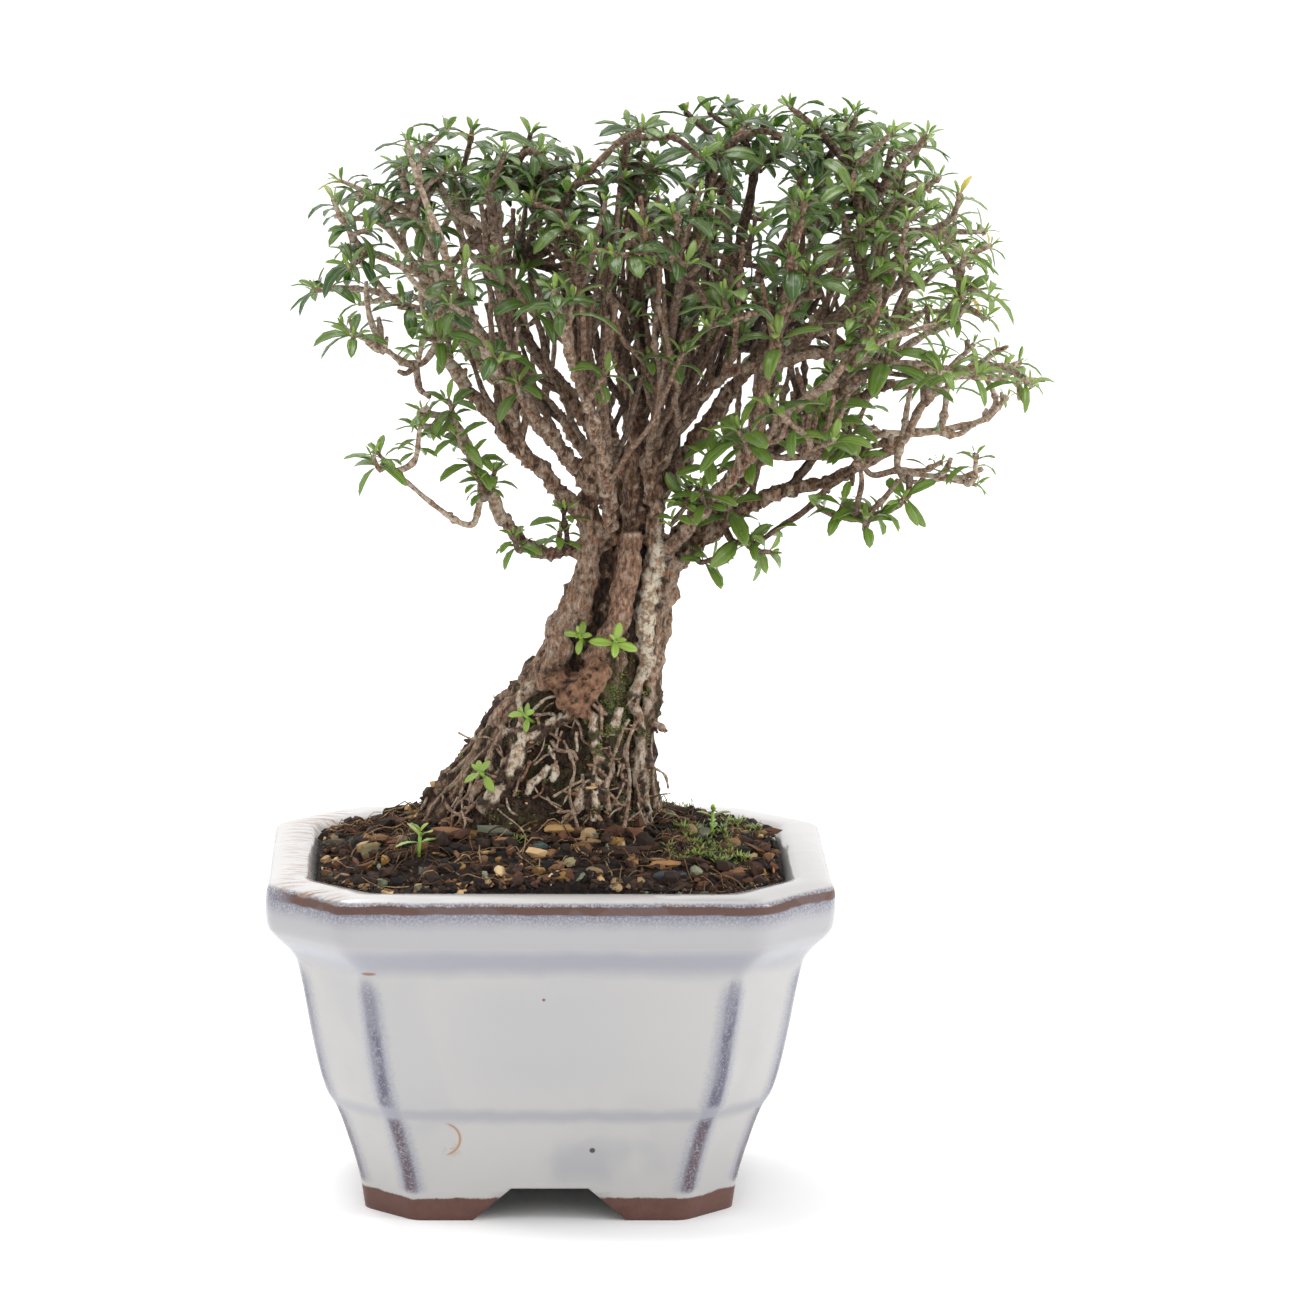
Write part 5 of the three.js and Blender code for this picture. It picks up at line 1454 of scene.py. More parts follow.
# ---------- trunk ----------
# Strands of wood on the front of the trunk: how pale and how red each is, and its course as
# (across, height as seen, radius).
FRONT_STRANDS = [
    (0.25, 0.3, [  # left stem
        (10.2, 153.5, 2.56), (9, 147.9, 2.7), (8.3, 144.2, 2.79), (7.5, 141.4, 2.89),
        (6.3, 136.8, 3.07), (4.4, 133.5, 3.26), (2.3, 130.2, 3.45), (1.8, 126.5, 3.07),
        (0.2, 123.2, 2.61), (-1.2, 120, 2.24), (-2.6, 116.7, 1.86),
    ]),
    (0.1, 0.7, [  # middle stem
        (18.1, 152.6, 2.61), (18.1, 147, 2.79), (17.4, 140.9, 2.89), (16.3, 135.4, 2.79),
        (14.4, 131.6, 2.7), (12.5, 127.9, 2.42), (10.7, 125.1, 2.14), (8.3, 122.8, 1.86),
    ]),
    (0.95, 0.1, [  # white stem
        (25.6, 151.7, 1.77), (24.6, 147.5, 1.86), (23.8, 142.8, 2.05), (22.9, 138.6, 2.24),
        (22.1, 134.4, 2.42), (21.7, 130.7, 2.52), (21.9, 127, 2.42), (22.6, 124.2, 2.05),
    ]),
    (0.7, 0.35, [  # white stem foot
        (23.3, 124.6, 1.68), (22.6, 123.2, 1.49), (21, 120.9, 1.3), (20.1, 117.2, 1.35),
        (19.4, 113.5, 1.4), (20.5, 110.7, 1.4), (20.6, 106.9, 1.35), (20.9, 102.8, 1.44),
        (21.4, 98.1, 1.21), (22, 93.4, 1.16), (22.8, 87.8, 1.12), (23.6, 83.2, 1.02),
    ]),
    (0.3, 0.3, [  # right stem
        (29.4, 145.6, 1.86), (26.6, 140, 1.9), (25.6, 135.8, 1.9), (24.2, 131.2, 1.8),
        (23.4, 127.4, 1.7), (22.8, 123.7, 1.6), (23.2, 120, 1.5), (23.2, 116.3, 1.3),
        (23.2, 112.5, 1.3), (22.9, 108.3, 1.12), (22.9, 105.1, 0.84),
    ]),
    (0.5, 0.2, [  # twisted right root
        (23, 116.3, 0.93), (22.6, 113, 1.02), (21.7, 110.7, 0.93), (20.9, 109.7, 0.84),
    ]),
    (0.8, 0.3, [  # burl foot root
        (7.9, 112.5, 1.58), (6, 110.9, 1.49), (2.3, 110.1, 1.3), (-1.7, 107.9, 1.68),
        (-3.7, 105.6, 2.14), (-6.6, 104.8, 2.14), (-7.4, 101.1, 1.86), (-9.4, 96.7, 1.96),
        (-11.7, 93.4, 1.86), (-14.5, 90.4, 1.68), (-16.3, 87.8, 1.4),
    ]),
    (0.6, 0.2, [  # burl foot branch
        (-6.6, 104.8, 1.86), (-8.4, 105.8, 1.4), (-9.9, 106.9, 0.93),
    ]),
    (0.85, 0.25, [  # front root
        (9.9, 111.1, 0.75), (10.1, 107.4, 1.02), (10.5, 102.8, 1.12), (10.9, 100.2, 1.49),
        (10.5, 97.2, 1.35), (10.6, 93.4, 1.3), (10, 89.2, 1.21), (9.7, 85.5, 1.02),
    ]),
    (0.85, 0.1, [  # front right root
        (16, 112.8, 0.93), (15.5, 110.7, 1.21), (14.7, 108.3, 1.4), (13.5, 105.8, 1.02),
    ]),
    (0.9, 0.0, [  # pale root a
        (-0.6, 103.7, 0.51), (0.8, 101.6, 0.7), (1.5, 99, 0.79), (1.2, 96.7, 0.84),
        (0.1, 95.1, 0.84),
    ]),
    (0.9, 0.0, [  # pale root b
        (-0.5, 99, 0.65), (-1.3, 97.2, 0.93), (-3, 95.5, 1.02), (-4.7, 93.4, 0.98),
        (-5.5, 91.6, 0.84),
    ]),
    (0.8, 0.0, [  # thin upright
        (-3.5, 118.1, 0.65), (-5.6, 116.7, 0.75), (-7, 115.3, 0.7), (-7.3, 113, 0.65),
        (-7.1, 110.2, 0.75), (-6.6, 107.4, 0.84),
    ]),
    (0.75, 0.4, [  # low curved end
        (6.6, 93.4, 1.02), (7, 91.6, 1.26), (6.6, 89.9, 1.3), (5, 89, 0.84),
    ]),
    (0.4, 0.1, [  # left of burl
        (-1.2, 119.1, 1.02), (-4.2, 117.2, 1.21), (-6.1, 114.9, 1.12),
    ]),
    (0.3, 0.5, [  # crossing root
        (-0, 104.8, 0.42), (1.8, 102.5, 0.47), (3.7, 102.3, 0.47), (5.3, 102.1, 0.47),
        (6.2, 100, 0.37),
    ]),
    (0.6, 0.6, [  # straw a
        (0.5, 91.3, 0.23), (4.2, 93.7, 0.28), (7.8, 95.6, 0.28),
    ]),
    (0.6, 0.3, [  # twiglet a
        (7.3, 96.9, 0.37), (7.5, 94.8, 0.42), (8.8, 93, 0.42), (11.2, 91.1, 0.37),
    ]),
    (0.5, 0.4, [  # thin right
        (18.1, 109.7, 0.42), (16.8, 107.6, 0.42), (15.1, 102.3, 0.42), (14.4, 100.9, 0.37),
    ]),
    (0.5, 0.6, [  # far straw
        (17.8, 102.3, 0.19), (17.7, 97.6, 0.23), (16.3, 93, 0.23), (13.7, 88.3, 0.23),
    ]),
    (0.4, 0.5, [  # far right hair
        (22.8, 101.6, 0.37), (24.1, 98.8, 0.42), (24, 95.3, 0.42), (24.7, 91.1, 0.42),
        (24.5, 88.3, 0.37),
    ]),
    (0.1, 0.2, [  # stub right
        (23.2, 107.8, 0.75), (25.1, 106.7, 0.84), (27.4, 104.5, 0.79),
    ]),
    (0.2, 0.4, [  # stub left
        (-5.6, 117.2, 0.47), (-6.5, 118.1, 0.93), (-7.6, 118.2, 0.79),
    ]),
    (0.3, 0.5, [  # stub upper right
        (26.1, 136, 1.4), (28.5, 136.7, 1.35), (30.1, 137.4, 1.21),
    ]),
    (0.2, 0.1, [  # small knob left
        (-2.1, 119.5, 0.65), (-3.2, 121.1, 0.61), (-3.9, 121.8, 0.47),
    ]),
]
# More roots low on the trunk, in the same form.
LOW_ROOTS = [
    (0.3, 0.3, [(-12.4, 108, 0.7), (-10.1, 107.2, 0.8), (-6, 106.9, 0.7), (-2.2, 107.9, 0.6)]),
    (0.1, 0.5, [(-6, 115, 1.0), (-9.5, 112.6, 1.2), (-12.3, 109.6, 1.2), (-14, 106.6, 0.9)]),
    (0.3, 0.3, [(-11, 106, 0.8), (-14, 101, 1.1), (-14.4, 96, 1.1), (-18.6, 90, 1.0)]),
    (0.3, 0.2, [(-16, 104, 0.8), (-19.6, 97.5, 1.0), (-21.4, 92, 1.1), (-25, 86.5, 1.0)]),
    (0.2, 0.3, [(-10.4, 100, 0.8), (-12.6, 96, 0.9), (-16.6, 93.6, 0.9), (-19, 88, 0.9)]),
    (0.6, 0.2, [(6, 94, 1.0), (7.4, 90.6, 1.1), (5.6, 87.6, 1.0), (2.4, 86.6, 0.9)]),
    (0.4, 0.5, [(13.4, 104, 0.5), (14.2, 99, 0.7), (13, 94, 0.8), (13.8, 88, 0.6)]),
    (0.3, 0.2, [(17.4, 104, 0.6), (16.6, 98, 0.9), (18, 93, 0.9), (17.4, 87, 0.7)]),
]
# The two-lobed scar on the front: middle across, height as seen, and its half sizes.
SCAR_LOBES = [
    ((1.6, 119.2), (3.1, 2.8, 2.9)),
    ((5.0, 118.6), (2.8, 2.2, 2.6)),
    ((10.6, 121.0), (3.4, 3.0, 2.9)),
    ((8.9, 118.6), (3.7, 3.1, 3.2)),
    ((6.8, 116.2), (4.2, 3.1, 3.5)),
    ((4.8, 114.6), (3.7, 2.8, 2.8)),
    ((6.6, 112.2), (2.7, 2.4, 2.6)),
]
SCAR_LEVEL = 117
STEM_LEVELS = (148, 156)  # over these heights the fused foot gives way to single stems
# Knobs at the trunk's edges and back: middle and half size.
KNOBS = [
    ((2.4, -4, 131.2), (3.2, 3.0, 3.3)),
    ((15, -6, 133.6), (2.3, 2.0, 2.1)),
    ((8.4, -6, 134.6), (1.6, 1.6, 1.8)),
    ((25.6, -2, 137.4), (2.6, 2.6, 2.2)),
    ((-2.4, -5, 123.0), (1.4, 1.4, 1.1)),
    ((14, 9, 128.0), (4.6, 3.4, 4.2)),
    ((2, 10, 112.0), (4.2, 3.0, 5.0)),
]
# Foot, way, radius and length.
BROKEN_STUBS = [
    ((8, 8, 140), (-0.4, 1, 0.4), 1.2, 4.0),
]
VOXEL = 0.71  # cell of the grid that the trunk's skin is made on
BODY_INSET = (3.4, 1.7)  # how far the dark body lies inside the trunk's outline, front and back
THIN_ROOT = 0.62  # thinner strands are a piece of their own
BACK_ROOTS, FINE_ROOTS, FRONT_HAIRS = 15, 60, 84


def ball(pile, middle, half, **values):
    """A closed ellipsoid."""
    rings, sides = 9, 14
    tilt = np.linspace(-math.pi / 2 * 0.96, math.pi / 2 * 0.96, rings)
    turn = np.arange(sides) * math.tau / sides
    shape = np.stack([
        np.cos(tilt)[:, None] * np.cos(turn)[None],
        np.cos(tilt)[:, None] * np.sin(turn)[None],
        np.repeat(np.sin(tilt)[:, None], sides, 1),
    ], -1)
    pile.add(np.array(middle) + shape.reshape(-1, 3) * np.array(half), ring_faces(rings, sides), **values)


def body_rings(inset_share=1.0):
    """The points and faces of the trunk's body, set in by a share of the inset."""
    sides, heights = 72, np.arange(76.0, 152.1, 1.5)
    rings = []
    for z in heights:
        for k in range(sides):
            angle = k * math.tau / sides
            inset = mix(BODY_INSET[1], BODY_INSET[0], max(0.0, -math.sin(angle)) ** 0.5)
            shape = on_trunk(angle, max(z, 79.0), -inset * inset_share)
            shape[2] = z
            rings.append(shape)
    return np.array(rings), ring_faces(len(heights), sides)


def surface_of(pile):
    """A pile's faces for casting rays."""
    faces = []
    for blocks in pile.faces.values():
        faces += np.concatenate(blocks).tolist()
    return BVHTree.FromPolygons(np.concatenate(pile.points).tolist(), faces)


def drape(surface, x, seen):
    """The point of the front surface at a place across and a height as seen."""
    y = -14.0
    for _ in range(3):
        z = seen - SEEN_TILT * y
        hit = surface.ray_cast(Vector((x, -90, z)), Vector((0, 1, 0)))[0]
        if hit is None:
            hit = surface.find_nearest(Vector((x, -8, z)))[0]
            return np.array([x, hit.y, z])
        y = hit.y
    return np.array([x, y, seen - SEEN_TILT * y])


def trunk_sticks(pile, chance):
    """The upright stems and the limbs' bare feet."""
    for stick in wood.sticks[:SOLID_STICKS]:
        if stick.bare > 0:
            inner, radii = stick.points[: stick.bare + 1], stick.radii[: stick.bare + 1]
            add_wood(pile, inner, radii * 0.84, chance, 1.0, 12, 0.9)


# The roots on the solid's back: radius, and course as (share of the half width, height).
ROOTS = [
    (2.4, [(0.4, 140), (0.3, 124), (0.5, 108), (0.55, 94), (0.7, 82)]),
    (2.6, [(0, 132), (-0.1, 116), (0.1, 102), (0, 82)]),
    (2.2, [(-0.4, 126), (-0.5, 110), (-0.6, 96), (-0.7, 82)]),
]


def back_strands(chance):
    """(pale, red, points, radii) of the roots of the solid's back and of seeded ones beside them."""
    found = []
    for radius, path in ROOTS:
        points = [on_trunk(side_angle(side, False), z, -radius * 0.1) for side, z in path]
        found.append((0.4, 0.3, np.array(points), np.linspace(radius, radius * 0.6, len(path))))
    for n in range(BACK_ROOTS):
        angle = mix(-0.15, math.pi + 0.15, (n + next(chance)) / BACK_ROOTS)
        z, radius = mix(110, 152, next(chance)), mix(1.3, 2.8, next(chance))
        points = []
        while z > 77:
            place = on_trunk(angle, max(z, 79), -radius * mix(0.3, 0.75, next(chance)))
            points.append((place[0], place[1], z))
            angle += 0.16 * (next(chance) - 0.5)
            z -= mix(4, 8, next(chance))
        radii = np.linspace(radius, radius * 0.7, len(points))
        found.append((0.6 * next(chance), next(chance), np.array(points), radii))
    return found


def front_strands(surface):
    """(pale, red, points, radii) of the strands in front, laid on the trunk's outline."""
    found = []
    for pale, red, course in FRONT_STRANDS + LOW_ROOTS:
        points = np.array([drape(surface, x, seen) for x, seen, _ in course])
        radii = np.array([r for _, _, r in course])
        points[:, 1] = np.convolve(np.pad(points[:, 1], 1, mode="edge"), [0.25, 0.5, 0.25], "valid")
        points[:, 1] -= radii * 0.05
        found.append((pale, red, points, radii))
    return found


def fine_roots(chance):
    """(pale, red, points, radii) of seeded thin roots all round the trunk's foot."""
    found = []
    for _ in range(FINE_ROOTS):
        angle = next(chance) * math.tau
        if math.sin(angle) < -0.35 and next(chance) < 0.82:
            continue
        z, points = mix(92, 122, next(chance)), []
        drift = mix(-0.05, 0.05, next(chance))
        radius = mix(0.3, 1.1, next(chance) ** 2)
        while z > 76:
            points.append(on_trunk(angle, max(z, 79), radius * mix(-1.4, 0.3, next(chance))))
            points[-1][2] = z
            angle += drift + 0.2 * (next(chance) - 0.5)
            z -= mix(2.5, 5.5, next(chance))
        if len(points) > 2:
            radii = np.linspace(radius, radius * 0.6, len(points))
            found.append((0.75 * next(chance), next(chance), np.array(points), radii))
    return found


def front_hairs(surface, chance):
    """(pale, red, points, radii) of thin dead roots that lie over the front of the foot."""
    found = []
    for _ in range(FRONT_HAIRS):
        x, seen = mix(-22, 23, next(chance)), mix(84, 114, next(chance))
        if seen > 112 + 1.1 * (x + 8):
            continue
        turn, length = next(chance) * math.tau, mix(3, 10, next(chance))
        radius = mix(0.14, 0.4, next(chance) ** 1.5)
        course = []
        for k in range(4):
            along_x, along_z = math.cos(turn) * length * k / 3, math.sin(turn) * length * k / 3
            spot = drape(surface, x + along_x, seen + along_z)
            course.append(spot + np.array([0, -radius - 1.6 * next(chance) + 1.2, 0]))
            turn += 0.5 * (next(chance) - 0.5)
        found.append((0.7 * next(chance), next(chance), np.array(course), np.full(4, radius)))
    return found


def remeshed(pile, name):
    """One skin over overlapping closed shapes."""
    rough = pile.mesh(name + "_rough")
    holder = put(name + "_rough", rough)
    remesh = holder.modifiers.new("skin", "REMESH")
    remesh.mode = "VOXEL"
    remesh.voxel_size = VOXEL * MM
    graph = bpy.context.evaluated_depsgraph_get()
    mesh = bpy.data.meshes.new_from_object(holder.evaluated_get(graph))
    mesh.name = name
    bpy.data.objects.remove(holder)
    bpy.data.meshes.remove(rough)
    return mesh


def vertices_of(mesh, name="co"):
    values = np.zeros(len(mesh.vertices) * 3, np.float32)
    if name == "co":
        mesh.vertices.foreach_get("co", values)
        return values.reshape(-1, 3).astype(float) / MM - OFFSET
    mesh.vertices.foreach_get("normal", values)
    return values.reshape(-1, 3).astype(float)


def nearest_of(points, places):
    """The number of the nearest of the points to each place, and how far away it is."""
    tree = kdtree.KDTree(len(points))
    for k, point in enumerate(np.asarray(points).tolist()):
        tree.insert(point, k)
    tree.balance()
    found = [tree.find(place) for place in places.tolist()]
    return np.array([number for _, number, _ in found]), np.array([away for _, _, away in found])


def noise_at(points, scale, octaves=3, seed=0.0):
    """Smooth noise round zero at each point, for features of about one scale in millimetres."""
    shift = Vector((seed, seed * 1.7, -seed))
    return np.array([
        noise.fractal(Vector(p) / scale + shift, 0.6, 2.1, octaves) for p in points.tolist()
    ])


def hollows(mesh, points, normals, rounds=6):
    """How deep each point lies in a hollow, in millimetres; below zero on a ridge."""
    edges = np.zeros(len(mesh.edges) * 2, np.int32)
    mesh.edges.foreach_get("vertices", edges)
    a, b = edges[0::2], edges[1::2]
    count = np.bincount(a, minlength=len(points)) + np.bincount(b, minlength=len(points))
    blurred = points.copy()
    for _ in range(rounds):
        total = np.stack([
            np.bincount(a, blurred[b, c], len(points)) + np.bincount(b, blurred[a, c], len(points))
            for c in range(3)
        ], 1)
        blurred = total / np.maximum(count, 1)[:, None]
    return ((blurred - points) * normals).sum(1)


NO_GRAIN = {"grain": (0.0, 0.0, 0.0)}  # a body that is remeshed gets its grain afterwards


def scar_lobes(surface):
    """The middle and half sizes of each lobe of the scar, set a little out of the surface."""
    places = [(drape(surface, *place), np.array(half)) for place, half in SCAR_LOBES]
    return [(place - np.array([0, half[1] * 0.35, 0]), half) for place, half in places]


def trunk_core(lobes, chance):
    """The trunk's body, stems, scar and knobs, which overlap."""
    core = Pile()
    core.add(*body_rings(), **NO_GRAIN)
    trunk_sticks(core, chance)
    for middle, half in lobes + KNOBS:
        ball(core, middle, half, **NO_GRAIN)
    return core


def soft_patch(points, x, z, wide, tall):
    """1 at a place across and up, falling softly to 0 round it."""
    return np.exp(-(((points[:, 0] - x) / wide) ** 2) - ((points[:, 2] - z) / tall) ** 2)


def trunk_relief(points, on_root, scar, folds):
    """How far each point moves out: lumps and fibres, less on roots, and folds in the scar."""
    lumps = noise_at(points, 6.0, 3, 3.1)
    fibres = noise_at(points * np.array([1, 1, 0.5]), 1.5, 3, 9.7)
    high = smoothstep(points[:, 2], *STEM_LEVELS)
    depth = lumps * mix(0.8, 0.3, np.maximum(on_root, high)) + fibres * mix(0.85, 0.4, on_root)
    fold = np.exp(-((folds / 0.09) ** 2))
    depth = depth - fold * mix(0.22, 0.75, scar)
    return mix(depth, 0.9 * lumps + 0.5 * fibres - 0.8 * fold, scar)


def trunk_cover(mesh, points, pale, on_root, scar, folds, high):
    """How pale, mossy and dark the bark is at each point, and how deep the point lies. The dark is
    painted shade in hollows and in the scar's folds, and darker bark low down; the pale is the roots' own
    colour and a painted highlight on ridges.
    """
    normals = vertices_of(mesh, "normal")
    deep, wide = hollows(mesh, points, normals), hollows(mesh, points, normals, 30)
    low = smoothstep(124 - points[:, 2], 0, 14)
    off_root = 1 - np.maximum(on_root, scar)
    damp = smoothstep(noise_at(points, 8.0, 2, 21.0), -0.05, 0.3)
    front_right = soft_patch(points, 13.5, 115, 6, 9)
    moss = np.clip(damp * low * 0.6 * off_root + 1.3 * front_right * off_root, 0, 1)
    # Painted shade in small and wide hollows.
    dark = smoothstep(deep, -0.02, 0.3) * 0.85 + smoothstep(wide, 0.05, 1.0) * 0.8
    dark = dark + low * off_root * 0.85 + (1 - high) * off_root * 0.25
    dark = dark + smoothstep(93 - points[:, 2], 0, 12) * 0.4 - 0.3 * scar
    # Painted shade in the scar's folds.
    dark = dark + 0.6 * scar * np.exp(-((folds / 0.1) ** 2))
    # Painted highlight: ridges are paler.
    ridge = smoothstep(-deep, 0.1, 0.5) * 0.4 * (1 - scar)
    pale = np.maximum(pale * on_root * (1 - 0.6 * scar), ridge)
    return np.stack([pale, moss, np.clip(dark * 1.08 + 0.03, 0, 0.96)], 1), normals, deep


def make_trunk():
    """The trunk; gives its points, normals, hollows and roots for the moss and the crumbs."""
    chance = stream(SEED + 40)
    body = Pile()
    body.add(*body_rings(0.0))
    surface = surface_of(body)
    lobes = scar_lobes(surface)
    core = trunk_core(lobes, chance)
    strands = front_strands(surface) + back_strands(chance) + fine_roots(chance)
    strands += front_hairs(surface, chance)
    for _, _, points, radii in strands:
        if radii.max() > THIN_ROOT:
            add_wood(core, points, radii, chance, 0.9, 12, 0.9)
    mesh = remeshed(core, "trunk_wood")
    points, normals = vertices_of(mesh), vertices_of(mesh, "normal")
    pale, red, on_root = strand_looks(strands, points)
    scar = scar_share(lobes, points)
    folds = noise_at(points * np.array([1, 1, 0.6]), 3.4, 3, 15.0)
    high = smoothstep(points[:, 2], *STEM_LEVELS)
    points = points + normals * trunk_relief(points, on_root, scar, folds)[:, None]
    mesh.vertices.foreach_set("co", in_part(points).ravel().astype(np.float32))
    mesh.update()
    cover, normals, deep = trunk_cover(mesh, points, pale, on_root, scar, folds, high)
    grain = points + np.array([0, 0, 300.0])
    grain[:, 2] += 1.4 * scar * (points[:, 2] - SCAR_LEVEL)
    set_value(mesh, "grain", grain)
    set_value(mesh, "cover", cover)
    set_value(mesh, "red", np.maximum(red * on_root, SCAR_RED * scar))
    new_piece(mesh, BARK_MATERIAL, "bark", "trunk")
    make_rootlets(strands, chance)
    return points, normals, deep, np.maximum(on_root, scar)


def make_rootlets(strands, chance):
    """The strands too thin for the trunk's skin, with a broken stub and hanging roots."""
    thin = Pile()
    for pale, red, path, radii in strands:
        if radii.max() <= THIN_ROOT:
            add_wood(thin, path, radii, chance, 0.8, 6, 0.7, cover=(pale, 0, 0), red=red)
    for foot, way, radius, length in BROKEN_STUBS:
        foot = np.array(foot, float)
        add_stub(thin, foot, unit(way), radius, length, chance, cover=(0.2, 0, 0.1), red=0.3)
    for radius, path in HANGING:
        add_wood(thin, path, [radius] * len(path), chance, 0.8, 6, 0.8, cover=(0.35, 0, 0.1), red=0.4)
    new_piece(thin.mesh("trunk_rootlets"), BARK_MATERIAL, "bark", "trunk")


def strand_looks(strands, points):
    """How pale and red the trunk is at each point, and how surely it is on a strand."""
    marks, places = [], []
    for pale, red, path, radii in strands:
        fine = smooth(path, 0.8)
        at = np.linspace(0, 1, len(fine))
        thick = np.interp(at, np.linspace(0, 1, len(radii)), radii)
        places += list(fine)
        marks += [(pale, red, radius) for radius in thick]
    near, away = nearest_of(places, points)
    looks = np.array(marks)[near]
    return looks[:, 0], looks[:, 1], smoothstep(looks[:, 2] * 1.35 + 0.5 - away, 0, 0.6)


def scar_share(lobes, points):
    """How much each point belongs to the scar on the front."""
    share = np.zeros(len(points))
    for middle, half in lobes:
        away = np.linalg.norm((points - middle) / half, axis=1)
        share = np.maximum(share, smoothstep(1.35 - away, 0, 0.25))
    return share


# Thin roots that hang free from the trunk's side into the soil.
HANGING = [
    (0.3, [(-15, -8, 104), (-19.5, -9, 99), (-20.5, -9.5, 94), (-23, -10, 88)]),
    (0.35, [(20, -13, 112), (17.5, -17, 106), (18.4, -18.5, 98), (17, -20, 88)]),
    (0.3, [(3, -17, 108), (5.4, -19.5, 102), (4.4, -21, 96), (6.4, -22, 88)]),
]


# ---------- soil ----------
POT_DEPTH_RATIO = 0.8  # depth over width
CORNER_CUT = 0.27  # of the half width
SOIL_HALF = 53.7  # half width of the soil
SOIL_BACK = 40  # no stone or moss seen from the front lies farther away
FIBRE_SIDES = 4
GRAINS, RIM_GRAINS, FRONT_GRAINS, PEBBLES = 4000, 760, 300, 260
CRUMBS, FIBRES, TRUNK_MOSS = 2400, 520, 800
FIBRE_HUES = (srgb(196, 164, 122), srgb(124, 90, 62), srgb(164, 130, 92), srgb(84, 60, 44))
# Share and colour of the grains.
HUES = [
    (0.32, srgb(44, 31, 24)), (0.2, srgb(62, 43, 33)), (0.13, srgb(30, 23, 18)),
    (0.14, srgb(96, 62, 44)), (0.08, srgb(138, 102, 70)), (0.06, srgb(198, 166, 122)),
    (0.04, srgb(124, 130, 112)), (0.03, srgb(160, 124, 68)),
]
# Larger stones: across and height as seen, half size, and colour.
STONES = [
    ((-30.1, 90.2), 2.3, srgb(96, 58, 44)), ((-8, 90.9), 2.3, srgb(140, 146, 124)),
    ((-4.2, 87.1), 2.1, srgb(168, 146, 84)), ((-0.6, 84), 2.5, srgb(196, 164, 112)),
    ((2.8, 83.4), 2.4, srgb(190, 150, 98)), ((8.1, 80.2), 2.4, srgb(190, 152, 108)),
    ((-2.4, 79.2), 2.2, srgb(104, 128, 122)), ((-14.7, 78.1), 1.5, srgb(190, 156, 112)),
    ((4.6, 75.5), 2.0, srgb(150, 146, 112)), ((10.4, 73.4), 2.2, srgb(206, 170, 122)),
    ((7, 72.2), 1.9, srgb(128, 136, 112)), ((1.1, 73.2), 1.5, srgb(206, 180, 136)),
    ((26.5, 75), 2.5, srgb(196, 146, 98)), ((27.6, 72.4), 2.6, srgb(76, 78, 84)),
    ((36.5, 87.1), 2.5, srgb(142, 148, 128)), ((29.5, 89.7), 2.0, srgb(176, 140, 98)),
    ((13.2, 86.4), 1.5, srgb(180, 146, 100)), ((-42, 78.3), 2.1, srgb(140, 128, 92)),
    ((34, 73.4), 2.1, srgb(140, 146, 124)), ((42.4, 80.2), 2.0, srgb(180, 146, 104)),
    ((-39.2, 70.8), 2.0, srgb(110, 118, 92)), ((-11.7, 73.4), 2.1, srgb(206, 180, 138)),
    ((-24, 74), 2.6, srgb(58, 42, 34)), ((16, 78), 2.8, srgb(52, 38, 30)),
    ((-20, 82), 2.7, srgb(88, 56, 42)), ((22, 80), 2.6, srgb(66, 46, 36)),
]


def on_soil(across, seen):
    """The place of the soil that lies at a place across and a height as seen."""
    way = sight(across, seen)
    for far in np.arange(DISTANCE - 80, DISTANCE + 90, 0.5):
        x, y, z = EYE + way * far
        if z < soil_level(x, y) or y > SOIL_BACK:
            break
    return x, y


def pot_corners(half):
    """The eight corners of the pot's outline at a half width, from the front right one round."""
    w, d, cut = half, half * POT_DEPTH_RATIO, CORNER_CUT * half
    return np.array([
        (w, -d + cut), (w, d - cut), (w - cut, d), (-w + cut, d),
        (-w, d - cut), (-w, -d + cut), (-w + cut, -d), (w - cut, -d),
    ])


def outline(half, pieces):
    """The pot's cut-corner outline, with each edge split into pieces."""
    corners = pot_corners(half)
    ring = []
    for i, corner in enumerate(corners):
        after = corners[(i + 1) % 8]
        ring += [mix(corner, after, k / pieces) for k in range(pieces)]
    return np.array(ring)


def inside_outline(x, y, half):
    w, d, cut = half, half * POT_DEPTH_RATIO, CORNER_CUT * half
    return abs(x) < w and abs(y) < d and (w - abs(x)) + (d - abs(y)) > cut


SOIL_GAP = (45, 36, 5)  # middle and depth of the gap in the far right corner


def soil_level(x, y):
    """The mound with its bumps, and with the gap in the far right corner."""
    bumps = noise.fractal(Vector((x, y, 5.0)) / 6.5, 0.6, 2.1, 4)
    gap = math.exp(-(((x - SOIL_GAP[0]) / 6) ** 2) - ((y - SOIL_GAP[1]) / 6) ** 2)
    return soil_height(x, y) + 1.8 * bumps - SOIL_GAP[2] * gap


CHIP_SHARE = 0.38  # of the grains, long flat chips of bark and wood
GRAIN_STRETCH = ((0.75, 1.25), (0.6, 1.0), (0.5, 0.8))


def add_grain(pile, middle, half, hue, chance, fine=False):
    """A broken grain or pebble: a lumpy closed stone, flattened and turned."""
    points, faces = FINE_STONE if fine else COARSE_STONE
    turn = Matrix.Rotation(next(chance) * math.tau, 3, "Z") @ Matrix.Rotation(next(chance) * 1.4, 3, "X")
    stretch = np.array([mix(*ends, next(chance)) for ends in GRAIN_STRETCH])
    if next(chance) < CHIP_SHARE:
        stretch *= (1.6, 0.75, 0.6)
    rough = np.array([1 + (0.42 if fine else 0.8) * (next(chance) - 0.5) for _ in range(len(points))])
    shape = (points * rough[:, None] * stretch * half) @ np.array(turn).T
    tint = mix(0.75, 1.25, next(chance))
    pile.add(np.array(middle) + shape, [faces], hue=np.array(hue[:3]) * tint, spot=tuple(middle))


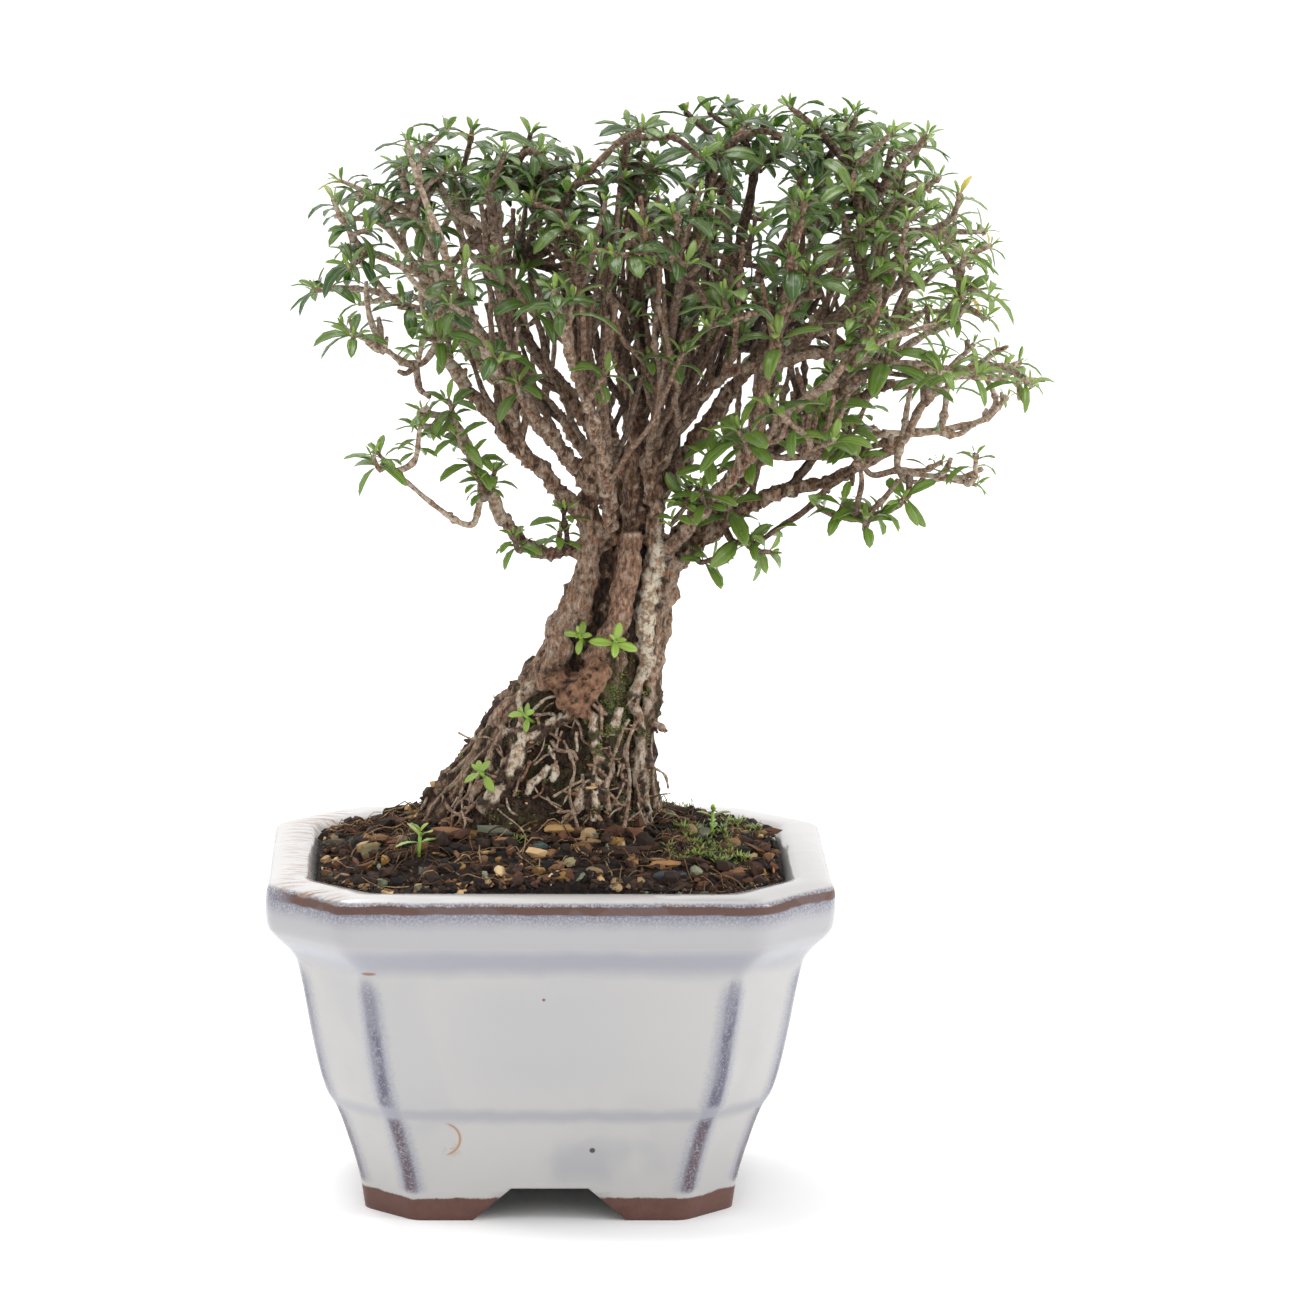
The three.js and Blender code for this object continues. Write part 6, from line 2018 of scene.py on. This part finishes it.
def stone_shape(rounds):
    """The points and faces of a round stone."""
    data = bpy.data.meshes.new("stone")
    shape = bmesh.new()
    bmesh.ops.create_icosphere(shape, subdivisions=rounds, radius=1)
    shape.to_mesh(data)
    shape.free()
    points = np.array([v.co[:] for v in data.vertices])
    faces = np.array([p.vertices[:] for p in data.polygons])
    bpy.data.meshes.remove(data)
    return points, faces


COARSE_STONE = stone_shape(1)
FINE_STONE = stone_shape(2)


def pick_hue(chance):
    """One of the soil's colours, by its share."""
    pick = next(chance)
    for share, hue in HUES:
        pick -= share
        if pick < 0:
            return hue
    return HUES[0][1]


def add_soil_skin(pile):
    """The closed dark body of the soil, under its grains."""
    sides = 20
    floor_rings = [(15, 37.8), (30, 45.4), (60, 51.4), (70, 52.6)]
    rings = [np.c_[outline(half, sides), np.full(8 * sides, float(z))] for z, half in floor_rings]
    edge = outline(SOIL_HALF, sides)
    for scale in np.linspace(1, 0.02, 46):
        flat = edge * scale
        heights = np.array([soil_level(x, y) for x, y in flat])
        rings.append(np.c_[flat, heights])
    points = np.concatenate(rings)
    hue = np.array(srgb(28, 20, 15)[:3])
    pile.add(points, ring_faces(len(rings), 8 * sides), hue=hue, spot=points)


def scatter_grains(pile, chance):
    """Grains of all sizes, most of them small."""
    for _ in range(GRAINS):
        x, y = mix(-52, 52, next(chance)), mix(-43, 43, next(chance))
        half = mix(0.35, 2.4, next(chance) ** 2.4)
        hue = pick_hue(chance)
        if not inside_outline(x, y, SOIL_HALF - half * 0.8):
            continue
        z = soil_level(x, y) + half * mix(-0.5, 0.6, next(chance))
        add_grain(pile, (x, y, z), half, hue, chance)


def line_the_edge(pile, chance):
    """Small grains along the pot's wall, and more along its front."""
    rim = outline(SOIL_HALF, 60)
    for _ in range(RIM_GRAINS):
        half = mix(0.45, 1.5, next(chance) ** 1.5)
        x, y = rim[int(next(chance) * len(rim))] * (1 - (half * mix(0.9, 3.0, next(chance))) / 48)
        add_grain(pile, (x, y, soil_level(x, y) + half * 0.4), half, pick_hue(chance), chance)
    for _ in range(FRONT_GRAINS):
        x, y = mix(-40, 40, next(chance)), mix(-42.4, -38, next(chance))
        half = mix(0.6, 1.5, next(chance))
        add_grain(pile, (x, y, soil_level(x, y) + half * 0.5), half, pick_hue(chance), chance)


def scatter_pebbles(pile, chance):
    """Rounder pebbles, seeded ones and the larger stones that the photo shows."""
    for _ in range(PEBBLES):
        x, y = mix(-50, 50, next(chance)), mix(-44, 44, next(chance))
        half = mix(1.3, 2.4, next(chance) ** 1.5)
        hue = pick_hue(chance)
        if inside_outline(x, y, SOIL_HALF - half):
            add_grain(pile, (x, y, soil_level(x, y) + half * 0.25), half, hue, chance, fine=True)
    for place, half, hue in STONES:
        x, y = on_soil(*place)
        if inside_outline(x, y, SOIL_HALF - half):
            add_grain(pile, (x, y, soil_level(x, y) + half * 0.35), half, hue, chance, fine=True)


def make_soil(trunk):
    chance = stream(SEED + 50)
    pile = Pile()
    add_soil_skin(pile)
    scatter_grains(pile, chance)
    line_the_edge(pile, chance)
    scatter_pebbles(pile, chance)
    add_crumbs_on_trunk(pile, trunk, chance)
    grains = new_piece(pile.mesh("soil_grains"), EARTH_MATERIAL, "earth", "soil")
    grains.data.shade_flat()
    fibres = Pile()
    for _ in range(FIBRES):
        add_fibre(fibres, chance)
    new_piece(fibres.mesh("soil_fibres"), EARTH_MATERIAL, "earth", "soil")


def add_crumbs_on_trunk(pile, trunk, chance):
    """Soil crumbs between the roots of the trunk's foot, most of them low down and in front."""
    points, normals, deep, on_root = trunk
    spots = np.where((points[:, 2] < 108) & (on_root < 0.4) & (deep > -0.25))[0]
    spots = np.concatenate([spots, np.repeat(spots[points[spots, 1] < -4], 3)])
    for _ in range(CRUMBS):
        k = spots[int(next(chance) * len(spots))]
        height = points[k][2]
        if next(chance) < (height - 84) / 26:
            continue
        half = mix(0.35, 1.15, next(chance) ** 1.8)
        add_grain(pile, points[k] + normals[k] * half * 0.3, half, pick_hue(chance), chance)


def add_fibre(pile, chance):
    """A thin bent straw or dead root lying on the soil."""
    x, y = mix(-46, 48, next(chance)), mix(-43, 38, next(chance))
    angle, length = next(chance) * math.tau, mix(4, 17, next(chance) ** 1.6)
    radius, turn, lift = mix(0.07, 0.2, next(chance)), mix(-0.25, 0.25, next(chance)), next(chance)
    hue = FIBRE_HUES[int(next(chance) * 4)]
    path = []
    steps = 7
    for k in range(steps):
        if not inside_outline(x, y, SOIL_HALF - 1):
            break
        arch = math.sin(math.pi * k / (steps - 1)) * lift * 2.2
        path.append((x, y, soil_level(x, y) + 1.0 + arch))
        angle += turn + 0.3 * (next(chance) - 0.5)
        x += math.cos(angle) * length / steps
        y += math.sin(angle) * length / steps
    if len(path) < 3:
        return
    points, faces = tube(path, radius, FIBRE_SIDES)
    pile.add(points, faces, hue=np.array(hue[:3]), spot=points)


# ---------- moss, sprouts and seedlings ----------
# Moss on the soil: the middle of each patch, how far it reaches and its tufts. The first ones are
# placed across and by height as seen, and those at the back across and away.
MOSS_PATCHES = [
    ((36, 81), 8, 120), ((42, 77), 6, 70), ((31, 78), 5, 34), ((-8, 81), 2.5, 10),
    ((45, 84), 5, 36), ((-1, 87), 3, 12),
]
BACK_MOSS = [((30, 24), 12, 120), ((-20, 26), 9, 70)]


def make_moss(trunk):
    """Moss in patches on the soil, and on the trunk where it is damp."""
    chance = stream(SEED + 60)
    ground, on_wood = Pile(), Pile()
    seen_patches = [(on_soil(*place), reach, count) for place, reach, count in MOSS_PATCHES]
    for (x0, y0), reach, count in seen_patches + BACK_MOSS:
        for _ in range(count):
            angle, away = next(chance) * math.tau, reach * math.sqrt(next(chance))
            x, y = x0 + away * math.cos(angle), y0 + away * math.sin(angle)
            if inside_outline(x, y, SOIL_HALF - 1):
                foot = np.array([x, y, soil_level(x, y) + 0.5 * next(chance)])
                add_moss(ground, foot, UP, mix(0.8, 3.2, next(chance) ** 1.6), chance)
    points, normals, _, on_root = trunk
    front_right = soft_patch(points, 16, 113, 5.5, 9)
    height = points[:, 2]
    weight = front_right * (points[:, 1] < 0) + 0.05 * (height < 126) + 0.06 * (height < 108)
    weight = np.where(on_root > 0.3, 0, weight)
    total = np.cumsum(weight)
    for _ in range(TRUNK_MOSS):
        k = int(np.searchsorted(total, next(chance) * total[-1]))
        add_moss(on_wood, points[k], normals[k], mix(0.5, 1.3, next(chance)), chance)
    new_piece(ground.mesh("soil_moss"), MOSS_MATERIAL, "young_leaf", "soil")
    new_piece(on_wood.mesh("trunk_moss"), MOSS_MATERIAL, "young_leaf", "trunk")


def add_moss(pile, foot, normal, size, chance):
    """A tiny tuft of pointed blades."""
    way = unit(normal + 0.3 * UP)
    across, other = crosswise(way, [0.3, 0.8, 0.5])
    tone = mix(0.1, 0.9, next(chance))
    for k in range(5):
        angle = k * math.tau / 5 + next(chance)
        out = turned_from(across, other, angle)
        lean = unit(way * mix(0.5, 1.3, next(chance)) + out)
        side = np.cross(lean, way)
        tip = foot + lean * size * mix(0.7, 1.2, next(chance))
        wide = side * size * 0.16
        base = foot - normal * 0.2
        middle = mix(base, tip, 0.5)
        rise = way * size * 0.1
        ring = np.array([base, middle - wide, middle + rise, middle + wide, tip])
        faces = [np.array([[0, 2, 1], [0, 3, 2], [4, 1, 2], [4, 2, 3], [0, 1, 4], [0, 4, 3]])]
        pile.add(ring, faces, blade=(0, 0.5, 0), look=(tone, 0.25 * next(chance), 0.0))


# Sprouts on the trunk's front: share of its half width, height and leaf length. Seedlings in the
# soil: across, away and leaf length.
SPROUTS = [(0.16, 128, 6.5), (-0.35, 129, 4.5), (-0.54, 111, 4.5), (-0.6, 98, 5)]
SPROUT_RISE = 6
SEEDLINGS = [(-30, -25, 7), (38, -8, 5)]
SEEDLING_RISE = 9
SEEDLING_DEPTH = 3
STALK_RADIUS = 0.42
# The crossed pairs of a shoot: distance back from the tip, tilt above the level, and size.
SHOOT_PAIRS = [(2.4, 0.35, 1.0), (1.0, 0.75, 0.85), (0.0, 1.15, 0.5)]


def make_shoot(name, node, foot, up, leaf, rise, chance):
    """A small bright shoot: a thin stalk and crossed pairs of young leaves."""
    pile = Pile()
    end = foot + up * rise
    across, other = crosswise(up, [0.2, 1, 0.3])
    stalk = [foot, mix(foot, end, 0.5) + across * 0.3, end]
    points, faces = tube(stalk, STALK_RADIUS, 6)
    pile.add(points, faces, blade=(0.5, 0.5, 0), look=(0.3, 0.4, 0.0))
    for level, (back, tilt, size) in enumerate(SHOOT_PAIRS):
        angle = leaf + level * math.pi / 2
        for turned in (angle, angle + math.pi):
            out = turned_from(across, other, turned)
            length = leaf * size * mix(0.85, 1.1, next(chance))
            foot, youth = end - up * back, 0.5 + 0.5 * next(chance)
            add_leaf(pile, foot, out, up, length, length * 0.42, tilt, 0.6, chance, youth)
    new_piece(pile.mesh(name), YOUNG_MATERIAL, "young_leaf", node)


def make_shoots():
    """The sprouts on the trunk and the seedlings in the soil."""
    chance = stream(SEED + 70)
    for i, (side, z, leaf) in enumerate(SPROUTS, 1):
        angle = side_angle(side, True)
        up = unit([math.cos(angle), math.sin(angle), 0.6])
        foot = on_trunk(angle, z, -0.5)
        make_shoot(f"shoot_{i}", f"sprout_{i}", foot, up, leaf, SPROUT_RISE, chance)
    for i, (x, y, leaf) in enumerate(SEEDLINGS, 1):
        foot = np.array([x, y, soil_height(x, y) - SEEDLING_DEPTH])
        make_shoot(f"young_plant_{i}", f"seedling_{i}", foot, UP, leaf, SEEDLING_RISE, chance)


# ---------- pot ----------
# The pot's profile as (height above the ground, half width).
POT_OUTSIDE = [
    (0, 42.8), (8.5, 44), (19.5, 47.4), (25, 49.3), (29, 52), (40.8, 54.8), (59.8, 57.9),
    (63.3, 60), (67.3, 64), (69.8, 65.5), (77.3, 65.5), (79.2, 64.7), (79.8, 63),
]
POT_LIP = [(80.1, 61.4), (80.15, 59.5), (80.05, 57.8)]
POT_INSIDE = [(79.8, 56), (77.8, 54), (67.8, 52.5), (31.8, 46), (15.8, 38)]
ARCH_WIDTH, ARCH_TOP_WIDTH, ARCH_HEIGHT = 35.5, 17.8, 7.9
FOOT_RECESS = (31, 24, 7.4)  # half width, half depth and height of the hollow between the feet
LIP_EDGE = 78.0  # height of the lip's outer edge, where the glaze runs thin
CORNER_SOFTNESS = (2.2, 3.2)  # how far the corners are rounded, below and at the rim
DRAIN_RADIUS = 7
UNGLAZED = (99, 99, 0)  # far from any crease and from the lip, and not outside


def rounded(path, rounds, share=0.25):
    """A path with its inner corners cut again and again, which keeps its ends."""
    path = np.array(path, float)
    for _ in range(rounds):
        a, b = path[:-1], path[1:]
        cut = np.stack([mix(a, b, share), mix(a, b, 1 - share)], 1).reshape(-1, 2)
        path = np.concatenate([path[:1], cut[1:-1], path[-1:]])
    return path


def evenly(path, step):
    """A path with its points about one step apart."""
    away = run_along(path)
    at = np.linspace(0, away[-1], int(away[-1] / step))
    return np.stack([np.interp(at, away, path[:, c]) for c in range(2)], 1)


def corner_ring(half, soft):
    """The cut-corner outline with rounded corners, and how far each point is from a corner."""
    corners = pot_corners(half)
    ring, crease = [], []
    for i, corner in enumerate(corners):
        before, after = corners[i - 1], corners[(i + 1) % 8]
        into, out = unit(before - corner), unit(after - corner)
        for t in np.linspace(0, 1, 9):
            start, end = corner + into * soft, corner + out * soft
            ring.append((1 - t) ** 2 * start + 2 * t * (1 - t) * corner + t * t * end)
            crease.append(abs(t - 0.5) * 2 * soft)
        length = np.linalg.norm(after - corner)
        count = 12 if i % 2 == 0 else 6
        for k in range(1, count):
            along_it = soft + (length - 2 * soft) * k / count
            ring.append(corner + out * along_it)
            crease.append(min(along_it, length - along_it))
    return np.array(ring), np.array(crease)


def add_cutter(name, points, faces):
    """A shape to cut from the pot, whose heights are above the ground."""
    data = bpy.data.meshes.new(name)
    data.from_pydata((in_part(points) - [0, 0, LAYOUT_LEVEL * MM]).tolist(), [], faces)
    data.update()
    return put(name, data)


BOX_FACES = [(0, 3, 2, 1), (4, 5, 6, 7), (0, 1, 5, 4), (1, 2, 6, 5), (2, 3, 7, 6), (3, 0, 4, 7)]


def arch_cutter(name, turned):
    """A tapered bar through two arches, from front to back or turned across."""
    half, top, far = ARCH_WIDTH / 2, ARCH_TOP_WIDTH / 2, 80
    low = half + (half - top) / ARCH_HEIGHT
    section = [(-low, -1), (low, -1), (top, ARCH_HEIGHT), (-top, ARCH_HEIGHT)]
    points = [(x, -far, z) for x, z in section] + [(x, far, z) for x, z in section]
    if turned:
        points = [(y, -x, z) for x, y, z in points]
    faces = [(0, 1, 2, 3), (7, 6, 5, 4), (0, 4, 5, 1), (1, 5, 6, 2), (2, 6, 7, 3), (3, 7, 4, 0)]
    return add_cutter(name, points, faces)


def under_the_pot(places):
    """Which places lie on the underside, in the arches and the recess between the feet."""
    z = places[:, 2] + LAYOUT_LEVEL
    half = np.interp(z, *zip(*POT_OUTSIDE))
    aside = half - np.abs(places[:, 0])
    ahead = half * POT_DEPTH_RATIO - np.abs(places[:, 1])
    inner = (aside > 0.7) & (ahead > 0.7) & (aside + ahead - CORNER_CUT * half > 1)
    return inner & (z < 9)


def pot_skin():
    """The closed skin of the pot before it is cut, with values for its glaze at each point."""
    outside = evenly(rounded(POT_OUTSIDE, 3), 0.9)
    inside = evenly(rounded(POT_INSIDE, 3), 2.4)
    rows = [(z, half, 1.0) for z, half in outside] + [(z, half, 0.3) for z, half in POT_LIP]
    rows += [(z, half, 0.0) for z, half in inside]
    edge = next(i for i, (z, _, _) in enumerate(rows) if z > LIP_EDGE)
    run = np.concatenate([[0], np.cumsum([math.dist(a[:2], b[:2]) for a, b in zip(rows, rows[1:])])])
    rings, values = [], []
    for (z, half, out), far in zip(rows, run[edge] - run):
        soft = mix(*CORNER_SOFTNESS, float(smoothstep(np.array(z), 58, 66)))
        ring, crease = corner_ring(half, soft)
        rings.append(np.c_[ring, np.full(len(ring), z - LAYOUT_LEVEL)])
        values.append(np.c_[crease, np.full(len(ring), far), np.full(len(ring), out)])
    return np.concatenate(rings), ring_faces(len(rows), len(rings[0])), np.concatenate(values)


def drain_cutter():
    sides = 24
    turn = np.arange(sides) * math.tau / sides
    circle = [(math.cos(a) * DRAIN_RADIUS, math.sin(a) * DRAIN_RADIUS) for a in turn]
    points = [(x, y, z) for z in (-5, 40) for x, y in circle]
    faces = [tuple(range(sides - 1, -1, -1)), tuple(range(sides, 2 * sides))]
    faces += [(k, (k + 1) % sides, sides + (k + 1) % sides, sides + k) for k in range(sides)]
    return add_cutter("drain", points, faces)


def recess_cutter():
    w, d, h = FOOT_RECESS
    points = [(x, y, z) for z in (-1, h) for x, y in ((-w, -d), (w, -d), (w, d), (-w, d))]
    return add_cutter("recess", points, BOX_FACES)


def cut_out(piece, cutters):
    """The piece's mesh without what the cutters cover."""
    for cutter in cutters:
        cut = piece.modifiers.new(cutter.name, "BOOLEAN")
        cut.operation = "DIFFERENCE"
        cut.solver = "EXACT"
        cut.object = cutter
    graph = bpy.context.evaluated_depsgraph_get()
    mesh = bpy.data.meshes.new_from_object(piece.evaluated_get(graph))
    piece.modifiers.clear()
    for cutter in cutters:
        bpy.data.objects.remove(cutter)
    return mesh


def make_pot():
    points, faces, values = pot_skin()
    pot = new_piece(new_mesh("glazed_pot", points, faces, {}), GLAZE_MATERIAL, "glaze", "pot")
    arches = [arch_cutter("arch_through", False), arch_cutter("arch_across", True)]
    pot.data = cut_out(pot, [*arches, recess_cutter(), drain_cutter()])
    pot.data.name = "glazed_pot"
    places = vertices_of(pot.data)
    near, _ = nearest_of(points, places)
    set_value(pot.data, "spot", places + np.array([0, 0, LAYOUT_LEVEL]))
    run = values[near]
    run[under_the_pot(places)] = UNGLAZED
    set_value(pot.data, "glaze_run", run)


def make_screen_materials():
    """The drain screen and its wire keep the solids' meshes and get materials."""
    net = Shader("screen_plastic", Roughness=0.6)
    worn = net.noise(net.read("position"), 900, 3)
    net.set("Base Color", net.blend(worn, srgb(24, 24, 24), srgb(44, 42, 40)))
    metal = Shader("wire_metal", Roughness=0.45, Metallic=0.6)
    dull = metal.noise(metal.read("position"), 700, 3)
    metal.set("Base Color", metal.blend(dull, srgb(40, 40, 42), srgb(92, 90, 88)))
    for node, shader in (("drain_screen", net), ("screen_wire", metal)):
        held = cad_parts[node]
        held.data.materials.clear()
        held.data.materials.append(shader.material)


# ---------- light ----------
LIT_PLACE = (0, 0, 0.12)
FLOOR_HALF = 6.0
# Painted light: the floor glows, though it is no lamp, faintly and fading to nothing near the pot.
GLOW = (44, 66, 0.16)  # the floor glows faintly, from nothing near the pot to its full strength


def make_light(name, place, aim, size, power):
    data = bpy.data.lights.new(name, "AREA")
    data.shape = "DISK"
    data.size = size
    data.energy = power
    light = put(name, data)
    light.location = place
    light.rotation_euler = (Vector(aim) - Vector(place)).to_track_quat("-Z", "Y").to_euler()


def make_studio():
    """White surroundings, two soft lights and a pale floor that glows faintly as painted light, less near
    the pot.
    """
    world = bpy.data.worlds.new("studio")
    world.use_nodes = True
    background = world.node_tree.nodes["Background"]
    background.inputs[0].default_value = (1, 1, 1, 1)
    background.inputs[1].default_value = 1.09
    bpy.context.scene.world = world
    make_light("above", (-0.25, 0.35, 1.5), LIT_PLACE, 1.1, 14)
    make_light("side", (1.3, -0.4, 0.9), LIT_PLACE, 0.7, 8)
    floor = bpy.data.meshes.new("floor")
    corners = [(x * FLOOR_HALF, y * FLOOR_HALF, 0) for x, y in ((-1, -1), (1, -1), (1, 1), (-1, 1))]
    floor.from_pydata(corners, [], [(0, 1, 2, 3)])
    paper = Shader("paper", Roughness=0.8)
    paper.set("Base Color", (0.93, 0.93, 0.93, 1))
    paper.set("Emission Color", (1, 1, 1, 1))
    # The floor's painted glow, which fades out near the pot.
    away = paper.math("MULTIPLY", paper.away_from(paper.read("position"), (0, 0, 0)), 1 / MM)
    paper.set("Emission Strength", paper.times(paper.step(away, *GLOW[:2]), GLOW[2]))
    floor.materials.append(paper.material)
    ground = put("floor", floor)
    bpy.context.scene.view_settings.view_transform = "Standard"


make_branches()
TRUNK = make_trunk()
make_soil(TRUNK)
make_moss(TRUNK)
make_shoots()
make_pot()
make_screen_materials()
make_studio()
